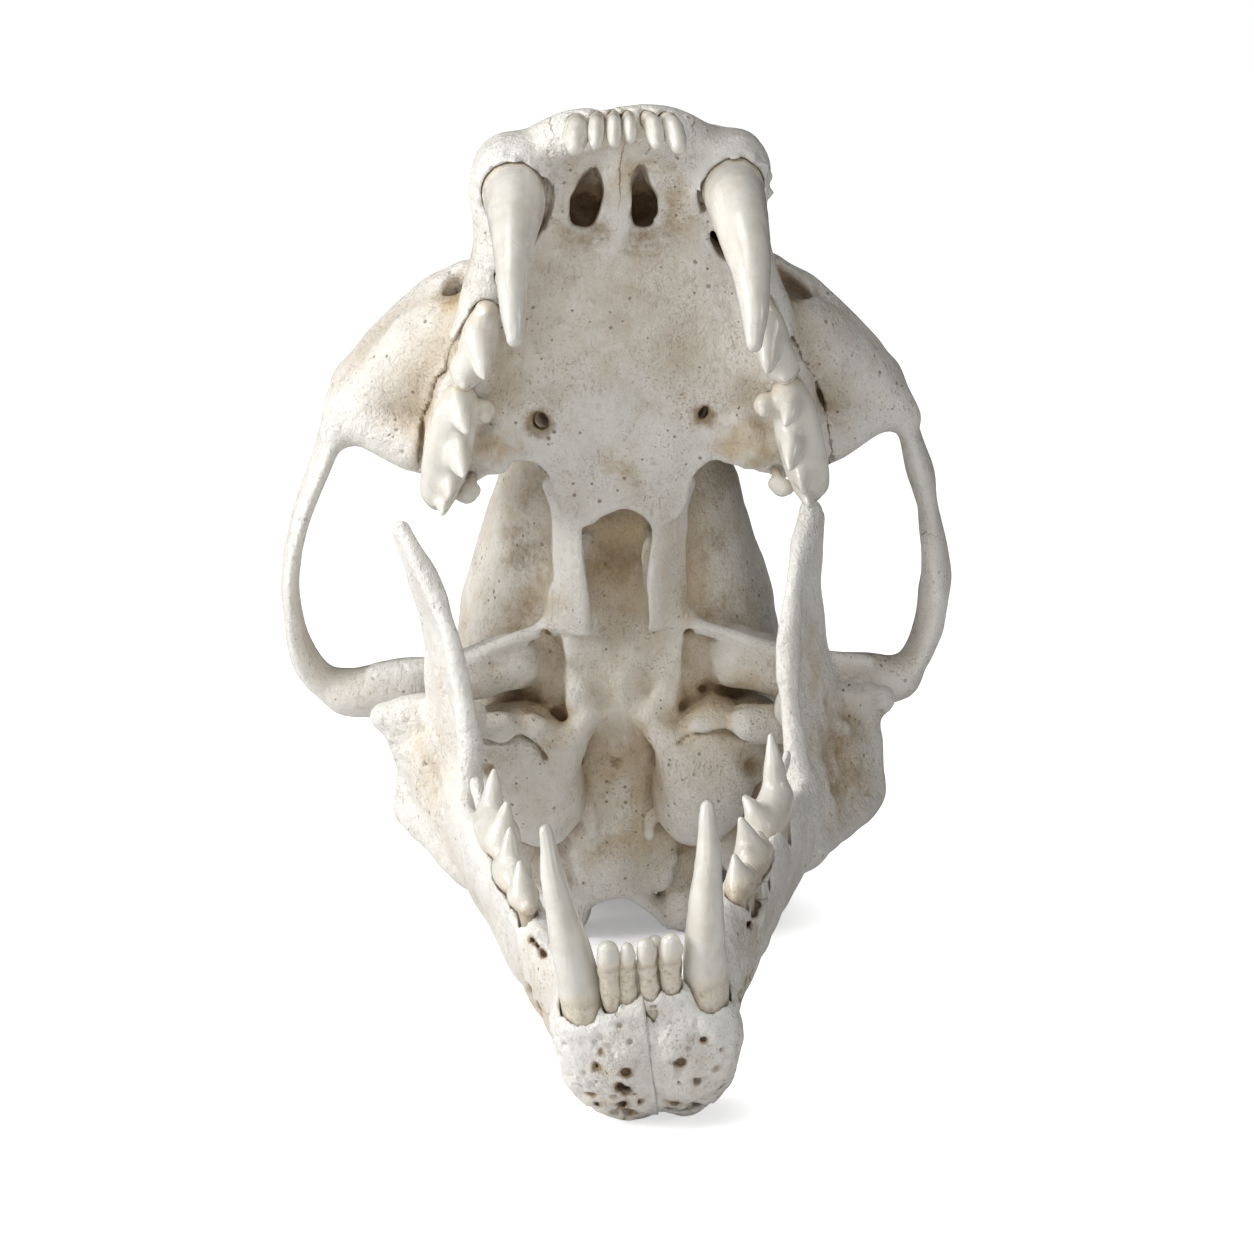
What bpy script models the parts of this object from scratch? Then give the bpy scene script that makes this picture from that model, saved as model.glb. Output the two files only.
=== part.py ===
"""Leopard skull, standing on its occiput and chin with the jaws wide open.

Every bone is described in anatomical millimetres: x to the animal's left,
a forward along the skull from the jaw joint, s up from the jaw joint.
The cranium and the lower jaw each have their own pitch in the world, and
share the transverse axis through the two jaw joints.
"""

import math

import bmesh
import bpy
import numpy as np
from mathutils import Matrix, Vector

# ---------------------------------------------------------------- dimensions
MM = 0.001
JOINT_HEIGHT = 54.7          # jaw joint above the floor, mm
CRANIUM_PITCH = 70.04        # degrees from the horizontal, snout up
JAW_PITCH = -4.86            # degrees, chin slightly down
ORIGIN_X = 1.58              # these two move the middle of the footprint to the origin, mm
ORIGIN_Y = 21.94
JAW_ROLL = 0.47              # degrees, the seat of the jaw in its sockets
JAW_TWIST = 4.67             # degrees of twist for each 100 mm forward
JAW_YAW = -2.53              # degrees
JAW_SHIFT = 1.4              # mm to the animal's left
SOCKET_GAP = 0.32            # clearance between a tooth and its socket, mm
SYMPHYSIS_GAP = 0.30         # between the two halves of the lower jaw, mm
CONDYLE_R = 4.7              # radius of the jaw's condyle, mm
GLENOID_R = 5.3              # radius of the trough it sits in, mm

BONE_VOXEL = 1.45            # mm, resolution at which the bone forms are fused
CRANIUM_FACES = 2300         # triangles kept in the cranium before its holes
DENTARY_FACES = 490          # triangles kept in each half of the lower jaw

C_PITCH, J_PITCH = math.radians(CRANIUM_PITCH), math.radians(JAW_PITCH)


def cranium_to_world(x, a, s):
    """A point of the cranium in metres."""
    y = -a * math.cos(C_PITCH) + s * math.sin(C_PITCH) + ORIGIN_Y
    z = a * math.sin(C_PITCH) + s * math.cos(C_PITCH) + JOINT_HEIGHT
    return Vector(((x + ORIGIN_X) * MM, y * MM, z * MM))


def jaw_to_world(x, a, s):
    """A point of the lower jaw in metres: a little twisted, and set slightly skew."""
    turn = math.radians(JAW_ROLL + JAW_TWIST * a / 100.0)
    x, s = x * math.cos(turn) - s * math.sin(turn), x * math.sin(turn) + s * math.cos(turn)
    x += ORIGIN_X + JAW_SHIFT + math.sin(math.radians(JAW_YAW)) * a
    y = -a * math.cos(J_PITCH) + s * math.sin(J_PITCH) + ORIGIN_Y
    z = a * math.sin(J_PITCH) + s * math.cos(J_PITCH) + JOINT_HEIGHT
    return Vector((x * MM, y * MM, z * MM))


def symphysis_to_world(x, a, s):
    """The lower jaw's frame as it is turned at the chin, where the two halves meet on a plane."""
    turn = math.radians(JAW_ROLL + JAW_TWIST * 1.12)
    x, s = x * math.cos(turn) - s * math.sin(turn), x * math.sin(turn) + s * math.cos(turn)
    x += ORIGIN_X + JAW_SHIFT + math.sin(math.radians(JAW_YAW)) * a
    y = -a * math.cos(J_PITCH) + s * math.sin(J_PITCH) + ORIGIN_Y
    z = a * math.sin(J_PITCH) + s * math.cos(J_PITCH) + JOINT_HEIGHT
    return Vector((x * MM, y * MM, z * MM))


# ---------------------------------------------------------------- form tools
def catmull(points, per_span):
    """A smooth curve through rows of numbers, per_span steps between rows."""
    points = np.asarray(points, float)
    padded = np.vstack([2 * points[0] - points[1], points, 2 * points[-1] - points[-2]])
    rows = []
    for i in range(len(points) - 1):
        p0, p1, p2, p3 = padded[i : i + 4]
        for k in range(per_span):
            t = k / per_span
            rows.append(
                0.5 * (2 * p1 + (p2 - p0) * t + (2 * p0 - 5 * p1 + 4 * p2 - p3) * t * t
                       + (3 * p1 - p0 - 3 * p2 + p3) * t ** 3)
            )
    rows.append(points[-1])
    return np.array(rows)


def skin_rings(bm, rings):
    """Quads between rings of equal length, with the two ends closed."""
    loops = [[bm.verts.new(p) for p in ring] for ring in rings]
    n = len(loops[0])
    for one, two in zip(loops, loops[1:]):
        for i in range(n):
            bm.faces.new((one[i], one[(i + 1) % n], two[(i + 1) % n], two[i]))
    bm.faces.new(list(reversed(loops[0])))
    bm.faces.new(loops[-1])


def round_ends(rows):
    """Adds smaller rows past both ends, so that a swept form ends round."""
    rows = np.asarray(rows, float)
    out = [row for row in rows]
    for end, inner in ((0, 1), (-1, -2)):
        tip, direction = rows[end], rows[end][:3] - rows[inner][:3]
        direction = direction / (np.linalg.norm(direction) + 1e-9)
        reach = min(tip[3], tip[4])
        extra = []
        for along, scale in ((0.55, 0.83), (0.9, 0.42)):
            row = tip.copy()
            row[:3] = tip[:3] + direction * reach * along
            row[3:5] = tip[3:5] * scale
            extra.append(row)
        out = (extra[::-1] + out) if end == 0 else (out + extra)
    return np.array(out)


def sweep(bm, rows, up=(0, 0, 1), sides=14, per_span=3, ends=True, power=2.0, grow=0.0):
    """An elliptical tube. Rows are x, a, s, half width, half height; height lies along up."""
    path = catmull(rows, per_span)
    path[:, 3:5] = np.maximum(path[:, 3:5], 0.15) + grow
    if ends:
        path = round_ends(path)
    up = np.asarray(up, float)
    rings = []
    for i, row in enumerate(path):
        ahead = path[min(i + 1, len(path) - 1)][:3] - path[max(i - 1, 0)][:3]
        ahead = ahead / np.linalg.norm(ahead)
        high = up - ahead * up.dot(ahead)
        high = high / np.linalg.norm(high)
        wide = np.cross(high, ahead)
        ring = []
        for k in range(sides):
            angle = 2 * math.pi * (k + 0.5) / sides
            c, t = math.cos(angle), math.sin(angle)
            c = math.copysign(abs(c) ** (2 / power), c)
            t = math.copysign(abs(t) ** (2 / power), t)
            ring.append(row[:3] + wide * row[3] * c + high * row[4] * t)
        rings.append(ring)
    skin_rings(bm, rings)


def hull_loft(bm, rows, power=2.3, sides=24, per_span=3):
    """A body drawn as sections along the skull. Rows are a, half width, top, bottom."""
    rings = []
    for a, width, top, bottom in catmull(rows, per_span):
        ring = []
        for k in range(sides):
            angle = 2 * math.pi * (k + 0.5) / sides
            c, t = math.cos(angle), math.sin(angle)
            c = math.copysign(abs(c) ** (2 / power), c)
            t = math.copysign(abs(t) ** (2 / power), t)
            ring.append((width * c, a, (top + bottom) / 2 + (top - bottom) / 2 * t))
        rings.append(ring)
    skin_rings(bm, rings)


def ellipsoid(bm, centre, radii, turn=(0, 0, 0), detail=3):
    place = Matrix.Translation(centre)
    for axis, degrees in zip("XYZ", turn):
        place = place @ Matrix.Rotation(math.radians(degrees), 4, axis)
    bmesh.ops.create_icosphere(
        bm, subdivisions=detail, radius=1.0, matrix=place @ Matrix.Diagonal((*radii, 1.0))
    )


def slab(bm, outline, low, high, per_span=2):
    """A flat plate: an outline of x, a points, from low to high."""
    ring = catmull(list(outline) + [outline[0]], per_span)[:-1]
    skin_rings(bm, [[(x, a, low) for x, a in ring], [(x, a, high) for x, a in ring]])


def both_sides(bm, make):
    """Makes a form for the animal's left, and one for its right mirrored across the midline."""
    make(bm, 1)
    other = bmesh.new()
    make(other, -1)
    bmesh.ops.scale(other, vec=(-1, 1, 1), verts=other.verts)
    bmesh.ops.reverse_faces(other, faces=other.faces)
    scratch = bpy.data.meshes.new("mirrored")
    other.to_mesh(scratch)
    other.free()
    bm.from_mesh(scratch)
    bpy.data.meshes.remove(scratch)


# ---------------------------------------------------------------- scene
for old in list(bpy.data.objects):
    bpy.data.objects.remove(old, do_unlink=True)
bone_parts = bpy.data.collections.new("leopard_skull")
cutter_parts = bpy.data.collections.new("cutters")
bpy.context.scene.collection.children.link(bone_parts)
bpy.context.scene.collection.children.link(cutter_parts)


def material(name, colour, roughness):
    made = bpy.data.materials.new(name)
    made.use_nodes = True
    shader = made.node_tree.nodes["Principled BSDF"]
    shader.inputs["Base Color"].default_value = (*colour, 1.0)
    shader.inputs["Roughness"].default_value = roughness
    shader.inputs["Metallic"].default_value = 0.0
    made.diffuse_color = (*colour, 1.0)
    return made


BONE = material("bone", (0.72, 0.67, 0.60), 0.55)
ENAMEL = material("enamel", (0.80, 0.76, 0.67), 0.22)


def object_from(bm, name, to_world, collection, finish=None):
    """Turns millimetre geometry into an object in metres, in the world frame."""
    for vert in bm.verts:
        vert.co = to_world(*vert.co)
    bm.normal_update()
    bmesh.ops.recalc_face_normals(bm, faces=bm.faces)
    mesh = bpy.data.meshes.new(name)
    bm.to_mesh(mesh)
    bm.free()
    made = bpy.data.objects.new(name, mesh)
    collection.objects.link(made)
    if finish:
        mesh.materials.append(finish)
    return made


def bake_modifiers(obj):
    """Replaces an object's mesh with its evaluated one."""
    graph = bpy.context.evaluated_depsgraph_get()
    graph.update()
    mesh = bpy.data.meshes.new_from_object(obj.evaluated_get(graph))
    obj.modifiers.clear()
    old, obj.data = obj.data, mesh
    bpy.data.meshes.remove(old)


def fuse(obj, faces):
    """Fuses overlapping forms into one grown bone with about this many triangles."""
    remesh = obj.modifiers.new("fuse", "REMESH")
    remesh.mode = "VOXEL"
    remesh.voxel_size = BONE_VOXEL * MM
    smooth = obj.modifiers.new("smooth", "SMOOTH")
    smooth.factor = 0.5
    smooth.iterations = 3
    bake_modifiers(obj)
    triangles = sum(len(face.vertices) - 2 for face in obj.data.polygons)
    fewer = obj.modifiers.new("fewer", "DECIMATE")
    fewer.ratio = faces / triangles
    bake_modifiers(obj)


def cut(obj, cutter):
    cutter.hide_render = True
    cutter.display_type = "WIRE"
    hole = obj.modifiers.new("cut_" + cutter.name, "BOOLEAN")
    hole.operation = "DIFFERENCE"
    hole.solver = "EXACT"
    hole.object = cutter


def floor_cutter(obj):
    """Trims what reaches below the floor, so that the bone rests on small flats."""
    bm = bmesh.new()
    bmesh.ops.create_cube(bm, size=1.0, matrix=Matrix.Translation((0, 0, -20)) @ Matrix.Diagonal((300, 400, 40, 1)))
    cutter = object_from(bm, "floor_" + obj.name, lambda x, y, z: Vector((x * MM, y * MM, z * MM)), cutter_parts)
    cut(obj, cutter)


# ---------------------------------------------------------------- teeth
# A peg tooth is swept from its root to its tip. Rows: x, a, s, half width, half length.
# A blade tooth is drawn as sections along the tooth row.
TEETH = {}


def peg(name, rows, up=(0, 1, 0), sides=8, per_span=1, jaw=False):
    TEETH[name] = dict(kind="peg", rows=rows, up=up, sides=sides, per_span=per_span, jaw=jaw)


def blade(name, start, end, sections, lean=0.0, jaw=False):
    """sections: place along the tooth from 0 to 1, half width, height, sideways shift, root depth."""
    TEETH[name] = dict(kind="blade", start=start, end=end, sections=sections, lean=lean, jaw=jaw)


def build_tooth(name, side, grow=0.0):
    spec = TEETH.get(side_name(name, side)) or TEETH[name]
    bm = bmesh.new()
    if spec["kind"] == "peg":
        rows = [list(row) for row in spec["rows"]]
        if grow:
            first, last = np.array(rows[0]), np.array(rows[-1])
            down = first[:3] - np.array(rows[1][:3])
            rows[0][:3] = list(first[:3] + down / np.linalg.norm(down) * grow)
            out = last[:3] - np.array(rows[-2][:3])
            rows[-1][:3] = list(last[:3] + out / np.linalg.norm(out) * grow)
        sweep(bm, rows, up=spec["up"], sides=spec["sides"], per_span=spec["per_span"], ends=False, grow=grow)
    else:
        start, end = Vector(spec["start"]), Vector(spec["end"])
        along = (end - start).normalized()
        crown = Vector((spec["lean"], 0, 1.0 if spec["jaw"] else -1.0))
        crown = (crown - along * crown.dot(along)).normalized()
        lateral = along.cross(crown)
        if lateral.x < 0:
            lateral = -lateral
        length = (end - start).length
        rings = []
        last = len(spec["sections"]) - 1
        for i, (t, width, height, shift, root) in enumerate(spec["sections"]):
            at = start + along * (t * length + (grow if i == last else -grow if i == 0 else 0))
            w, h, r = width + grow, height + grow, root + grow
            profile = (
                (-0.66 * w, -r), (-w, 0.08 * h), (-0.64 * w + 0.5 * shift, 0.6 * h), (shift - 0.22 * w, h),
                (shift + 0.22 * w, h), (0.64 * w + 0.5 * shift, 0.6 * h), (w, 0.08 * h), (0.66 * w, -r),
            )
            rings.append([at + lateral * p + crown * q for p, q in profile])
        skin_rings(bm, rings)
    if side < 0:
        bmesh.ops.scale(bm, vec=(-1, 1, 1), verts=bm.verts)
    bmesh.ops.triangulate(bm, faces=bm.faces)
    return bm


# Upper incisors, first to third: the third is the largest. The six crowns are not quite alike. Root, neck, crown, tip.
peg("incisor_upper_left_1", [(0.9, 123.6, 11.5, 0.8, 1.3), (1.0, 125.4, 7.0, 0.95, 1.6), (1.05, 126.2, 3.6, 0.95, 1.7),
                             (1.1, 126.0, 0.8, 1.2, 1.8), (1.1, 125.0, -1.8, 1.1, 1.5), (1.1, 123.9, -3.4, 0.6, 0.7)], jaw=False)
peg("incisor_upper_left_2", [(4.3, 123.2, 11.5, 1.0, 1.5), (4.7, 125.2, 7.0, 1.2, 1.8), (5.0, 126.0, 3.6, 1.3, 1.9),
                             (5.6, 125.8, 0.6, 1.75, 2.1), (5.9, 124.8, -2.4, 1.6, 1.8), (6.0, 123.6, -4.6, 0.85, 0.9)])
peg("incisor_upper_left_3", [(8.0, 121.8, 11.5, 1.3, 2.0), (8.2, 124.2, 7.0, 1.6, 2.4), (8.6, 125.1, 3.6, 1.65, 2.5),
                             (9.4, 124.9, 0.4, 2.0, 2.7), (9.9, 124.0, -2.6, 1.85, 2.1), (10.1, 122.9, -4.9, 1.0, 1.05)])
peg("incisor_upper_right_1", [(1.5, 123.6, 11.5, 0.9, 1.4), (1.7, 125.4, 7.0, 1.1, 1.7), (1.75, 126.2, 3.6, 1.1, 1.8),
                              (1.85, 126.0, 0.6, 1.45, 1.9), (1.95, 125.0, -2.2, 1.35, 1.7), (2.0, 123.9, -4.2, 0.75, 0.8)])
peg("incisor_upper_right_2", [(4.5, 123.2, 11.5, 1.0, 1.5), (4.8, 125.2, 7.0, 1.2, 1.8), (4.95, 126.0, 3.6, 1.2, 1.9),
                              (5.1, 125.8, 0.6, 1.55, 2.1), (5.3, 124.8, -2.4, 1.5, 1.8), (5.4, 123.6, -4.4, 0.8, 0.9)])
peg("incisor_upper_right_3", [(8.4, 121.8, 11.5, 1.3, 2.0), (8.5, 124.2, 7.0, 1.6, 2.4), (8.6, 125.1, 3.6, 1.8, 2.5),
                              (8.8, 124.9, 0.4, 2.2, 2.8), (9.1, 124.0, -2.6, 2.0, 2.2), (9.25, 122.9, -4.7, 1.05, 1.1)])
# Upper canines: long curved cones that are slim towards a blunt tip.
peg("canine_upper_left", [(21.4, 103.5, 18.0, 3.2, 4.2), (21.2, 108.6, 11.5, 5.3, 6.1), (20.9, 111.2, 5.5, 6.0, 6.7),
                          (21.1, 111.9, -3.0, 5.6, 6.2), (21.7, 110.2, -12.0, 5.1, 5.4), (22.6, 106.6, -21.0, 3.75, 4.1),
                          (22.8, 101.3, -28.8, 2.6, 2.8), (22.5, 96.8, -33.4, 1.6, 1.6), (22.4, 95.7, -34.4, 0.8, 0.8)], sides=10)
peg("canine_upper_right", [(21.2, 103.5, 18.0, 3.2, 4.2), (21.0, 108.6, 11.5, 5.3, 6.1), (20.8, 111.2, 5.5, 6.1, 6.7),
                           (20.7, 111.9, -3.0, 5.7, 6.2), (21.1, 110.2, -12.0, 4.4, 5.0), (21.7, 106.6, -21.0, 3.05, 3.6),
                           (21.6, 101.3, -28.8, 2.3, 2.6), (21.5, 98.4, -32.0, 1.6, 1.6), (21.5, 97.3, -33.1, 0.8, 0.8)], sides=10)
# Upper cheek teeth.
peg("premolar_upper_2", [(23.2, 94.6, 9.0, 1.0, 1.1), (23.1, 94.6, 5.5, 1.4, 1.6), (23.1, 94.4, 2.6, 1.6, 1.8),
                         (23.1, 94.1, 0.7, 0.7, 0.8)], sides=8)
blade("premolar_upper_3", (26.2, 88.9, 4.0), (31.3, 72.4, 4.2),
      [(0.0, 1.7, 1.6, 0.0, 3.5), (0.15, 2.9, 3.0, 0.0, 4.5), (0.38, 3.7, 6.2, -0.6, 4.5), (0.62, 4.0, 10.6, -1.8, 4.0),
       (0.74, 4.0, 5.6, -0.6, 4.5), (0.86, 3.6, 5.4, 0.0, 4.5), (1.0, 2.2, 1.8, 0.2, 3.5)], lean=0.05)
blade("carnassial_upper", (31.4, 71.2, 4.6), (37.0, 46.6, 5.2),
      [(0.0, 2.8, 3.4, 0.0, 4.0), (0.10, 4.2, 8.2, -0.6, 4.5), (0.18, 4.6, 10.6, -1.5, 4.5), (0.28, 4.7, 6.8, -0.8, 4.5),
       (0.40, 4.6, 10.4, -1.6, 4.0), (0.50, 4.5, 13.6, -2.0, 4.5), (0.60, 4.4, 10.0, -1.6, 4.5), (0.70, 4.2, 7.6, -0.8, 4.5),
       (0.86, 3.7, 9.6, -0.2, 4.0), (0.95, 3.1, 9.6, 0.0, 3.5), (1.0, 1.8, 6.2, 0.0, 3.0)], lean=0.10)
blade("molar_upper", (28.4, 50.0, 5.4), (32.0, 48.7, 5.4),
      [(0.0, 1.1, 1.6, 0.0, 2.0), (0.3, 1.9, 4.4, 0.0, 3.0), (0.7, 2.0, 4.7, 0.0, 3.0), (1.0, 1.2, 2.4, 0.0, 2.0)])
# Lower incisors stand with part of the root exposed, a bulb of a crown on each. The animal's left second one is
# set back behind its neighbours; the right second one has moved in towards the gap of the lost first.
peg("incisor_lower_left_1", [(1.6, 118.4, -23, 1.1, 1.4), (1.2, 119.8, -18, 1.45, 1.7), (1.35, 120.8, -13, 1.4, 1.6),
                             (1.6, 121.4, -10.2, 1.85, 1.75), (1.7, 121.5, -8.1, 1.1, 1.1)], jaw=True)
peg("incisor_lower_left_2", [(3.6, 114.6, -23, 0.9, 1.2), (3.4, 116.0, -18, 1.1, 1.3), (3.2, 117.0, -13, 1.2, 1.3),
                             (3.15, 117.6, -10.6, 1.45, 1.4), (3.1, 117.7, -8.9, 0.8, 0.8)], jaw=True)
peg("incisor_lower_left_3", [(5.4, 117.0, -23, 1.2, 1.5), (5.05, 119.2, -18, 1.5, 1.8), (5.4, 120.6, -13, 1.55, 1.8),
                             (5.9, 121.3, -9.9, 2.05, 2.0), (6.0, 121.5, -7.5, 1.2, 1.2)], jaw=True)
peg("incisor_lower_right_2", [(2.9, 118.0, -23, 1.1, 1.4), (2.5, 119.5, -18, 1.4, 1.6), (2.1, 120.7, -13, 1.2, 1.5),
                              (1.75, 121.4, -10.3, 1.35, 1.6), (1.6, 121.5, -8.2, 0.8, 0.9)], jaw=True)
peg("incisor_lower_right_3", [(5.3, 117.6, -23, 1.0, 1.5), (5.6, 119.6, -18, 1.5, 1.8), (5.35, 120.7, -13, 1.6, 1.9),
                              (5.15, 121.3, -10.1, 2.15, 2.1), (5.05, 121.5, -7.8, 1.25, 1.25)], jaw=True)
peg("canine_lower_left", [(12.5, 106.5, -38.0, 2.6, 3.4), (11.3, 111.0, -30.5, 3.8, 4.9), (11.0, 114.2, -22.5, 4.0, 5.6),
                          (11.6, 116.8, -13.0, 3.75, 5.4), (12.9, 118.0, -3.5, 3.05, 4.7), (14.3, 117.8, 5.5, 2.15, 2.9),
                          (15.0, 116.6, 12.8, 1.2, 1.3), (15.1, 116.4, 14.4, 0.6, 0.6)], sides=10, jaw=True)
peg("canine_lower_right", [(12.5, 106.5, -38.0, 2.6, 3.4), (11.2, 111.0, -30.5, 3.8, 4.9), (10.7, 114.2, -22.5, 4.0, 5.6),
                           (11.2, 116.8, -13.0, 3.75, 5.2), (12.2, 118.0, -3.5, 3.0, 4.2), (13.0, 117.8, 5.0, 2.1, 2.9),
                           (13.3, 116.6, 12.2, 1.2, 1.3), (13.35, 116.4, 13.7, 0.6, 0.6)], sides=10, jaw=True)
# Lower cheek teeth: the animal's left row stands nearer the midline and lower at the front than its right row.
blade("premolar_lower_left_3", (18.2, 91.2, -12.6), (20.6, 80.9, -12.4),
      [(0.0, 1.5, 2.0, 0.0, 4.0), (0.18, 2.4, 3.6, 0.0, 4.5), (0.44, 2.9, 6.9, -0.4, 4.5), (0.60, 2.9, 4.4, 0.0, 4.5),
       (0.82, 2.6, 3.4, 0.0, 4.5), (1.0, 1.5, 1.8, 0.0, 4.0)], jaw=True)
blade("premolar_lower_left_4", (20.6, 80.0, -12.6), (23.8, 64.5, -12.2),
      [(0.0, 1.6, 2.4, 0.0, 4.0), (0.13, 2.8, 4.4, 0.0, 4.5), (0.25, 3.1, 4.6, 0.0, 4.5), (0.47, 3.6, 9.4, -1.2, 4.5),
       (0.66, 3.4, 5.2, 0.0, 4.5), (0.82, 3.2, 5.0, 0.0, 4.5), (1.0, 1.9, 2.2, 0.0, 4.0)], jaw=True)
blade("carnassial_lower_left", (23.9, 63.5, -11.4), (28.8, 45.6, -9.4),
      [(0.0, 1.9, 3.4, 0.0, 4.0), (0.14, 3.5, 6.4, -0.8, 4.5), (0.28, 3.9, 7.8, -1.8, 4.5), (0.46, 3.8, 7.2, -0.6, 4.5),
       (0.62, 3.8, 10.2, 0.0, 4.5), (0.81, 3.3, 15.6, -0.8, 4.5), (0.93, 2.6, 6.4, 0.0, 4.5), (1.0, 1.5, 2.6, 0.0, 4.0)], jaw=True)
blade("premolar_lower_right_3", (19.6, 91.3, -10.6), (21.9, 80.9, -10.9),
      [(0.0, 1.5, 2.0, 0.0, 4.0), (0.18, 2.4, 4.0, 0.0, 4.5), (0.46, 2.9, 7.6, 0.0, 4.5), (0.60, 2.9, 5.4, 0.0, 4.5),
       (0.82, 2.6, 3.8, 0.0, 4.5), (1.0, 1.5, 2.0, 0.0, 4.0)], jaw=True)
blade("premolar_lower_right_4", (22.0, 80.0, -11.0), (24.7, 64.5, -10.8),
      [(0.0, 1.6, 2.4, 0.0, 4.0), (0.13, 2.8, 4.6, 0.0, 4.5), (0.25, 3.1, 5.0, 0.0, 4.5), (0.47, 3.6, 10.0, -0.5, 4.5),
       (0.66, 3.4, 5.6, 0.0, 4.5), (0.82, 3.2, 5.2, 0.0, 4.5), (1.0, 1.9, 2.2, 0.0, 4.0)], jaw=True)
blade("carnassial_lower_right", (24.8, 63.5, -10.2), (28.6, 45.6, -10.0),
      [(0.0, 1.9, 3.6, 0.0, 4.0), (0.14, 3.5, 7.4, -0.6, 4.5), (0.28, 3.9, 9.4, -1.2, 4.5), (0.46, 3.8, 7.2, -0.4, 4.5),
       (0.62, 3.7, 8.6, -0.4, 4.5), (0.81, 3.2, 13.0, -1.2, 4.5), (0.93, 2.6, 5.8, 0.0, 4.5), (1.0, 1.5, 2.6, 0.0, 4.0)], jaw=True)

UPPER = ["incisor_upper_1", "incisor_upper_2", "incisor_upper_3", "canine_upper", "premolar_upper_2",
         "premolar_upper_3", "carnassial_upper", "molar_upper"]
LOWER = ["incisor_lower_1", "incisor_lower_2", "incisor_lower_3", "canine_lower",
         "premolar_lower_3", "premolar_lower_4", "carnassial_lower"]
LOST = {"incisor_lower_right_1"}     # fallen out of the animal


def side_name(name, side):
    """carnassial_upper -> carnassial_upper_left, incisor_upper_1 -> incisor_upper_left_1."""
    word = "left" if side > 0 else "right"
    head, _, tail = name.rpartition("_")
    return f"{head}_{word}_{tail}" if tail.isdigit() else f"{name}_{word}"


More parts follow.
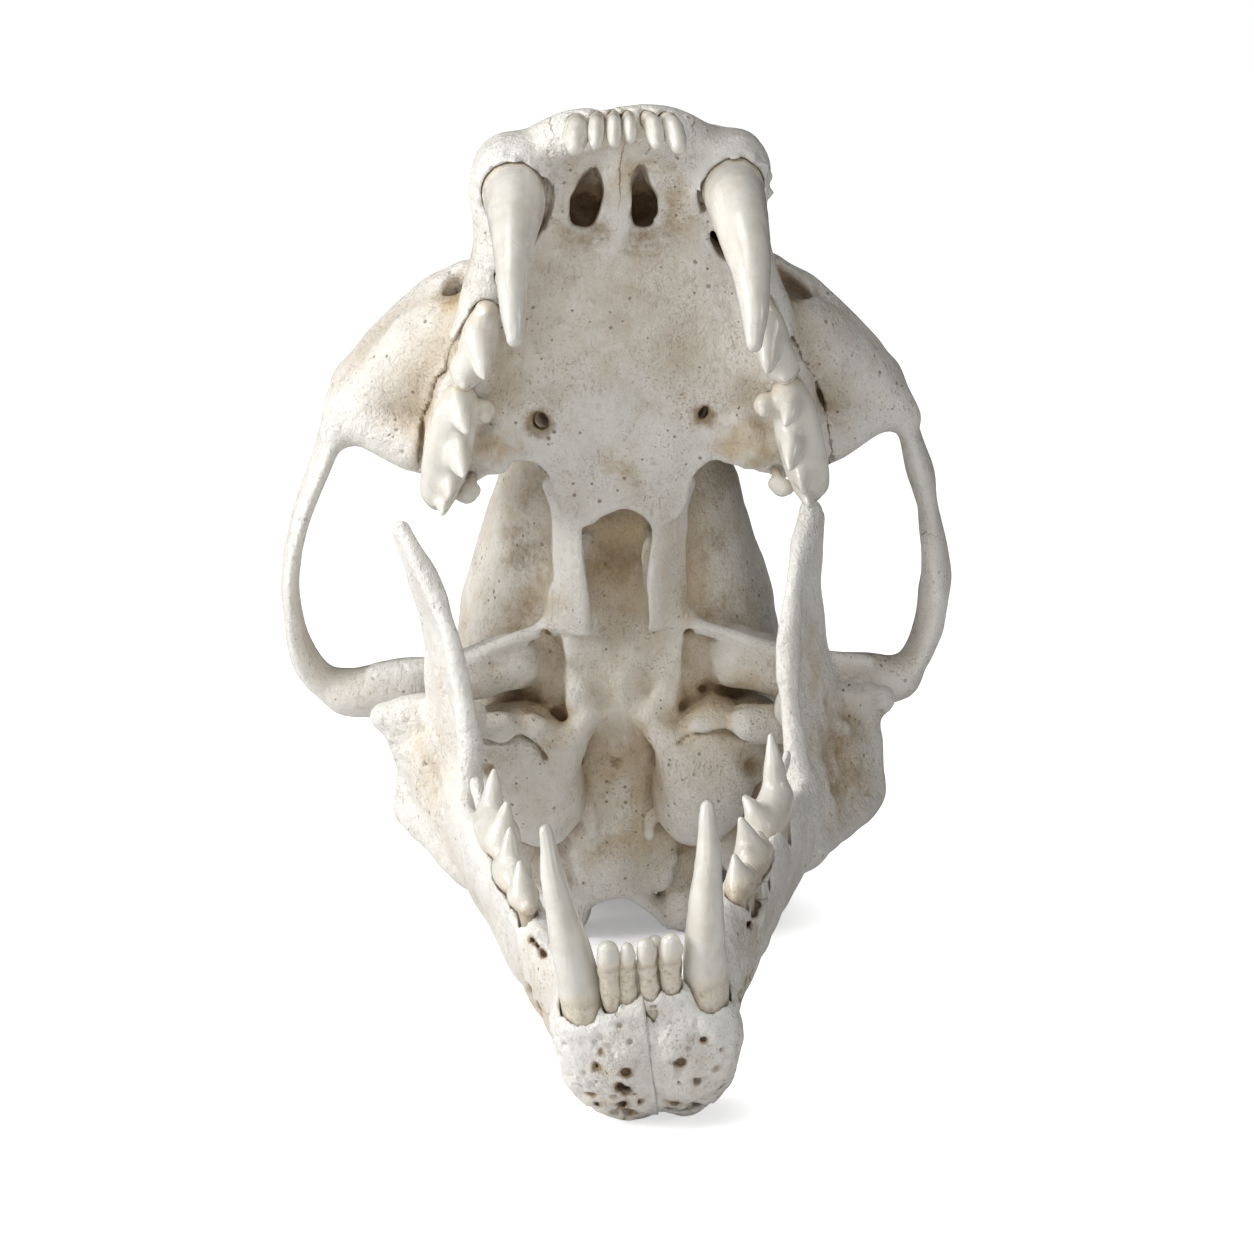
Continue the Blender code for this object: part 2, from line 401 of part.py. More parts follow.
# ---------------------------------------------------------------- cranium
def cranium_forms(bm):
    # Muzzle, forehead and braincase, as three overlapping bodies. Rows: a, half width, top, bottom.
    hull_loft(bm, [(121.5, 14.0, 14.5, 6.0), (117, 17.0, 22, 6.0), (110, 19.0, 33, 6.5), (100, 20.0, 43.0, 7.0),
                   (88, 20.5, 51, 7.5), (75, 21.0, 58, 7.5), (64, 22.0, 64, 8.0), (54, 23.0, 68.5, 12)], power=2.7)
    hull_loft(bm, [(66, 17.0, 63, 34), (57, 21.5, 67.5, 30), (48, 24.0, 70.5, 26), (39, 22.0, 72.5, 21),
                   (32, 21.5, 72.5, 18), (22, 24.0, 72, 16)], power=2.3)
    hull_loft(bm, [(38, 21.5, 68, 20), (30, 25.0, 70, 17.5), (20, 28.0, 71, 14.5), (10, 31.0, 70.5, 12.5), (0, 33.5, 69.5, 11.5),
                   (-14, 35.0, 67, 11), (-28, 34.5, 63, 11), (-40, 32.0, 58, 11.5), (-50, 27.0, 51, 12.5), (-55, 22.0, 45, 15.5)],
              power=2.15)
    # Hard palate and the premaxillae in front of it.
    slab(bm, [(0, 124.5), (8, 124.0), (13.5, 120.5), (17, 114), (20, 104), (22.5, 93), (26, 82), (30, 68), (33, 54), (32, 47.5),
              (28, 48.8), (24, 51.6), (20.5, 52.4), (17, 51.2), (14, 47.5), (12.6, 42), (10, 38), (6.5, 37), (4, 40), (0, 41.6),
              (-4, 40), (-6.5, 37), (-10, 38), (-12.6, 42), (-14, 47.5), (-17, 51.2), (-20.5, 52.4), (-24, 51.6), (-28, 48.8),
              (-32, 47.5), (-33, 54), (-30, 68), (-26, 82), (-22.5, 93), (-20, 104), (-17, 114), (-13.5, 120.5), (-8, 124.0)], 6.6, 11.5)
    # Midline crests: sagittal crest, and the nuchal crest behind it.
    sweep(bm, [(0, 26, 70.5, 1.6, 2.5), (0, 5, 70.5, 1.7, 3.5), (0, -18, 67.5, 1.8, 4.5), (0, -42, 60.5, 1.9, 6.5),
               (0, -60, 54.5, 2.0, 8.0), (0, -72, 50.5, 2.1, 6.5)], sides=12)
    # Occipital plate, which joins the braincase to the nuchal crest.
    hull_loft(bm, [(-42, 33.0, 57, 12.5), (-50, 30.0, 52.5, 14), (-57, 25.5, 51.5, 23.0), (-63, 20.5, 52, 32), (-69.5, 12.5, 52.5, 43.0)],
              power=2.4)
    ellipsoid(bm, (0, -64, 50), (12, 9.0, 6.5))
    # Basioccipital and basisphenoid: the floor of the braincase between the bullae.
    slab(bm, [(0, -51.0), (6, -52.5), (10, -50), (11, -40), (10.5, -25), (10, -10), (12, 4), (12, 16), (9, 24), (8, 33),
              (-8, 33), (-9, 24), (-12, 16), (-12, 4), (-10, -10), (-10.5, -25), (-11, -40), (-10, -50), (-6, -52.5)], 10.2, 16.0)
    slab(bm, [(8, 46), (9, 30), (9, 14), (-9, 14), (-9, 30), (-8, 46)], 16.5, 24.0)

    def paired(bm, side):
        # Ridge over the root of the canine, and the edge of the jaw bone along the cheek teeth.
        sweep(bm, [(19.8, 113.0, 9.0, 8.0, 8.0), (20.4, 109.6, 17, 8.2, 8.2), (20.8, 102, 27, 7.2, 7.4), (20.0, 92, 36, 5.0, 5.5)], up=(0, 1, 0.5))
        sweep(bm, [(8.0, 120.4, 10.5, 3.6, 4.6), (13.6, 118.8, 12.0, 4.2, 5.2), (18.4, 115.8, 13.0, 4.6, 6.0), (21.8, 112.0, 14.0, 4.6, 6.5)])
        sweep(bm, [(22.5, 113.0, 13.0, 4.9, 6.4), (23.5, 108.5, 14, 5.0, 8.5), (23.9, 101, 15.0, 4.9, 9.0), (24.5, 94, 16.0, 4.8, 8.6),
                   (26.0, 88, 17.5, 4.4, 8.0)])
        sweep(bm, [(21.5, 101, 9.5, 5.0, 5.5), (25.5, 91, 9.5, 5.0, 6.0), (29.0, 78, 10, 5.4, 6.4), (33.0, 63, 10.5, 5.6, 6.4),
                   (35.8, 52, 10.5, 4.2, 5.4)])
        # Premaxilla below the nasal opening.
        sweep(bm, [(0, 121.9, 9.2, 4.6, 5.0), (7, 121.5, 9.4, 4.7, 5.2), (12.0, 119.2, 11, 4.8, 5.4), (16.5, 115.0, 16, 3.8, 5.0),
                   (17.0, 111, 24, 2.8, 4.2)], up=(0, 0, 1))
        # Front root of the zygomatic arch, rising from the cheek teeth to the rim of the eye socket.
        sweep(bm, [(27, 72, 19, 13.5, 10.5), (34, 70.5, 19.5, 12.5, 10.0), (41, 67.0, 20.5, 10.5, 9.0), (48, 62.5, 22, 7.6, 8.0),
                   (53, 58.5, 23.5, 5.0, 7.5)], sides=18)
        sweep(bm, [(30.5, 83.5, 27.0, 3.4, 4.8), (36.5, 79.6, 27.8, 3.6, 4.8), (43.0, 74.0, 28.0, 3.7, 4.6), (49.5, 67.3, 27.5, 3.4, 4.8),
                   (53.8, 61.0, 27.0, 3.0, 5.2)])
        sweep(bm, [(33, 55.5, 11.0, 5.0, 5.4), (39, 54.0, 12.0, 5.4, 5.2), (45, 55.5, 14.5, 5.0, 5.2), (51, 57.0, 18.0, 4.4, 5.6),
                   (56, 56.0, 21.0, 3.6, 6.0)])
        # The arch itself: a deep thin blade bowed out round the jaw muscle.
        lean = -1.7 * side
        sweep(bm, [(53.3, 62.0, 27.0, 2.8, 5.6), (56.2, 56.0, 24.5, 2.6, 8.2), (59.3 + 0.3 * lean, 48.5, 21.5, 2.4, 8.6),
                   (62.6 + 0.7 * lean, 39.0, 18.5, 2.3, 8.2), (65.0 + lean, 28.5, 16.8, 2.2, 7.8), (65.7 + lean, 18.0, 16.2, 2.3, 8.0),
                   (64.6 + lean, 8.5, 15.8, 2.5, 7.6), (60.8 + 0.8 * lean, 0.6, 14.6, 3.0, 6.4), (55.0 + 0.4 * lean, -3.2, 13.2, 3.8, 5.2),
                   (49.0, -2.5, 12.8, 4.4, 4.8)], up=(0, 0, 1), sides=16)
        # Postorbital processes of cheek bone and forehead.
        sweep(bm, [(57.2, 52.0, 29.0, 2.2, 4.4), (56.0, 49.5, 35.0, 1.9, 3.2), (54.2, 48.0, 39.5, 1.5, 1.8)], up=(0, 1, 0))
        sweep(bm, [(18, 54, 62.0, 5.0, 8.0), (26, 51, 62.0, 4.4, 6.6), (33, 47.5, 59.5, 3.4, 4.6), (38.5, 44.5, 55.5, 1.9, 2.4)], up=(0, 1, 0))
        # Inner rim of the eye socket.
        sweep(bm, [(28.5, 82.0, 30.0, 3.2, 3.6), (25.5, 80.0, 38.0, 3.2, 3.8), (22.8, 75.5, 47.0, 3.2, 3.8), (21.0, 68.0, 55.5, 3.2, 4.0),
                   (21.5, 59.0, 61.5, 3.4, 4.0)], up=(1, 0, 0))
        # Root bar of the arch over the jaw joint, and the ridge behind the joint.
        sweep(bm, [(23, 3.0, 15.5, 6.4, 6.0), (32, 1.6, 13.0, 5.6, 5.6), (42, 0.2, 12.0, 5.0, 5.2), (52, -1.4, 12.4, 5.0, 5.2),
                   (57, -1.6, 13.0, 4.4, 5.2)], up=(0, 0, 1))
        sweep(bm, [(25, -7.8, 6.2, 3.4, 5.0), (33, -8.8, 6.8, 3.4, 4.0), (41, -9.2, 7.8, 3.2, 3.8), (48, -8.0, 9.0, 3.0, 3.8)], up=(0, 0, 1))
        # Pterygoid plate: a strap from the back of the palate to the skull base.
        sweep(bm, [(12.5, 45.5, 9.8, 1.7, 3.8), (10.8, 40.0, 10.6, 1.6, 4.9), (10.0, 33.0, 11.2, 1.5, 5.2), (10.0, 24.0, 11.4, 1.5, 5.2),
                   (10.4, 16.5, 11.2, 1.6, 5.4)], up=(0.62, 0, 0.78))
        sweep(bm, [(12.0, 40.0, 20.0, 2.2, 5.0), (11.5, 26.0, 18.5, 2.2, 4.5), (12.5, 13.0, 16.0, 3.0, 4.0)])
        # Auditory bulla with its outer wall, and the mastoid and paroccipital knobs.
        ellipsoid(bm, (17.6, -21.5, 11.5), (10.8, 17.0, 12.4), turn=(4, 0, -14))
        ellipsoid(bm, (26.5, -17.0, 14.5), (7.5, 9.5, 8.5))
        sweep(bm, [(31, -30, 20, 5.5, 6.0), (33.5, -36, 14, 4.6, 5.0), (34.0, -38, 9, 3.4, 3.6)], up=(0, 1, 0))
        sweep(bm, [(22, -40, 16, 5.0, 5.0), (24, -43, 9, 3.6, 3.6), (24.5, -44.5, 4.5, 2.2, 2.2)], up=(0, 1, 0))
        # Occipital condyle, and the nuchal crest out to the mastoid.
        ellipsoid(bm, (13.6, -57.2, 17.4), (6.4, 7.6, 8.6), turn=(0, 18, 0))
        sweep(bm, [(0, -72.5, 50.0, 3.4, 4.6), (7, -72.5, 49.7, 3.0, 4.6), (14, -70.5, 47.0, 2.4, 4.8), (21, -65.5, 42.0, 2.2, 4.8),
                   (27.5, -58.0, 34.0, 2.2, 4.8), (32.5, -49.0, 25.0, 2.4, 5.0), (34.5, -41.0, 17.0, 3.0, 5.0)], up=(0, 1, 0.25))

    both_sides(bm, paired)


def cranium_hollows():
    """Openings of the cranium: name, build function, on both sides or on the midline."""
    def nose(bm):
        # Pear-shaped nasal opening, sloping back from the premaxillae to the tips of the nasal bones.
        sweep(bm, [(0, 128, 27, 10.5, 11.5), (0, 116, 27, 10.5, 11.0), (0, 102, 28, 9.5, 10.5), (0, 88, 29, 8.5, 10.0)],
              up=(0, 0, 1), sides=14, ends=False, power=2.3, per_span=1)

    def orbit(bm):
        ellipsoid(bm, (38.0, 65, 46.5), (16.5, 16.5, 15.0), turn=(0, 0, -20), detail=2)

    def infraorbital(bm):
        sweep(bm, [(31.5, 96, 23.0, 2.7, 3.3), (32.3, 82, 22.5, 2.9, 3.5), (33.5, 70, 25.0, 2.6, 3.2)], sides=8, ends=False, per_span=1)

    def palatine_fissure(bm):
        sweep(bm, [(6.3, 111.0, 3, 2.9, 5.6), (6.3, 111.0, 17, 2.9, 5.6)], up=(0, 1, 0), sides=10, ends=False, per_span=1)

    def choana(bm):
        sweep(bm, [(0, 20, 12.2, 5.2, 3.0), (0, 36, 13.2, 5.6, 3.4), (0, 52, 14.5, 5.6, 3.6)], sides=10, ends=False, per_span=1)

    def magnum(bm):
        sweep(bm, [(0, -85, 17.5, 8.2, 7.6), (0, -58, 21, 8.2, 7.6), (0, -40, 28, 8.0, 7.0)], sides=12, ends=False, per_span=1)

    def ear(bm):
        sweep(bm, [(44, -17.5, 17.5, 3.0, 3.4), (27, -17.5, 16.5, 2.6, 3.0)], up=(0, 0, 1), sides=8, ends=False, per_span=1)

    def joint_trough(bm):
        sweep(bm, [(30.0, 0, 0, GLENOID_R, GLENOID_R), (60, 0, 0, GLENOID_R, GLENOID_R)], sides=18, ends=False, per_span=1)

    def palatal_hole(bm):
        sweep(bm, [(16.2, 63.5, 2, 1.2, 1.5), (16.4, 62.0, 9.6, 1.2, 1.5)], up=(0, 1, 0), sides=6, ends=False, per_span=1)

    return [("nose", nose, (1,)), ("orbit", orbit, (1, -1)), ("infraorbital", infraorbital, (1, -1)),
            ("palatine_fissure", palatine_fissure, (1, -1)), ("choana", choana, (1,)), ("magnum", magnum, (1,)),
            ("ear", ear, (1, -1)), ("joint_trough", joint_trough, (1, -1)), ("palatal_hole", palatal_hole, (1, -1))]


bm = bmesh.new()
cranium_forms(bm)
cranium = object_from(bm, "cranium", cranium_to_world, bone_parts, BONE)
fuse(cranium, CRANIUM_FACES)
for name, make, sides in cranium_hollows():
    for side in sides:
        bm = bmesh.new()
        make(bm)
        if side < 0:
            bmesh.ops.scale(bm, vec=(-1, 1, 1), verts=bm.verts)
        label = name if len(sides) == 1 else side_name(name, side)
        cut(cranium, object_from(bm, "hole_" + label, cranium_to_world, cutter_parts))
for name in UPPER:
    for side in (1, -1):
        cut(cranium, object_from(build_tooth(name, side, SOCKET_GAP), "socket_" + side_name(name, side), cranium_to_world, cutter_parts))
floor_cutter(cranium)


# ---------------------------------------------------------------- lower jaw
def dentary_forms(bm, side):
    # The coronoid processes both lean a little to the animal's right.
    lean = -0.062 * side
    # Body of the jaw from the chin to the ramus; its lower edge is nearer the midline than its teeth. The animal's
    # left half is the slimmer one and stands a little nearer the midline at the front.
    slim = 1.0 if side > 0 else 0.0
    sweep(bm, [(9.0 - 0.8 * slim, 111.5, -30.5, 5.6, 12.2), (11.0 - 1.4 * slim, 105, -29.5, 5.6, 12.4),
               (14.2 - 2.0 * slim, 97, -26.5, 5.4, 12.4), (17.6 - 2.3 * slim, 86, -24.0, 5.2, 12.2),
               (20.7 - 2.2 * slim, 73, -22.8, 4.9, 11.8), (23.9 - 1.8 * slim, 60, -21.8, 4.7, 11.8),
               (27.6 - 1.0 * slim, 46, -20.2, 4.5, 11.6), (31.8 - 0.4 * slim, 33, -17.6, 4.1, 11.0),
               (35.6, 21, -14.5, 3.5, 10.4), (39.0, 10, -12.0, 3.1, 9.6)], up=(0.20, 0, 1), sides=16)
    # Chin and symphysis, sloping back from the incisors to the underside.
    sweep(bm, [(4.4, 118.4, -20.5, 4.8, 3.4), (4.6, 117.0, -26, 5.6, 5.0), (5.2, 114.5, -32, 7.0, 6.2), (5.4, 110.6, -37.6, 7.6, 6.2),
               (5.6, 106.6, -41.2, 6.4, 5.2)], up=(0, 1, 0.3), sides=14)
    # Bulge round the canine's root.
    sweep(bm, [(10.6, 113.6, -24.5, 6.4 - slim, 7.2), (10.8, 111.5, -30, 5.8 - slim, 7.4), (11.2, 106.5, -36, 5.0 - slim, 6.6)], up=(0, 1, 0))
    # Margin round the canine's neck, and the one round the necks of the incisors.
    sweep(bm, [(11.2, 110.6, -31.0, 5.6 - 0.6 * slim, 6.8), (10.9, 113.8, -24.0, 5.5 - 0.5 * slim, 7.2),
               (10.9, 114.4, -21.6, 5.2 - 0.3 * slim, 6.9)], up=(0, 1, 0), ends=False)
    sweep(bm, [(-0.5, 119.6, -20.8, 3.2, 3.3), (3.0, 119.5, -20.6, 3.2, 3.3), (6.6, 118.4, -21.4, 3.2, 3.4)])
    # Coronoid process: a thin blade, thicker along its front edge, turned outwards behind, more so on the animal's right.
    flare = 0.0 if side > 0 else 1.0
    sweep(bm, [(37.0, 17.0, -10, 3.0, 16.0), (36.4, 16.0, 2, 2.6, 15.0), (36.0 + 13 * lean, 16.5, 13, 2.2, 12.0), (36.8 + 24 * lean + 0.3 * flare, 16.0, 24, 2.0, 9.6),
               (38.6 + 34 * lean + 1.5 * flare, 13.6, 34, 1.8, 7.2), (40.2 + 42 * lean + 2.3 * flare, 10.8, 41.5, 1.6, 4.2)], up=(-0.36, 1, 0), sides=16)
    sweep(bm, [(32.6, 31.0, -8, 3.0, 3.2), (31.6, 30.5, 3, 2.6, 2.8), (31.8 + 14 * lean, 28.0, 14, 2.2, 2.4), (33.4 + 25 * lean, 24.0, 25, 2.0, 2.2),
               (36.0 + 35 * lean + 0.6 * flare, 18.5, 35, 1.8, 2.0), (39.2 + 42 * lean + 2.0 * flare, 13.0, 42.4, 1.5, 1.8)], up=(0, 1, 0))
    # Neck and condyle, the transverse rod of the jaw joint.
    sweep(bm, [(40.0, 6, -12, 4.0, 5.6), (39.5, 2.0, -6, 7.5, 4.0), (39.0, 0.2, -1.5, 10.0, 3.2)], up=(0, 1, 0))
    sweep(bm, [(32.4, 0, 0, 3.4, 3.4), (35.0, 0, 0, CONDYLE_R - 0.4, CONDYLE_R - 0.4), (39.0, 0, 0, CONDYLE_R, CONDYLE_R),
               (46.0, 0, 0, CONDYLE_R - 0.3, CONDYLE_R - 0.3), (50.2, 0, 0, 3.2, 3.2)], sides=16)
    # Muscle plate behind the ramus: it flares outwards to the angular process.
    out = 0.9 * side - 0.6
    sweep(bm, [(36.8, 20, -14, 3.0, 10.0), (41.0 + 0.5 * out, 11, -12.5, 2.7, 10.2), (45.0 + out, 3.5, -12.0, 2.4, 9.6), (47.4 + out, -1.0, -12.0, 2.2, 8.2)],
          up=(0, 0, 1))
    sweep(bm, [(33.6, 28, -22.5, 3.8, 3.8), (38.8, 15, -22.2, 3.7, 3.7), (43.8 + out, 5, -21.6, 3.6, 3.8), (47.4 + out, -3.0, -20.6, 3.2, 3.6),
               (48.4 + out, -7.0, -20.6, 2.3, 2.6)], up=(0, 0, 1))
    sweep(bm, [(48.4, -0.5, -3.5, 2.2, 3.4), (47.8 + out, -2.2, -10, 2.0, 3.0), (48.2 + out, -4.0, -16.5, 2.2, 3.2)], up=(0, 1, 0))


for side, name in ((1, "dentary_left"), (-1, "dentary_right")):
    bm = bmesh.new()
    dentary_forms(bm, side)
    if side < 0:
        bmesh.ops.scale(bm, vec=(-1, 1, 1), verts=bm.verts)
    dentary = object_from(bm, name, jaw_to_world, bone_parts, BONE)
    fuse(dentary, DENTARY_FACES)
    # The half is cut off square at the symphysis, on the plane between the two halves.
    bm = bmesh.new()
    bmesh.ops.create_cube(bm, size=1.0, matrix=Matrix.Translation((SYMPHYSIS_GAP / 2 - 20, 100, -30)) @ Matrix.Diagonal((40, 80, 80, 1)))
    if side < 0:
        bmesh.ops.scale(bm, vec=(-1, 1, 1), verts=bm.verts)
    cut(dentary, object_from(bm, "symphysis_" + name, symphysis_to_world, cutter_parts))
    for tooth in LOWER:
        if side_name(tooth, side) in LOST:
            continue
        cut(dentary, object_from(build_tooth(tooth, side, SOCKET_GAP), "socket_" + side_name(tooth, side), jaw_to_world, cutter_parts))
    floor_cutter(dentary)

# ---------------------------------------------------------------- teeth as objects
for names, to_world in ((UPPER, cranium_to_world), (LOWER, jaw_to_world)):
    for name in names:
        for side in (1, -1):
            if side_name(name, side) in LOST:
                continue
            tooth = object_from(build_tooth(name, side), side_name(name, side), to_world, bone_parts, ENAMEL)
            tooth.data.shade_smooth()
for bone in ("cranium", "dentary_left", "dentary_right"):
    bpy.data.objects[bone].data.shade_smooth()
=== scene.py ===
"""Leopard skull, standing on its occiput and chin with the jaws wide open.

Bone and teeth are grown as distance fields in anatomical millimetres (x to the animal's
left, a forward from the jaw joint, s up from it), meshed, and set into the world frame.
"""

import math

import bpy
import numpy as np
import openvdb
from mathutils import Matrix, Vector


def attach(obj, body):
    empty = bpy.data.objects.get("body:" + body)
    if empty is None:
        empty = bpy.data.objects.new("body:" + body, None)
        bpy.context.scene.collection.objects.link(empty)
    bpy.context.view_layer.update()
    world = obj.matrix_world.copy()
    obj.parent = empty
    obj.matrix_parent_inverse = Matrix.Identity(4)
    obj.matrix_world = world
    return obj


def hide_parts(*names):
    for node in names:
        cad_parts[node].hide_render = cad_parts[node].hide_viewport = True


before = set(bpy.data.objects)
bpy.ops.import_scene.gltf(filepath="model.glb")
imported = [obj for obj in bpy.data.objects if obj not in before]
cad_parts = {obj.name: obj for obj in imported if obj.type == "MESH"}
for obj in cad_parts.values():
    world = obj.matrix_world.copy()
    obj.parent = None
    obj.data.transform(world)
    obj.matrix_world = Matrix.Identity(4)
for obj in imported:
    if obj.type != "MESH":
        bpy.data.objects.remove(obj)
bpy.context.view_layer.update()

# ---------------------------------------------------------------- pose of the two bones
MM = 0.001
JOINT_HEIGHT, ORIGIN_X, ORIGIN_Y = 54.7, 1.58, 21.94
C_PITCH, J_PITCH = math.radians(70.04), math.radians(-4.86)
JAW_ROLL, JAW_TWIST, JAW_YAW, JAW_SHIFT = 0.47, 4.67, -2.53, 1.4
CONDYLE_R, GLENOID_R = 4.7, 5.3


def cranium_to_world(p):
    x, a, s = p[:, 0], p[:, 1], p[:, 2]
    y = -a * math.cos(C_PITCH) + s * math.sin(C_PITCH) + ORIGIN_Y
    z = a * math.sin(C_PITCH) + s * math.cos(C_PITCH) + JOINT_HEIGHT
    return np.stack([x + ORIGIN_X, y, z], 1) * MM


def jaw_to_world(p):
    x, a, s = p[:, 0], p[:, 1], p[:, 2]
    turn = np.radians(JAW_ROLL + JAW_TWIST * a / 100.0)
    x, s = x * np.cos(turn) - s * np.sin(turn), x * np.sin(turn) + s * np.cos(turn)
    x = x + ORIGIN_X + JAW_SHIFT + math.sin(math.radians(JAW_YAW)) * a
    y = -a * math.cos(J_PITCH) + s * math.sin(J_PITCH) + ORIGIN_Y
    z = a * math.sin(J_PITCH) + s * math.cos(J_PITCH) + JOINT_HEIGHT
    return np.stack([x, y, z], 1) * MM


# ---------------------------------------------------------------- distance fields
PAD = 5.0
FAR = 9.0


def smin(a, b, k):
    if k <= 0:
        return np.minimum(a, b)
    h = np.clip(0.5 + 0.5 * (b - a) / k, 0, 1)
    return b + (a - b) * h - k * h * (1 - h)


def catmull(points, per_span):
    points = np.asarray(points, float)
    padded = np.vstack([2 * points[0] - points[1], points, 2 * points[-1] - points[-2]])
    t = (np.arange(per_span) / per_span)[:, None]
    rows = []
    for i in range(len(points) - 1):
        p0, p1, p2, p3 = padded[i : i + 4]
        rows.append(0.5 * (2 * p1 + (p2 - p0) * t + (2 * p0 - 5 * p1 + 4 * p2 - p3) * t * t
                           + (3 * p1 - p0 - 3 * p2 + p3) * t ** 3))
    rows.append(points[-1:])
    return np.vstack(rows)


class Field:
    """A distance grid in millimetres, negative inside the material."""

    def __init__(self, low, high, step):
        self.step = step
        self.low = np.array(low, float)
        self.count = (np.ceil((np.array(high, float) - self.low) / step) + 1).astype(int)
        self.axes = [(self.low[i] + step * np.arange(self.count[i])).astype(np.float32) for i in range(3)]
        self.d = np.full(self.count, FAR, np.float32)

    def window(self, low, high):
        i0 = np.clip(np.floor((np.asarray(low) - self.low) / self.step).astype(int), 0, self.count)
        i1 = np.clip(np.ceil((np.asarray(high) - self.low) / self.step).astype(int) + 1, 0, self.count)
        if np.any(i1 - i0 < 2):
            return None
        cut = tuple(slice(a, b) for a, b in zip(i0, i1))
        return cut, self.axes[0][cut[0]][:, None, None], self.axes[1][cut[1]][None, :, None], self.axes[2][cut[2]][None, None, :]

    def apply(self, cut, d, k, mode):
        if mode == "add":
            self.d[cut] = smin(self.d[cut], d, k)
        elif mode == "cut":
            self.d[cut] = -smin(-self.d[cut], d, k)
        elif mode == "keep":
            self.d[cut] = -smin(-self.d[cut], -d, k)

    # -- forms
    def sweep(self, rows, up=(0, 0, 1), k=2.0, mode="add", per_span=5, ends=True, grow=0.0, power=2.0):
        path = catmull(rows, per_span)
        path[:, 3:5] = np.maximum(path[:, 3:5], 0.12) + grow
        if path.shape[0] < 2:
            return
        at, radii = path[:, :3], path[:, 3:5]
        ahead = np.gradient(at, axis=0)
        ahead /= np.linalg.norm(ahead, axis=1)[:, None]
        up = np.asarray(up, float)
        high = up[None] - ahead * (ahead @ up)[:, None]
        high /= np.linalg.norm(high, axis=1)[:, None]
        wide = np.cross(high, ahead)
        reach = PAD + radii.max()
        found = self.window(at.min(0) - reach, at.max(0) + reach)
        if found is None:
            return
        cut, x, a, s = found
        shape = (x.shape[0], a.shape[1], s.shape[2])
        best = np.full(shape, 1e9, np.float32)
        where = np.zeros(shape, np.float32)
        base = np.array([c.start for c in cut])
        for i in range(len(at) - 1):
            one, two = at[i], at[i + 1]
            r = PAD + max(radii[i].max(), radii[i + 1].max())
            sub = self.window(np.minimum(one, two) - r, np.maximum(one, two) + r)
            if sub is None:
                continue
            c, sx, sa, ss = sub
            local = tuple(slice(q.start - b, q.stop - b) for q, b in zip(c, base))
            d = (two - one).astype(np.float32)
            length = float(d @ d)
            px, pa, ps = sx - one[0], sa - one[1], ss - one[2]
            t = (px * d[0] + pa * d[1] + ps * d[2]) / length
            np.clip(t, 0, 1, out=t)
            gap = (px - t * d[0]) ** 2 + (pa - t * d[1]) ** 2 + (ps - t * d[2]) ** 2
            old = best[local]
            nearer = gap < old
            old[nearer] = gap[nearer]
            where[local][nearer] = (t + i)[nearer]
        use = best < reach * reach
        if not use.any():
            return
        where = where[use]
        i = np.minimum(where.astype(np.int32), len(at) - 2)
        f = (where - i)[:, None]
        mix = lambda rows_: (rows_[i] * (1 - f) + rows_[i + 1] * f).astype(np.float32)
        ix, ia, is_ = np.nonzero(use)
        p = np.stack([x[ix, 0, 0], a[0, ia, 0], s[0, 0, is_]], 1)
        q = p - mix(at)
        w_, h_, n_ = mix(wide), mix(high), mix(ahead)
        r = mix(radii)
        u, v, n = (q * w_).sum(1), (q * h_).sum(1), (q * n_).sum(1)
        if power == 2.0:
            thin = np.minimum(r[:, 0], r[:, 1])
            along = n / thin if ends else np.zeros_like(n)
            e0, e1 = u / r[:, 0], v / r[:, 1]
            k0 = np.sqrt(e0 ** 2 + e1 ** 2 + along ** 2)
            k1 = np.sqrt((e0 / r[:, 0]) ** 2 + (e1 / r[:, 1]) ** 2 + (along / thin) ** 2) + 1e-6
            d = k0 * (k0 - 1) / k1
            d = np.where(k0 < 0.05, -np.minimum(thin, 3), d)
        else:
            e0, e1 = np.abs(u) / r[:, 0] + 1e-4, np.abs(v) / r[:, 1] + 1e-4
            k0 = (e0 ** power + e1 ** power) ** (1 / power)
            slope = k0 ** (1 - power) * np.sqrt((e0 ** (power - 1) / r[:, 0]) ** 2 + (e1 ** (power - 1) / r[:, 1]) ** 2)
            d = (k0 - 1) / (slope + 1e-4)
            d = np.maximum(d, -8)
            if ends:
                d = np.sqrt(np.maximum(d, 0) ** 2 + n * n) * (d > 0) + np.maximum(d, np.abs(n)) * (d <= 0)
        if not ends:
            edge = ((where <= 0.001) | (where >= len(at) - 1.001))
            d = np.where(edge, np.maximum(d, np.abs(n)), d)
        out = np.full(shape, FAR, np.float32)
        out[use] = d
        self.apply(cut, out, k, mode)

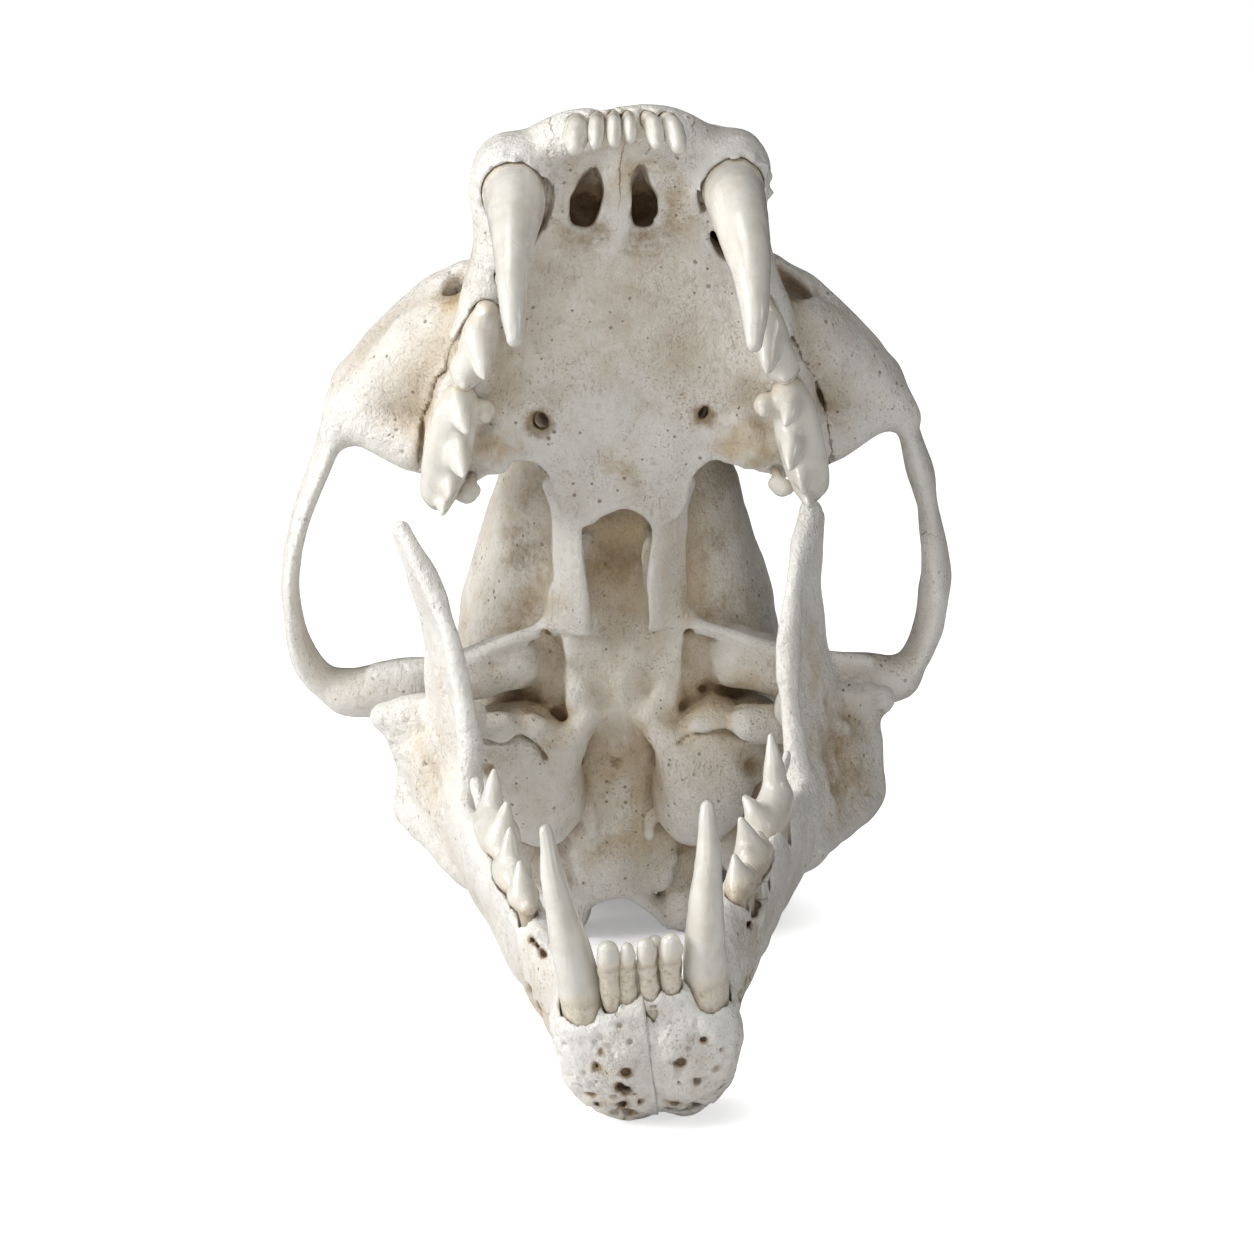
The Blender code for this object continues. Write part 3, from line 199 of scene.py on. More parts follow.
    def loft(self, rows, power=2.3, k=2.0, mode="add", shift=0.0):
        """Sections along a: a, half width, top, bottom."""
        path = catmull(rows, 8)
        path = path[np.argsort(path[:, 0])]
        found = self.window((-path[:, 1].max() - PAD, path[:, 0].min() - PAD, path[:, 3].min() - PAD),
                            (path[:, 1].max() + PAD, path[:, 0].max() + PAD, path[:, 2].max() + PAD))
        if found is None:
            return
        cut, x, a, s = found
        along = a.ravel()
        w = np.interp(along, path[:, 0], path[:, 1])[None, :, None].astype(np.float32)
        top = np.interp(along, path[:, 0], path[:, 2])[None, :, None].astype(np.float32)
        bottom = np.interp(along, path[:, 0], path[:, 3])[None, :, None].astype(np.float32)
        h = (top - bottom) / 2
        e0 = np.abs(x - shift) / w + 1e-3
        e1 = np.abs(s - (top + bottom) / 2) / h + 1e-3
        k0 = (e0 ** power + e1 ** power) ** (1 / power)
        slope = k0 ** (1 - power) * np.sqrt((e0 ** (power - 1) / w) ** 2 + (e1 ** (power - 1) / h) ** 2)
        d = np.clip((k0 - 1) / (slope + 1e-4), -8, FAR)
        past = np.maximum(path[0, 0] - a, a - path[-1, 0])
        d = np.where(past > -3, -smin(-d, -(past + np.zeros_like(d)), 3.0), d)
        self.apply(cut, d.astype(np.float32), k, mode)

    def ellipsoid(self, centre, radii, turn=(0, 0, 0), k=2.0, mode="add"):
        m = Matrix.Identity(3)
        for axis, degrees in zip("XYZ", turn):
            m = m @ Matrix.Rotation(math.radians(degrees), 3, axis)
        m = np.array(m)
        reach = max(radii) + PAD
        found = self.window(np.array(centre) - reach, np.array(centre) + reach)
        if found is None:
            return
        cut, x, a, s = found
        p = (x - centre[0], a - centre[1], s - centre[2])
        e = [(p[0] * m[0, i] + p[1] * m[1, i] + p[2] * m[2, i]) / radii[i] for i in range(3)]
        k0 = np.sqrt(e[0] ** 2 + e[1] ** 2 + e[2] ** 2)
        k1 = np.sqrt((e[0] / radii[0]) ** 2 + (e[1] / radii[1]) ** 2 + (e[2] / radii[2]) ** 2) + 1e-6
        d = np.where(k0 < 0.05, -min(radii), k0 * (k0 - 1) / k1)
        self.apply(cut, d.astype(np.float32), k, mode)

    def plate(self, outline, low, high, k=2.0, mode="add", per_span=5, round_=1.0):
        """A plate cut to an outline of x, a. low and high may be functions of x and a."""
        ring = catmull(list(outline) + [outline[0]], per_span)[:-1]
        found = self.window((ring[:, 0].min() - PAD, ring[:, 1].min() - PAD, self.low[2]),
                            (ring[:, 0].max() + PAD, ring[:, 1].max() + PAD, self.low[2] + self.step * self.count[2]))
        cut, x, a, s = found
        gx, ga = x[:, :, 0] + 0 * a[:, :, 0], a[:, :, 0] + 0 * x[:, :, 0]
        gap = np.full(gx.shape, 1e9)
        inside = np.zeros(gx.shape, bool)
        for one, two in zip(ring, np.roll(ring, -1, 0)):
            d = two - one
            t = np.clip(((gx - one[0]) * d[0] + (ga - one[1]) * d[1]) / (d @ d + 1e-9), 0, 1)
            gap = np.minimum(gap, (gx - one[0] - t * d[0]) ** 2 + (ga - one[1] - t * d[1]) ** 2)
            crosses = (one[1] > ga) != (two[1] > ga)
            with np.errstate(divide="ignore", invalid="ignore"):
                inside ^= crosses & (gx < (two[0] - one[0]) * (ga - one[1]) / (two[1] - one[1] + 1e-12) + one[0])
        flat = np.where(inside, -np.sqrt(gap), np.sqrt(gap)).astype(np.float32)
        lo = low(gx, ga) if callable(low) else np.full(gx.shape, low)
        hi = high(gx, ga) if callable(high) else np.full(gx.shape, high)
        mid, half = ((lo + hi) / 2).astype(np.float32), ((hi - lo) / 2).astype(np.float32)
        q0 = flat[:, :, None] + round_
        q1 = np.abs(s - mid[:, :, None]) - half[:, :, None] + round_
        d = np.minimum(np.maximum(q0, q1), 0) + np.sqrt(np.maximum(q0, 0) ** 2 + np.maximum(q1, 0) ** 2) - round_
        self.apply(cut, d.astype(np.float32), k, mode)

    # -- texture in the surface itself
    def noise(self, cell, seed, window=None):
        """Smooth random values of about unit size with features of this many millimetres."""
        rng = np.random.default_rng(seed)
        out = None
        mats = []
        for i in range(3):
            pos = (self.axes[i] - self.low[i]) / cell
            n = int(pos[-1]) + 4
            m = np.zeros((len(pos), n), np.float32)
            j = pos.astype(int)
            t = pos - j
            for q, weight in enumerate(((1 - t) ** 3 / 6, (3 * t ** 3 - 6 * t ** 2 + 4) / 6,
                                        (-3 * t ** 3 + 3 * t ** 2 + 3 * t + 1) / 6, t ** 3 / 6)):
                m[np.arange(len(pos)), j + q] = weight
            mats.append(m)
        coarse = rng.standard_normal([m.shape[1] for m in mats]).astype(np.float32)
        out = np.tensordot(mats[2], coarse, (1, 2))
        out = np.tensordot(mats[1], out, (1, 2))
        out = np.tensordot(mats[0], out, (1, 2))
        return out * 2.9

    def blur(self):
        for axis in range(3):
            d = self.d
            low, high = [slice(None)] * 3, [slice(None)] * 3
            mid = [slice(None)] * 3
            low[axis], mid[axis], high[axis] = slice(0, -2), slice(1, -1), slice(2, None)
            new = d.copy()
            new[tuple(mid)] = 0.25 * d[tuple(low)] + 0.5 * d[tuple(mid)] + 0.25 * d[tuple(high)]
            self.d = new

    def dots(self, points, radii, k=0.3, mode="cut"):
        """Small pits or grains."""
        for (px, pa, ps), r in zip(points, radii):
            found = self.window((px - r - 1.2, pa - r - 1.2, ps - r - 1.2), (px + r + 1.2, pa + r + 1.2, ps + r + 1.2))
            if found is None:
                continue
            cut, x, a, s = found
            d = np.sqrt((x - px) ** 2 + (a - pa) ** 2 + (s - ps) ** 2) - r
            self.apply(cut, d.astype(np.float32), k, mode)

    def surface_points(self, low, high, count, seed, test=None):
        """Random places on the surface inside a box."""
        found = self.window(low, high)
        if found is None:
            return np.zeros((0, 3))
        cut, x, a, s = found
        d = self.d[cut]
        near = np.abs(d) < self.step * 0.6
        if test is not None:
            near &= test(x, a, s)
        ix, ia, is_ = np.nonzero(near)
        if not len(ix):
            return np.zeros((0, 3))
        rng = np.random.default_rng(seed)
        pick = rng.integers(0, len(ix), count)
        p = np.stack([x[ix[pick], 0, 0], a[0, ia[pick], 0], s[0, 0, is_[pick]]], 1)
        return p + rng.uniform(-0.5, 0.5, p.shape) * self.step

    def sample(self, values, points, low=None, step=None):
        """Values of a grid at points, by trilinear interpolation."""
        low = self.low if low is None else low
        step = self.step if step is None else step
        g = (points - low) / step
        g = np.clip(g, 0, np.array(values.shape) - 1.001)
        i = g.astype(int)
        f = g - i
        out = 0
        for dx in (0, 1):
            for dy in (0, 1):
                for dz in (0, 1):
                    weight = (f[:, 0] if dx else 1 - f[:, 0]) * (f[:, 1] if dy else 1 - f[:, 1]) * (f[:, 2] if dz else 1 - f[:, 2])
                    out = out + weight * values[i[:, 0] + dx, i[:, 1] + dy, i[:, 2] + dz]
        return out


def box_blur(values, radius):
    """Two passes of a running mean along each axis."""
    for axis in range(3):
        for _ in range(2):
            n = values.shape[axis]
            pad = [(0, 0)] * 3
            pad[axis] = (radius + 1, radius)
            total = np.cumsum(np.pad(values, pad, mode="edge"), axis=axis, dtype=np.float32)
            high = [slice(None)] * 3
            low = [slice(None)] * 3
            high[axis], low[axis] = slice(2 * radius + 1, 2 * radius + 1 + n), slice(0, n)
            values = (total[tuple(high)] - total[tuple(low)]) / (2 * radius + 1)
    return values


# ---------------------------------------------------------------- teeth
# Rows of a peg: x, a, s, half width, half length; it is swept from its root to its tip.
# A blade tooth is a set of cusps: foot, tip, foot half width, foot half length, tip radius.
def both(side, rows):
    """Rows for the animal's right are mirrored across the midline."""
    rows = [list(map(float, row)) for row in rows]
    if side < 0:
        for row in rows:
            row[0] = -row[0]
    return rows


PEGS = {
    "incisor_upper_left_1": [(0.9, 123.4, 11.5, 0.8, 1.3), (1.0, 125.2, 7.0, 0.95, 1.5), (1.05, 126.0, 4.0, 0.92, 1.5),
                             (1.1, 126.0, 1.4, 1.22, 1.7), (1.12, 125.4, -0.8, 1.2, 1.55), (1.12, 124.7, -2.0, 0.95, 1.1)],
    "incisor_upper_left_2": [(4.3, 123.0, 11.5, 1.0, 1.4), (4.7, 125.0, 7.0, 1.2, 1.7), (5.0, 125.8, 4.2, 1.25, 1.75),
                             (5.5, 125.8, 1.4, 1.7, 2.0), (5.85, 125.0, -1.4, 1.7, 1.85), (5.98, 124.2, -3.2, 1.3, 1.3)],
    "incisor_upper_left_3": [(8.0, 121.6, 11.5, 1.3, 1.9), (8.2, 124.0, 7.0, 1.6, 2.3), (8.55, 124.9, 4.4, 1.62, 2.3),
                             (9.15, 124.9, 1.4, 1.95, 2.55), (9.75, 124.3, -1.4, 1.95, 2.3), (10.05, 123.6, -3.3, 1.5, 1.6)],
    "incisor_upper_right_1": [(1.5, 123.4, 11.5, 0.9, 1.4), (1.7, 125.2, 7.0, 1.05, 1.6), (1.75, 126.0, 3.9, 1.05, 1.6),
                              (1.85, 126.0, 1.2, 1.42, 1.85), (1.93, 125.2, -1.2, 1.45, 1.75), (1.98, 124.5, -2.9, 1.15, 1.25)],
    "incisor_upper_right_2": [(4.5, 123.0, 11.5, 1.0, 1.5), (4.8, 125.0, 7.0, 1.15, 1.7), (4.95, 125.8, 4.0, 1.15, 1.75),
                              (5.08, 125.8, 1.4, 1.52, 2.0), (5.25, 125.0, -1.2, 1.58, 1.85), (5.38, 124.3, -3.0, 1.25, 1.3)],
    "incisor_upper_right_3": [(8.4, 121.6, 11.5, 1.3, 1.9), (8.5, 124.0, 7.0, 1.6, 2.3), (8.6, 124.9, 4.2, 1.7, 2.4),
                              (8.8, 124.9, 1.4, 2.15, 2.7), (9.05, 124.3, -1.4, 2.15, 2.4), (9.2, 123.6, -3.1, 1.6, 1.7)],
    "canine_upper_left": [(21.4, 103.5, 18.0, 3.2, 4.2), (21.2, 108.6, 11.5, 5.3, 6.1), (20.9, 111.2, 5.5, 5.9, 6.6),
                          (21.1, 111.9, -3.0, 5.5, 6.1), (21.7, 110.2, -12.0, 5.0, 5.3), (22.6, 106.6, -21.0, 3.7, 4.0),
                          (22.8, 101.3, -28.8, 2.55, 2.75), (22.5, 96.9, -33.3, 1.5, 1.6)],
    "canine_upper_right": [(21.2, 103.5, 18.0, 3.2, 4.2), (21.0, 108.6, 11.5, 5.3, 6.1), (20.8, 111.2, 5.5, 6.0, 6.6),
                           (20.7, 111.9, -3.0, 5.6, 6.1), (21.1, 110.2, -12.0, 4.3, 4.9), (21.7, 106.6, -21.0, 3.0, 3.5),
                           (21.6, 101.3, -28.8, 2.25, 2.5), (21.5, 98.3, -32.1, 1.55, 1.6)],
    "premolar_upper_2": [(23.2, 94.6, 9.0, 1.0, 1.1), (23.1, 94.6, 5.5, 1.4, 1.6), (23.1, 94.4, 2.8, 1.6, 1.8),
                         (23.1, 94.1, 1.6, 1.1, 1.2)],
    "incisor_lower_left_1": [(1.6, 118.4, -23, 1.0, 1.3), (1.25, 119.8, -18, 1.4, 1.6), (1.35, 120.8, -13.4, 1.3, 1.5),
                             (1.55, 121.3, -11.0, 1.75, 1.7), (1.68, 121.5, -9.2, 1.6, 1.6)],
    "incisor_lower_left_2": [(3.6, 114.6, -23, 0.9, 1.2), (3.4, 116.0, -18, 1.1, 1.3), (3.25, 116.9, -13, 1.15, 1.3),
                             (3.2, 117.2, -11.2, 1.45, 1.4), (3.15, 117.3, -10.0, 1.3, 1.3)],
    "incisor_lower_left_3": [(5.4, 117.0, -23, 1.1, 1.4), (5.05, 119.2, -18, 1.4, 1.7), (5.35, 120.6, -13.2, 1.5, 1.7),
                             (5.85, 121.2, -10.8, 2.05, 1.95), (5.98, 121.5, -9.0, 1.7, 1.7)],
    "incisor_lower_right_2": [(2.9, 118.0, -23, 1.0, 1.3), (2.5, 119.5, -18, 1.35, 1.6), (2.1, 120.7, -13.2, 1.15, 1.45),
                              (1.8, 121.3, -11.0, 1.35, 1.6), (1.62, 121.5, -9.2, 1.15, 1.3)],
    "incisor_lower_right_3": [(5.3, 117.6, -23, 1.0, 1.4), (5.6, 119.6, -18, 1.5, 1.8), (5.35, 120.6, -13.2, 1.55, 1.8),
                              (5.15, 121.2, -11.0, 2.1, 2.05), (5.05, 121.5, -9.2, 1.8, 1.8)],
    "canine_lower_left": [(12.5, 106.5, -38.0, 2.6, 3.4), (11.3, 111.0, -30.5, 3.7, 4.8), (11.0, 114.2, -22.5, 3.95, 5.5),
                          (11.6, 116.8, -13.0, 3.7, 5.3), (12.9, 118.0, -3.5, 3.05, 4.6), (14.3, 117.8, 5.5, 2.15, 2.9),
                          (15.0, 116.6, 13.0, 1.15, 1.2)],
    "canine_lower_right": [(12.5, 106.5, -38.0, 2.6, 3.4), (11.2, 111.0, -30.5, 3.7, 4.8), (10.7, 114.2, -22.5, 3.95, 5.5),
                           (11.2, 116.8, -13.0, 3.7, 5.1), (12.2, 118.0, -3.5, 2.95, 4.1), (13.0, 117.8, 5.0, 2.05, 2.8),
                           (13.3, 116.6, 12.4, 1.15, 1.2)],
}
ENAMEL_TO = {"incisor_upper_1": 4.0, "incisor_upper_2": 4.0, "incisor_upper_3": 4.2, "canine_upper": 2.5,
             "premolar_upper_2": 4.2, "incisor_lower_1": -12.4, "incisor_lower_2": -12.2, "incisor_lower_3": -12.2,
             "canine_lower": -18.5, "premolar_upper_3": 2.0, "carnassial_upper": 2.0, "molar_upper": 4.0,
             "premolar_lower_3": -10.0, "premolar_lower_4": -10.0, "carnassial_lower": -9.6}
# Cheek teeth: crown direction, then roots, body and cusps as sweeps from foot to tip.
BLADES = {
    # upper third premolar: small front cusp, tall main cusp, low rear lobe
    "premolar_upper_3": dict(up=(0.26, -0.96, 0), forms=[
        [(26.4, 88.0, 3.4, 2.1, 1.6), (27.4, 84.8, 2.2, 3.3, 2.8), (28.4, 80.2, 1.2, 3.6, 3.4), (30.4, 75.6, 1.6, 3.3, 3.0), (31.3, 73.2, 2.6, 2.3, 2.0)],
        [(28.0, 82.4, 1.5, 3.3, 4.2), (27.8, 81.0, -1.6, 2.5, 3.1), (27.4, 79.0, -4.8, 1.4, 1.8), (27.1, 78.2, -6.4, 0.55, 0.65)],
        [(30.6, 76.2, 1.0, 2.8, 2.6), (31.0, 75.0, -0.7, 1.8, 1.8), (31.0, 74.4, -1.6, 0.8, 0.9)],
        [(26.4, 88.4, 2.6, 1.9, 1.5), (26.4, 88.2, 1.2, 0.9, 0.8)]],
        roots=[[(27.0, 86.4, 3.0, 2.2, 2.6), (27.0, 86.4, 8.0, 1.6, 2.0)], [(29.6, 76.6, 3.0, 2.4, 2.6), (29.6, 76.4, 8.2, 1.6, 2.0)]]),
    # upper carnassial: front cusp, tall middle cusp, long rear blade, inner knob
    "carnassial_upper": dict(up=(0.24, -0.97, 0), forms=[
        [(32.0, 70.2, 2.6, 3.2, 2.2), (33.0, 66.2, 1.2, 4.3, 3.0), (34.2, 60.4, 0.6, 4.6, 3.4), (35.5, 54.8, 0.6, 4.4, 3.2), (36.8, 49.8, 1.2, 3.6, 3.2), (37.0, 47.9, 1.8, 2.4, 2.2)],
        [(32.4, 68.6, 0.6, 2.9, 2.7), (31.8, 67.6, -3.0, 1.9, 1.9), (30.9, 66.6, -5.9, 0.8, 0.8)],
        [(33.0, 60.8, 0.0, 3.0, 4.2), (32.6, 60.0, -3.4, 2.3, 3.2), (31.9, 58.9, -6.8, 1.3, 1.9), (31.6, 58.4, -8.8, 0.5, 0.6)],
        [(34.6, 53.4, -0.4, 2.5, 3.2), (34.6, 52.6, -2.8, 1.6, 2.6), (34.6, 51.8, -4.6, 0.7, 1.6)],
        [(35.6, 49.4, 0.4, 2.2, 2.0), (35.7, 48.8, -2.8, 1.5, 1.5), (35.8, 48.4, -4.8, 0.6, 0.8)],
        [(28.2, 66.6, 3.4, 2.0, 2.2), (27.3, 67.0, 1.2, 2.2, 2.5), (27.1, 67.0, -0.4, 1.3, 1.5)]],
        roots=[[(31.4, 66.4, 3.0, 3.0, 2.8), (31.4, 66.4, 8.4, 2.0, 2.2)], [(34.6, 52.8, 3.0, 2.4, 4.0), (34.6, 52.8, 8.4, 1.7, 3.0)]]),
    "molar_upper": dict(up=(0, 1, 0), forms=[
        [(29.8, 49.4, 2.4, 1.5, 1.5), (31.0, 48.9, 1.9, 1.9, 1.9), (32.0, 48.6, 2.2, 1.5, 1.5)],
        [(31.2, 48.7, 2.0, 1.2, 1.1), (31.3, 48.6, 0.6, 0.6, 0.6)]],
        roots=[[(30.4, 49.6, 2.4, 1.4, 1.4), (30.0, 50.2, 6.4, 0.9, 0.9)]]),
    "premolar_lower_left_3": dict(up=(0.2, -0.98, 0), forms=[
        [(18.3, 90.2, -12.2, 1.5, 1.5), (18.8, 87.6, -11.2, 2.5, 2.6), (19.7, 84.2, -11.0, 2.7, 2.8), (20.4, 81.8, -11.8, 1.6, 1.7)],
        [(18.9, 86.9, -10.8, 2.4, 2.7), (18.7, 86.8, -8.2, 1.7, 2.0), (18.4, 86.4, -5.7, 0.6, 0.7)],
        [(19.9, 82.8, -11.0, 1.7, 1.5), (20.1, 82.5, -9.2, 0.9, 0.9)]],
        roots=[[(18.2, 88.6, -11.6, 1.8, 1.8), (17.9, 88.8, -18.5, 1.5, 1.7)], [(20.0, 83.4, -11.6, 1.6, 1.8), (20.2, 83.4, -17.5, 1.1, 1.4)]]),
    "premolar_lower_left_4": dict(up=(0.18, -0.98, 0), forms=[
        [(20.6, 79.0, -12.4, 1.7, 1.8), (21.0, 76.0, -11.2, 3.0, 3.0), (21.9, 71.6, -10.8, 3.5, 3.6), (22.9, 67.4, -11.2, 3.1, 3.0), (23.5, 65.6, -12.0, 1.9, 1.8)],
        [(20.8, 76.4, -10.6, 2.1, 1.7), (20.6, 76.3, -8.2, 1.0, 0.9)],
        [(21.6, 72.8, -10.0, 3.1, 3.4), (21.0, 72.8, -6.6, 2.1, 2.4), (20.2, 72.8, -3.0, 0.7, 0.8)],
        [(23.0, 67.2, -10.2, 2.1, 1.8), (23.2, 67.0, -8.0, 1.0, 1.0)]],
        roots=[[(21.2, 76.0, -11.4, 2.0, 2.4), (21.4, 75.6, -18.0, 1.4, 1.8)], [(22.8, 67.8, -11.4, 2.0, 2.4), (22.8, 68.0, -18.0, 1.4, 1.8)]]),
    "carnassial_lower_left": dict(up=(0.2, -0.98, 0), forms=[
        [(23.6, 62.3, -11.0, 2.3, 2.4), (24.4, 58.2, -9.2, 3.8, 3.8), (26.2, 53.4, -7.6, 3.8, 4.0), (27.6, 49.2, -6.2, 3.2, 3.8), (28.6, 46.5, -7.2, 1.7, 1.9)],
        [(24.0, 59.6, -8.4, 3.0, 3.4), (22.8, 59.0, -5.4, 2.0, 2.6), (21.4, 58.4, -3.0, 0.8, 1.1)],
        [(27.4, 50.2, -5.6, 2.8, 3.0), (27.2, 49.4, 0.6, 1.9, 2.2), (26.9, 48.6, 6.2, 0.6, 0.7)]],
        roots=[[(24.4, 59.0, -10.2, 2.4, 3.0), (24.6, 58.6, -17.5, 1.7, 2.2)], [(27.6, 50.0, -7.6, 2.2, 2.6), (27.6, 50.0, -15.0, 1.5, 1.8)]]),
    "premolar_lower_right_3": dict(up=(0.2, -0.98, 0), forms=[
        [(19.6, 90.4, -10.2, 1.5, 1.5), (20.2, 87.8, -9.2, 2.6, 2.6), (21.0, 84.4, -9.2, 2.7, 2.8), (21.8, 81.8, -10.2, 1.6, 1.7)],
        [(20.6, 87.0, -8.6, 2.5, 2.8), (20.6, 86.8, -5.8, 1.7, 2.0), (20.5, 86.4, -3.0, 0.7, 0.8)],
        [(21.6, 82.8, -9.0, 1.7, 1.5), (21.7, 82.5, -7.2, 0.9, 0.9)]],
        roots=[[(20.1, 88.4, -9.6, 1.7, 1.9), (20.0, 88.0, -16.5, 1.3, 1.5)], [(21.4, 83.4, -9.6, 1.6, 1.8), (21.2, 83.4, -16.5, 1.1, 1.4)]]),
    "premolar_lower_right_4": dict(up=(0.18, -0.98, 0), forms=[
        [(22.0, 79.0, -10.6, 1.7, 1.8), (22.4, 76.0, -9.6, 3.1, 3.0), (23.0, 71.6, -9.2, 3.6, 3.6), (23.9, 67.4, -9.6, 3.1, 3.0), (24.4, 65.6, -10.4, 1.9, 1.8)],
        [(22.3, 76.4, -8.8, 2.1, 1.7), (22.2, 76.3, -6.6, 1.0, 0.9)],
        [(23.0, 72.8, -8.4, 3.1, 3.4), (22.8, 72.8, -4.8, 2.1, 2.4), (22.5, 72.8, -0.9, 0.7, 0.8)],
        [(24.0, 67.2, -8.8, 2.1, 1.8), (24.1, 67.0, -6.6, 1.0, 1.0)]],
        roots=[[(22.6, 76.0, -9.8, 2.0, 2.4), (22.6, 75.6, -17.0, 1.4, 1.8)], [(23.8, 67.8, -9.8, 2.0, 2.4), (23.8, 68.0, -17.0, 1.4, 1.8)]]),
    "carnassial_lower_right": dict(up=(0.2, -0.98, 0), forms=[
        [(24.7, 62.3, -9.2, 2.3, 2.4), (25.2, 58.2, -7.4, 3.8, 3.8), (26.6, 53.4, -6.8, 3.8, 4.0), (27.6, 49.2, -6.8, 3.2, 3.8), (28.2, 46.5, -8.0, 1.7, 1.9)],
        [(25.0, 59.6, -6.8, 3.0, 3.4), (24.4, 59.0, -3.4, 2.0, 2.6), (23.7, 58.4, -0.7, 0.8, 1.1)],
        [(27.2, 50.2, -6.2, 2.8, 3.0), (26.7, 49.4, -1.2, 1.9, 2.2), (26.1, 48.6, 3.1, 0.6, 0.7)]],
        roots=[[(25.2, 59.0, -8.4, 2.4, 3.0), (25.2, 58.6, -16.0, 1.7, 2.2)], [(27.4, 50.0, -8.0, 2.2, 2.6), (27.4, 50.0, -15.5, 1.5, 1.8)]]),
}
UPPER = ["incisor_upper_1", "incisor_upper_2", "incisor_upper_3", "canine_upper", "premolar_upper_2",
         "premolar_upper_3", "carnassial_upper", "molar_upper"]
LOWER = ["incisor_lower_1", "incisor_lower_2", "incisor_lower_3", "canine_lower",
         "premolar_lower_3", "premolar_lower_4", "carnassial_lower"]
LOST = {"incisor_lower_right_1"}


def side_name(name, side):
    word = "left" if side > 0 else "right"
    head, _, tail = name.rpartition("_")
    return f"{head}_{word}_{tail}" if tail.isdigit() else f"{name}_{word}"


def peg_rows(name, side):
    return PEGS.get(side_name(name, side)) or PEGS.get(name)


def blade_spec(name, side):
    return BLADES.get(side_name(name, side)) or BLADES[name]


def tooth_forms(F, name, side, grow=0.0, mode="add", root_only=False):
    """The tooth's own shape, or the same shape grown and cut out of the bone round it."""
    k = 0.0 if mode == "add" else 0.5
    rows = peg_rows(name, side)
    if rows:
        if "incisor" in name:
            wide = (1.22, 1.20, 1.20, 1.06, 1.04, 1.0) if "lower" in name else (1.05, 1.05, 1.12, 1.06, 1.02, 1.0)
            rows = [(x, a, s, r * wide[min(i, 5)], l) for i, (x, a, s, r, l) in enumerate(rows)]
        F.sweep(both(side, rows), up=(0, 1, 0), k=k, mode=mode, grow=grow, ends=True)
        if mode == "add" and "incisor" in name:
            # A swelling at the neck, and a low ridge down the middle of the crown's front face.
            neck, crown = rows[2], rows[3]
            F.ellipsoid((side * neck[0], neck[1] + 0.15, neck[2]), (neck[3] * 1.12, neck[4] * 0.98, 1.1), k=0.7)
            for i, (x, a, s, r, _) in enumerate(rows[1:4]):
                F.ellipsoid((side * x + 0.45 * (-1) ** i * r, a + 0.5, s + 0.7), (0.62 * r, 0.7, 0.8), k=0.6)
            F.ellipsoid((side * crown[0], crown[1] + 0.75 * crown[4], crown[2]), (0.55 * crown[3], 0.5, 1.5), k=0.9)
        return
    spec = blade_spec(name, side)
    up = list(spec["up"])
    if side < 0:
        up[0] = -up[0]
    # The cusps stand on the body, with their length along the tooth row.
    for i, rows in enumerate(spec["forms"]):
        if i == 0:
            F.sweep(both(side, rows), up=(0, 0, 1), k=0.9 if mode == "add" else k, mode=mode, grow=grow, per_span=4)
        elif not root_only:
            F.sweep(both(side, rows), up=up, k=1.3 if mode == "add" else k, mode=mode, grow=grow, per_span=4)
    for rows in spec["roots"]:
        F.sweep(both(side, rows), up=up, k=0.8 if mode == "add" else k, mode=mode, grow=grow, per_span=2)


# ---------------------------------------------------------------- cranium
BONE_STEP = 0.5
C_LOW, C_HIGH = (-72.0, -80.0, -5.5), (72.0, 130.0, 77.0)


def vault(x, a):
    """Underside of the palate: arched between the tooth rows, deeper in the middle and behind."""
    half = np.interp(a, [38, 52, 66, 80, 92, 104, 116, 124], [24, 31, 28, 24, 20, 16.5, 13, 11])
    rise = np.interp(a, [38, 52, 66, 80, 95, 106, 116, 124], [0.3, 1.3, 1.9, 2.1, 1.9, 1.2, 0.2, 0.0])
    across = np.clip(1 - (x / half) ** 2, 0, 1)
    ridge = 0.25 * np.exp(-(x / 0.9) ** 2) * np.interp(a, [42, 60, 95, 104], [0, 1, 1, 0])
    return 6.2 + rise * across - ridge


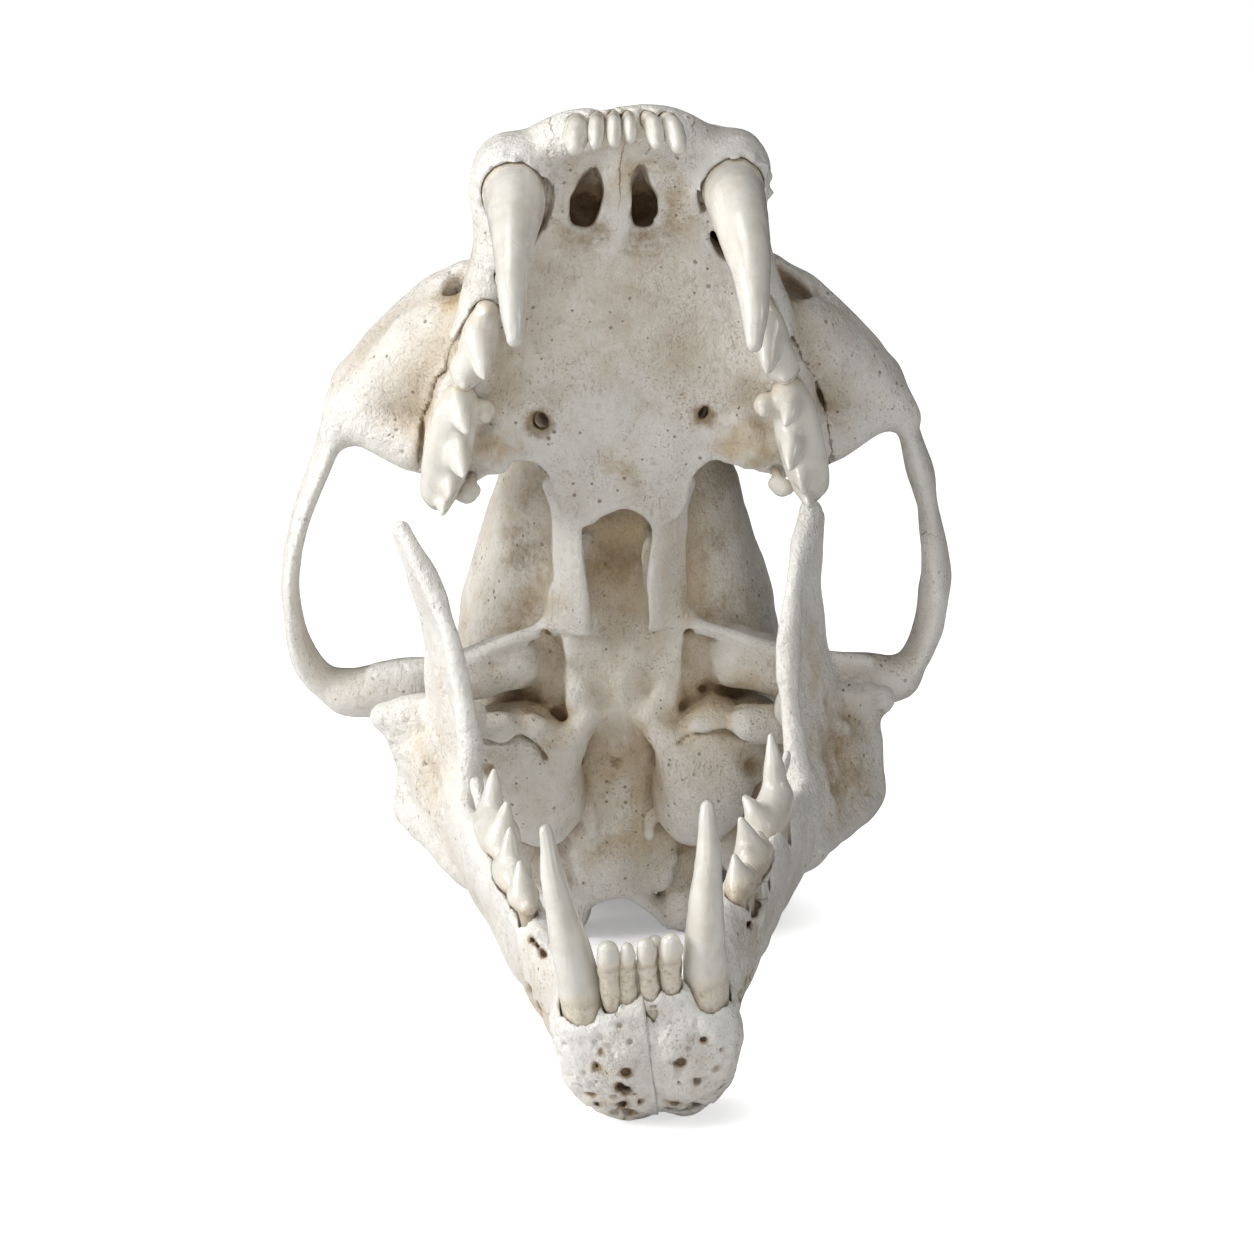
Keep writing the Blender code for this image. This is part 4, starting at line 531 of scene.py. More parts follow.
def cranium_half(H):
    """Everything that is alike on both sides, drawn for the animal's left."""
    # Muzzle, forehead and braincase. Rows: a, half width, top, bottom.
    H.loft([(121.5, 14.0, 14.5, 6.0), (117, 17.0, 22, 6.0), (110, 19.0, 33, 6.5), (100, 20.0, 43.0, 7.0),
            (88, 20.5, 51, 7.5), (75, 21.0, 58, 7.5), (64, 22.0, 64, 8.0), (54, 23.0, 68.5, 12)], power=2.7)
    H.loft([(66, 17.0, 63, 34), (57, 21.5, 67.5, 30), (48, 24.0, 70.5, 26), (39, 22.0, 72.5, 21),
            (32, 21.5, 72.5, 18), (22, 24.0, 72, 16)], power=2.3)
    H.loft([(38, 21.5, 68, 20), (30, 25.0, 70, 17.5), (20, 28.0, 71, 14.5), (10, 31.0, 70.5, 12.5), (0, 33.5, 69.5, 11.5),
            (-14, 35.0, 67, 11), (-28, 34.5, 63, 11), (-40, 32.0, 58, 11.5), (-50, 27.0, 51, 12.5), (-55, 22.0, 45, 15.5)], power=2.15)
    # Hard palate and the premaxillae in front of it.
    H.plate([(0, 124.5), (8, 124.0), (13.5, 120.5), (17, 114), (20, 104), (22.5, 93), (26, 82), (30, 68), (33, 54), (32, 47.5),
             (28, 48.8), (24, 51.6), (20.5, 52.6), (17, 51.6), (14.2, 48.0), (12.8, 42), (10, 38.5), (6.2, 38.2), (3.6, 40.6), (0, 41.8),
             (-4, 40), (-6.5, 38), (-10, 38), (-12, 60), (-12, 100), (-8, 124.0)],
            vault, lambda x, a: vault(x, a) * 0 + 12.0, k=1.6, round_=1.3)
    # Sagittal crest and the back of the skull.
    H.sweep([(0, 26, 70.5, 1.3, 2.5), (0, 5, 70.5, 1.4, 3.5), (0, -18, 67.5, 1.5, 4.5), (0, -42, 60.5, 1.6, 6.5),
             (0, -60, 54.5, 1.7, 8.0), (0, -72, 50.5, 1.8, 6.5)], k=2.5)
    H.loft([(-42, 33.0, 57, 12.5), (-50, 30.0, 52.5, 14), (-57, 25.5, 51.5, 23.0), (-63, 20.5, 52, 32), (-69.5, 12.5, 52.5, 43.0)], power=2.4)
    H.ellipsoid((0, -64, 50), (12, 9.0, 6.5))
    # Basioccipital and basisphenoid: the floor of the braincase between the bullae.
    H.plate([(0, -51.0), (6, -52.5), (10, -50), (11, -40), (10.5, -25), (10, -10), (12, 4), (12, 16), (9, 24), (8, 33),
             (-8, 33), (-9, 24), (-12, 16), (-12, 4), (-10, -10), (-10.5, -25), (-11, -40), (-10, -50), (-6, -52.5)],
            lambda x, a: 10.2 - 0.35 * np.exp(-(x / 1.4) ** 2) + 0.5 * np.exp(-((x - 5.5) / 2.5) ** 2), 16.0, k=2.0, round_=1.5)
    H.plate([(8, 46), (9, 30), (9, 14), (-9, 14), (-9, 30), (-8, 46)], 16.5, 24.0, k=2.0)
    # Ridge over the root of the canine, and the edge of the jaw bone along the cheek teeth.
    H.sweep([(19.8, 113.0, 9.0, 8.0, 8.0), (20.4, 109.6, 17, 8.2, 8.2), (20.8, 102, 27, 7.2, 7.4), (20.0, 92, 36, 5.0, 5.5)], up=(0, 1, 0.5), k=3)
    H.sweep([(8.0, 120.0, 10.5, 3.4, 4.6), (13.4, 117.8, 11.4, 4.0, 5.0), (18.2, 114.4, 11.8, 4.4, 5.0), (21.8, 110.8, 13.0, 4.4, 5.8)], k=1.2)
    H.sweep([(22.5, 113.0, 13.0, 4.9, 6.4), (23.5, 108.5, 14, 5.0, 8.5), (23.9, 101, 15.0, 4.9, 9.0), (24.5, 94, 16.0, 4.8, 8.6), (26.0, 88, 17.5, 4.4, 8.0)], k=2.5)
    H.sweep([(21.5, 101, 9.5, 5.0, 5.5), (25.5, 91, 9.5, 5.0, 6.0), (29.0, 78, 10, 5.4, 6.4), (33.0, 63, 10.5, 5.6, 6.4),
             (35.8, 52, 10.5, 4.2, 5.4)], k=2.5)
    # Premaxilla below the nasal opening.
    H.sweep([(0, 121.9, 9.2, 4.6, 5.0), (7, 121.5, 9.4, 4.7, 5.2), (12.0, 119.2, 11, 4.8, 5.4), (16.5, 115.0, 16, 3.8, 5.0),
             (17.0, 111, 24, 2.8, 4.2)], k=2)
    # Front root of the zygomatic arch, rising from the cheek teeth to the rim of the eye socket.
    H.sweep([(27, 72, 19, 13.5, 10.5), (34, 70.5, 19.5, 12.5, 10.0), (41, 67.0, 20.5, 10.5, 9.0), (48, 62.5, 22, 7.6, 8.0),
             (53, 58.5, 23.5, 5.0, 7.5)], k=3)
    H.sweep([(30.5, 83.5, 27.0, 3.4, 4.8), (36.5, 79.6, 27.8, 3.6, 4.8), (43.0, 74.0, 28.0, 3.7, 4.6), (49.5, 67.3, 27.5, 3.4, 4.8),
             (53.8, 61.0, 27.0, 3.0, 5.2)], k=3)
    H.sweep([(33, 55.5, 11.0, 5.0, 5.4), (39, 54.0, 12.0, 5.4, 5.2), (45, 55.5, 14.5, 5.0, 5.2), (51, 57.0, 18.0, 4.4, 5.6),
             (56, 56.0, 21.0, 3.6, 6.0)], k=3)
    # Postorbital processes of the cheek bone and of the forehead, and the inner rim of the eye socket.
    H.sweep([(57.2, 52.0, 29.0, 2.2, 4.4), (56.0, 49.5, 35.0, 1.9, 3.2), (54.2, 48.0, 39.5, 1.5, 1.8)], up=(0, 1, 0), k=3)
    H.sweep([(18, 54, 62.0, 5.0, 8.0), (26, 51, 62.0, 4.4, 6.6), (33, 47.5, 59.5, 3.4, 4.6), (38.5, 44.5, 55.5, 1.9, 2.4)], up=(0, 1, 0), k=3.5)
    H.sweep([(28.5, 82.0, 30.0, 3.2, 3.6), (25.5, 80.0, 38.0, 3.2, 3.8), (22.8, 75.5, 47.0, 3.2, 3.8), (21.0, 68.0, 55.5, 3.2, 4.0),
             (21.5, 59.0, 61.5, 3.4, 4.0)], up=(1, 0, 0), k=3)
    # Root bar of the arch over the jaw joint, and the ridge behind the joint.
    H.sweep([(23, 3.0, 15.5, 6.4, 6.0), (32, 1.6, 13.0, 5.6, 5.6), (42, 0.2, 12.0, 5.0, 5.2), (52, -1.4, 12.4, 5.0, 5.2),
             (57, -1.6, 13.0, 4.4, 5.2)], k=3)
    H.sweep([(25, -7.8, 6.2, 3.4, 5.0), (33, -8.8, 6.8, 3.4, 4.0), (41, -9.2, 7.8, 3.2, 3.8), (48, -8.0, 9.0, 3.0, 3.8)], k=2)
    # Occipital condyle, and the nuchal crest out to the mastoid.
    H.ellipsoid((13.6, -57.2, 17.4), (6.4, 7.6, 8.6), turn=(0, 18, 0), k=2)
    H.sweep([(0, -72.5, 50.0, 3.2, 4.6), (7, -72.5, 49.7, 2.8, 4.6), (14, -70.5, 47.0, 2.1, 4.8), (21, -65.5, 42.0, 1.9, 4.8),
             (27.5, -58.0, 34.0, 1.9, 4.8), (32.5, -49.0, 25.0, 2.1, 5.0), (34.5, -41.0, 17.0, 2.8, 5.0)], up=(0, 1, 0.25), k=2.5)


def cranium_arch(H, side):
    """The arch itself, a deep thin blade bowed out round the jaw muscle, is not quite alike on the two sides."""
    lean = -1.7 * side
    H.sweep([(53.3, 62.0, 27.0, 2.8, 5.6), (56.2, 56.0, 24.5, 2.6, 8.2), (59.3 + 0.3 * lean, 48.5, 21.5, 2.4, 8.6),
             (62.6 + 0.7 * lean, 39.0, 18.5, 2.3, 8.2), (65.0 + lean, 28.5, 16.8, 2.2, 7.8), (65.7 + lean, 18.0, 16.2, 2.3, 8.0),
             (64.6 + lean, 8.5, 15.8, 2.5, 7.6), (60.8 + 0.8 * lean, 0.6, 14.6, 3.0, 6.4), (55.0 + 0.4 * lean, -3.2, 13.2, 3.8, 5.2),
             (49.0, -2.5, 12.8, 4.4, 4.8)], k=2.5)
    # Behind the palate the middle of this skull lies a little to the animal's right.
    off = -1.2 * side
    # Pterygoid plate: a strap from the back of the palate to the skull base, ending in a wavy hook.
    H.sweep([(12.7 + 0.5 * off, 46.5, 9.4, 1.5, 3.4), (10.9 + off, 40.5, 9.8, 1.3, 4.6), (10.2 + off, 34.0, 10.0, 1.15, 4.7),
             (10.1 + off, 24.0, 10.3, 1.1, 4.6), (10.2 + off, 16.5, 10.4, 1.1, 4.7), (9.9 + off, 13.4, 10.4, 1.0, 4.7)],
            up=(0.80, 0, 0.60), k=1.4)
    H.sweep([(11.6 + off, 41.0, 20.0, 2.2, 5.0), (11.4 + off, 26.0, 18.5, 2.0, 4.5), (12.5 + off, 13.0, 16.5, 2.6, 3.6)], k=2)
    # Auditory bulla with its outer wall, and the mastoid and paroccipital knobs.
    H.ellipsoid((17.8 + off, -22.0, 11.0), (10.8, 16.6, 12.0), turn=(4, 0, -12), k=1.2)
    H.ellipsoid((26.5, -17.0, 14.5), (7.5, 9.5, 8.5), k=1.6)
    H.sweep([(7.0 + off, -7.6, 8.8, 1.3, 1.6), (10.2 + off, -13.0, 6.0, 2.8, 2.8), (13.6 + off, -19.0, 3.6, 3.4, 2.8)], k=4.6)
    H.sweep([(16.5 + off, -8.6, 6.5, 1.2, 1.2), (22.5 + off, -10.8, 5.6, 1.5, 1.4), (27.5 + off, -13.2, 6.4, 1.4, 1.4)], k=2.4)
    H.sweep([(20.0 + off, -12.0, 3.5, 0.8, 0.7), (22.6 + off, -16.5, 2.0, 0.9, 0.8), (25.5 + off, -20.0, 3.2, 0.7, 0.7)], k=2.0)
    H.sweep([(31, -30, 20, 5.5, 6.0), (33.5, -36, 14, 4.6, 5.0), (34.0, -38, 9, 3.4, 3.6)], up=(0, 1, 0), k=2.5)
    H.sweep([(22, -40, 16, 5.0, 5.0), (24, -43, 9, 3.6, 3.6), (24.5, -44.5, 4.5, 2.2, 2.2)], up=(0, 1, 0), k=2)
    # Edge between the temple and the skull base, running out to the front of the jaw joint.
    H.sweep([(14.6 + 0.6 * off, 11.6, 13.4, 1.3, 1.2), (23.8 + 0.6 * off, 9.6, 11.4, 1.4, 1.3), (31.0, 7.0, 10.0, 1.5, 1.4),
             (40.0, 5.6, 9.6, 1.4, 1.4), (50.0, 4.2, 9.6, 1.2, 1.4)], k=3.2)


def cranium_cuts(H):
    """Openings alike on both sides."""
    H.sweep([(0, 128, 27, 10.5, 11.5), (0, 116, 27, 10.5, 11.0), (0, 102, 28, 9.5, 10.5), (0, 88, 29, 8.5, 10.0), (0, 70, 30, 7.5, 9.0)],
            mode="cut", k=1.2, power=2.3, ends=False)
    H.ellipsoid((38.0, 65, 46.5), (16.5, 16.5, 15.0), turn=(0, 0, -20), mode="cut", k=2.0)
    H.sweep([(31.5, 96, 23.0, 2.7, 3.3), (32.3, 82, 22.5, 2.9, 3.5), (33.5, 70, 25.0, 2.6, 3.2)], mode="cut", k=1.5)
    # The throat opening behind the palate, and the foramen magnum with the hollow behind it.
    H.sweep([(0, 28, 12.8, 4.6, 2.8), (0, 36, 13.2, 5.4, 3.2), (0, 58, 15.0, 5.8, 3.8), (0, 74, 19.0, 5.4, 5.0)], mode="cut", k=1.5)
    H.sweep([(0, -85, 17.5, 8.2, 7.6), (0, -58, 21, 8.2, 7.6), (0, -38, 30, 12.0, 11.0), (0, -18, 38, 20.0, 20.0)], mode="cut", k=1.5)
    H.sweep([(44, -17.5, 17.5, 3.0, 3.4), (27, -17.5, 16.5, 2.6, 3.0)], mode="cut", k=1.0)
    H.sweep([(30.0, 0, 0, GLENOID_R, GLENOID_R), (60, 0, 0, GLENOID_R, GLENOID_R)], mode="cut", k=0.8)


def grow_cranium():
    H = Field((-6 * BONE_STEP, C_LOW[1], C_LOW[2]), (C_HIGH[0], C_HIGH[1], C_HIGH[2]), BONE_STEP)
    cranium_half(H)
    shared = H.d.copy()
    sides = {}
    for side in (1, -1):
        H.d = shared.copy()
        cranium_arch(H, side)
        cranium_cuts(H)
        H.blur()
        sides[side] = H.d[6:]
    F = Field((-BONE_STEP * (H.count[0] - 7), C_LOW[1], C_LOW[2]), (C_HIGH[0], C_HIGH[1], C_HIGH[2]), BONE_STEP)
    F.d = np.concatenate([sides[-1][:0:-1], sides[1]], axis=0)
    F.count = np.array(F.d.shape)
    F.axes[0] = (F.low[0] + BONE_STEP * np.arange(F.count[0])).astype(np.float32)
    return F


# ---------------------------------------------------------------- from field to mesh
def mesh_points(F):
    """Points in anatomical millimetres and quads of the surface."""
    grid = openvdb.FloatGrid(3.0)
    grid.copyFromArray(np.ascontiguousarray(np.clip(F.d, -3.0, 3.0)))
    points, quads = grid.convertToQuads(0.0)
    return points * F.step + F.low, quads


def to_object(name, points, quads, to_world):
    """A mesh object in metres; the mapping turns faces inside out, so outward reverses them, when needed, before they
    come here.
    """
    place = to_world(points.astype(float)).astype(np.float32)
    mesh = bpy.data.meshes.new(name)
    quads = np.ascontiguousarray(quads.astype(np.int32))
    mesh.vertices.add(len(place))
    mesh.vertices.foreach_set("co", place.ravel())
    mesh.loops.add(quads.size)
    mesh.loops.foreach_set("vertex_index", quads.ravel())
    mesh.polygons.add(len(quads))
    mesh.polygons.foreach_set("loop_start", np.arange(0, quads.size, 4, dtype=np.int32))
    mesh.update(calc_edges=True)
    made = bpy.data.objects.new(name, mesh)
    bpy.context.scene.collection.objects.link(made)
    return made


def bake(obj):
    graph = bpy.context.evaluated_depsgraph_get()
    graph.update()
    mesh = bpy.data.meshes.new_from_object(obj.evaluated_get(graph))
    obj.modifiers.clear()
    old, obj.data = obj.data, mesh
    bpy.data.meshes.remove(old)


def lighten(obj, triangles):
    now = 2 * len(obj.data.polygons)
    if now > triangles:
        fewer = obj.modifiers.new("fewer", "DECIMATE")
        fewer.ratio = triangles / now
        bake(obj)


def cranium_from_world(p):
    x, y, z = p[:, 0] / MM - ORIGIN_X, p[:, 1] / MM - ORIGIN_Y, p[:, 2] / MM - JOINT_HEIGHT
    return np.stack([x, -y * math.cos(C_PITCH) + z * math.sin(C_PITCH), y * math.sin(C_PITCH) + z * math.cos(C_PITCH)], 1)


def jaw_from_world(p):
    x, y, z = p[:, 0] / MM - ORIGIN_X - JAW_SHIFT, p[:, 1] / MM - ORIGIN_Y, p[:, 2] / MM - JOINT_HEIGHT
    a, s = -y * math.cos(J_PITCH) + z * math.sin(J_PITCH), y * math.sin(J_PITCH) + z * math.cos(J_PITCH)
    x = x - math.sin(math.radians(JAW_YAW)) * a
    turn = -np.radians(JAW_ROLL + JAW_TWIST * a / 100.0)
    return np.stack([x * np.cos(turn) - s * np.sin(turn), a, x * np.sin(turn) + s * np.cos(turn)], 1)


def floor_clip(F, pitch, points_s0=0.0):
    """Trims the field at the surface that the skull rests on."""
    a, s = F.axes[1][None, :, None], F.axes[2][None, None, :]
    height = a * math.sin(pitch) + s * math.cos(pitch) + JOINT_HEIGHT
    F.d = np.maximum(F.d, -height + 0.02).astype(np.float32)


# ---------------------------------------------------------------- details of the cranium
def line(F, points, width, depth, k=0.5, mode="cut", up=(0, 0, 1)):
    """A groove or a low ridge along places on the surface."""
    F.sweep([(x, a, s, width, depth) for x, a, s in points], up=up, k=k, mode=mode, per_span=4)


def seat(F, points, low, high, down=False):
    """Moves places in x and a to the surface that is met first from below (or from above)."""
    out = []
    for x, a in points:
        i = int(round((x - F.low[0]) / F.step))
        j = int(round((a - F.low[1]) / F.step))
        k0, k1 = int((low - F.low[2]) / F.step), int((high - F.low[2]) / F.step)
        column = F.d[i, j, k0:k1]
        if down:
            column = column[::-1]
        hit = np.argmax(column < 0)
        hit = k1 - 1 - hit if down else k0 + hit
        out.append((x, a, F.low[2] + F.step * hit))
    return out


FISSURE_RIGHT = [(-5.1, 115.2), (-4.2, 113.2), (-3.9, 110.2), (-4.3, 107.0), (-5.3, 104.8), (-6.5, 103.4), (-7.9, 103.2),
                 (-9.2, 104.1), (-9.7, 106.1), (-9.3, 109.2), (-8.3, 112.0), (-6.8, 114.2)]
FISSURE_LEFT = [(3.1, 115.4), (4.1, 115.1), (5.4, 112.4), (6.5, 110.0), (6.8, 107.7), (6.3, 105.4), (5.0, 103.6),
                (3.5, 103.1), (2.1, 103.9), (1.5, 106.1), (1.5, 110.1), (2.0, 113.0)]
CHEEK_LINE_RIGHT = [(-24.3, 87.9), (-28.4, 87.7), (-30.0, 84.5), (-32.3, 80.0), (-33.8, 76.5), (-34.6, 73.0), (-36.6, 70.4),
                    (-37.9, 65.0), (-39.3, 61.0), (-39.9, 56.6), (-40.5, 52.6), (-40.4, 48.4)]
CHEEK_LINE_LEFT = [(28.4, 87.2), (30.3, 84.0), (32.2, 79.8), (34.0, 76.8), (35.0, 74.2), (36.9, 71.6), (37.9, 68.0),
                   (38.7, 65.0), (39.8, 61.4), (40.7, 57.4), (41.2, 53.6), (41.2, 49.6)]


def cranium_details(C):
    # Palatine fissures, the groove that runs back from each, and the smooth bar between them.
    C.sweep([(-0.6, 118.5, 6.0, 1.5, 0.9), (-0.7, 112.0, 6.3, 1.6, 1.0), (-0.9, 104.0, 6.5, 1.9, 1.0), (-1.0, 98.0, 6.9, 1.5, 0.6)], k=1.6)
    C.ellipsoid((-7.2, 101.8, 5.7), (3.1, 3.0, 1.5), mode="cut", k=1.3)
    C.ellipsoid((4.6, 101.4, 5.7), (2.9, 2.8, 1.4), mode="cut", k=1.3)
    C.ellipsoid((-12.4, 107.5, 4.9), (3.2, 6.0, 0.9), mode="cut", k=1.2)
    C.ellipsoid((10.4, 107.0, 4.9), (3.4, 6.0, 0.9), mode="cut", k=1.2)
    for outline in (FISSURE_RIGHT, FISSURE_LEFT):
        for s in (4.0, 6.0, 8.0, 10.0, 12.0, 14.0):
            leaned = [(x * (1 + 0.01 * (s - 7)), a - 0.56 * (s - 7.3)) for x, a in outline]
            C.plate(leaned, s - 1.4, s + 1.4, k=0.8, mode="cut", round_=1.0)
    # The throat behind the palate lies a little to the animal's right, like the straps beside it.
    C.sweep([(-1.0, -2.0, 5.8, 3.4, 3.2), (-1.3, 5.0, 7.1, 4.6, 3.3), (-1.5, 14.0, 9.1, 5.6, 3.3), (-1.6, 24.0, 11.1, 6.0, 3.4),
             (-1.6, 36.0, 13.3, 6.1, 3.5), (-1.4, 48.0, 15.0, 5.6, 3.8), (-1.0, 58.0, 16.0, 5.4, 3.9)], mode="cut", k=0.9)
    # Palatal foramina, each running back and up into the palate, with its groove in front.
    C.sweep([(-18.0, 64.0, 4.2, 1.0, 1.4), (-16.5, 61.8, 7.4, 1.05, 1.4), (-15.6, 59.0, 14.0, 1.0, 1.2)], mode="cut", k=0.7)
    C.sweep([(17.2, 65.6, 4.2, 0.9, 1.3), (16.0, 63.2, 7.2, 1.0, 1.4), (15.0, 60.2, 14.0, 0.95, 1.2)], mode="cut", k=0.7)
    line(C, [(-17.6, 66, 6.4), (-17.9, 74, 6.2), (-16.8, 84, 6.1)], 0.9, 0.55, k=1.2)
    line(C, [(17.4, 68, 6.4), (17.8, 76, 6.2), (16.6, 86, 6.1)], 0.9, 0.5, k=1.2)
    # Dark line between the cheek teeth and the edge of the jaw bone, opening to a hole in front on the right.
    for points in (CHEEK_LINE_RIGHT, CHEEK_LINE_LEFT):
        placed = seat(C, points, -3.0, 24.0)
        line(C, placed, 0.30, 1.7, k=0.2)
    C.ellipsoid((-33.3, 77.8, 5.5), (1.0, 1.9, 3.0), turn=(0, 0, 18), mode="cut", k=0.5)
    C.sweep([(35.0, 92.5, 15.5, 3.2, 3.4), (34.3, 86.0, 19.5, 3.9, 4.4), (33.6, 78.0, 23.0, 3.6, 4.0)], mode="cut", k=1.6)
    # Rim round each upper canine, raised and broken into small knobs, with a dark slit on its inner side.
    rims = {-1: [(-17.2, 100.4), (-15.6, 104.4), (-14.4, 108.6), (-14.2, 112.4), (-15.3, 115.2), (-17.7, 117.4), (-20.4, 118.4), (-23.1, 118.0),
                 (-25.5, 116.4), (-27.0, 113.4), (-27.2, 109.6)],
            1: [(16.8, 101.0), (15.6, 104.6), (15.1, 108.4), (15.2, 111.6), (16.2, 114.6), (18.4, 117.0), (21.2, 118.2), (24.0, 117.4),
                (26.6, 115.0), (27.9, 111.9), (28.2, 108.4)]}
    rng = np.random.default_rng(5)
    for side, ring in rims.items():
        placed = [spot for spot in seat(C, ring, -3.0, 26.0) if spot[2] > -2.4]
        for x, a, s in placed[1:]:
            C.ellipsoid((x, a, s + 0.2), (0.9, 0.9, 0.7), k=0.9)
        smooth_ring = catmull([(x, a, s, 0.8, 0.8) for x, a, s in placed], 5)
        for x, a, s, _, _ in smooth_ring:
            if rng.random() < 0.5 and abs(x) < 24:
                C.ellipsoid((x + rng.uniform(-0.5, 0.5), a + rng.uniform(-0.5, 0.5), s - rng.uniform(0.1, 0.5)),
                            (rng.uniform(0.3, 0.6), rng.uniform(0.3, 0.6), rng.uniform(0.3, 0.5)), k=0.4)
    # Hole behind the left canine where the socket's wall is gone, and a slit behind the right one.
    C.ellipsoid((18.9, 99.0, 8.0), (1.6, 3.4, 6.5), turn=(0, 0, 30), mode="cut", k=0.6)
    C.ellipsoid((-16.6, 101.8, 8.0), (0.7, 2.6, 5.0), turn=(0, 0, -28), mode="cut", k=0.5)
    # Rough swollen bone inside the carnassial on the left, scalloped edge of the palate beside it.
    for x, a, s, rx, ra, rs in ((22.8, 59.6, 5.8, 2.6, 3.0, 0.9), (26.6, 57.4, 5.2, 2.2, 2.4, 1.0), (28.2, 54.4, 5.4, 1.6, 2.4, 0.9), (25.0, 53.8, 5.9, 2.2, 1.8, 0.9),
                                (-23.4, 58.6, 6.0, 2.4, 3.0, 0.7), (-27.0, 55.0, 5.6, 2.0, 2.4, 0.8), (21.4, 52.9, 6.6, 1.6, 1.3, 0.9), (27.6, 50.6, 6.4, 1.6, 1.3, 0.9),
                                (24.2, 51.8, 6.4, 1.3, 1.2, 0.8), (-24.5, 51.9, 6.6, 1.7, 1.3, 0.9)):
        C.ellipsoid((x, a, s + 0.5), (rx, ra, rs), k=2.4)
    # Skull base: foramina, the cleft in front of each bulla, and small pits.
    C.sweep([(14.0, -0.6, 8.5, 1.0, 0.8), (15.4, -2.6, 11.5, 1.25, 1.0), (16.4, -4.6, 15.0, 1.0, 0.9)], mode="cut", k=0.8)
    C.sweep([(-12.6, -3.6, 9.0, 0.5, 0.5), (-13.0, -5.0, 12.5, 0.6, 0.6)], mode="cut", k=0.6)
    line(C, seat(C, [(10.4, -11.0), (12.6, -9.6), (15.8, -8.9), (19.2, -8.8), (23.0, -9.6), (25.6, -10.4)], -4, 30), 0.75, 2.4, k=0.6)
    C.ellipsoid((11.6, -10.4, 8.4), (2.0, 1.5, 3.4), turn=(0, 0, 20), mode="cut", k=0.8)
    line(C, seat(C, [(-28.4, -8.4), (-25.5, -9.2), (-21.8, -8.8), (-18.8, -10.0), (-16.6, -12.6)], -4, 30), 0.7, 2.4, k=0.6)
    C.ellipsoid((-19.2, -9.5, 8.2), (2.3, 1.4, 3.6), turn=(0, 0, -20), mode="cut", k=0.8)
    C.ellipsoid((25.8, -16.6, 2.6), (1.6, 1.5, 3.0), mode="cut", k=0.8)
    C.ellipsoid((-28.0, -16.4, 2.8), (1.6, 1.5, 3.0), mode="cut", k=0.8)
    C.ellipsoid((10.4, -14.6, 0.6), (0.75, 0.7, 1.3), mode="cut", k=0.5)
    C.ellipsoid((13.3, 10.6, 13.0), (1.3, 1.2, 3.2), mode="cut", k=0.7)
    C.ellipsoid((-15.9, 11.0, 13.0), (1.2, 1.4, 3.0), mode="cut", k=0.7)
    C.ellipsoid((-1.7, -19.1, 9.6), (1.1, 0.9, 1.0), mode="cut", k=0.9)
    C.ellipsoid((-9.4, -18.0, 9.8), (0.7, 1.4, 1.4), mode="cut", k=0.6)
    C.ellipsoid((12.8, -41.5, 10.4), (2.0, 1.6, 3.0), mode="cut", k=1.0)
    C.ellipsoid((-15.0, -42.0, 10.4), (2.0, 1.6, 3.0), mode="cut", k=1.0)
    C.ellipsoid((8.4, -35.5, 9.6), (1.6, 2.4, 1.4), mode="cut", k=1.2)
    C.ellipsoid((-10.6, -35.0, 9.6), (1.6, 2.6, 1.4), mode="cut", k=1.2)
    C.ellipsoid((5.2, -34.0, 9.4), (1.5, 4.0, 0.9), k=1.4)
    C.ellipsoid((-7.0, -33.0, 9.6), (1.4, 4.2, 0.8), k=1.4)
    # Muscle marks on the skull base and the hollow in front of each.
    C.ellipsoid((-20.6, -1.6, 8.6), (6.0, 2.6, 1.6), mode="cut", k=1.8)
    C.ellipsoid((21.8, -3.4, 8.4), (4.6, 2.4, 1.4), mode="cut", k=1.8)
    C.ellipsoid((-9.0, -4.0, 9.8), (2.4, 4.6, 1.0), k=1.5)
    C.ellipsoid((8.0, -5.0, 9.8), (2.2, 4.6, 1.0), k=1.5)
    # Foramina round the eye socket and on the face, the tear duct, and the hole of the nose's side.
    for side in (1, -1):
        C.sweep([(side * 27.8, 79.0, 37.5, 1.2, 1.4), (side * 22.0, 84.0, 36.0, 1.0, 1.2)], mode="cut", k=0.7)
        C.ellipsoid((side * 21.4, 47.5, 33.0), (2.6, 1.5, 2.0), mode="cut", k=0.9)
        C.ellipsoid((side * 23.6, 36.0, 22.5), (2.6, 1.8, 1.8), mode="cut", k=0.9)
        C.ellipsoid((side * 23.4, 30.5, 21.0), (2.6, 1.8, 2.0), mode="cut", k=0.9)
        C.ellipsoid((side * 21.0, 58.0, 27.0), (2.6, 1.8, 1.6), mode="cut", k=0.9)
        # Temporal lines from the brow to the crest, and the seam lines between bones as shallow creases.
        line(C, seat(C, [(side * 30.0, 46.5), (side * 20.0, 39.0), (side * 11.0, 30.0), (side * 5.0, 18.0), (side * 2.2, 4.0)], 30, 76, down=True), 1.1, 0.6, k=1.4, mode="add")
        line(C, seat(C, [(side * 3.5, 104.0), (side * 4.5, 92.0), (side * 6.5, 78.0), (side * 6.0, 66.0), (side * 3.0, 60.0)], 30, 76, down=True), 0.4, 0.45, k=0.5)
        line(C, seat(C, [(side * 16.0, 106.0), (side * 12.5, 95.0), (side * 9.5, 84.0)], 20, 76, down=True), 0.4, 0.45, k=0.5)
        # Squamous suture round the side of the braincase.
        C.sweep([(side * 34.6, 8.0, 26.0, 0.5, 0.5), (side * 36.0, -2.0, 38.0, 0.5, 0.5), (side * 36.0, -18.0, 40.0, 0.5, 0.5), (side * 35.4, -32.0, 32.0, 0.5, 0.5)],
                up=(1, 0, 0), mode="cut", k=0.5)
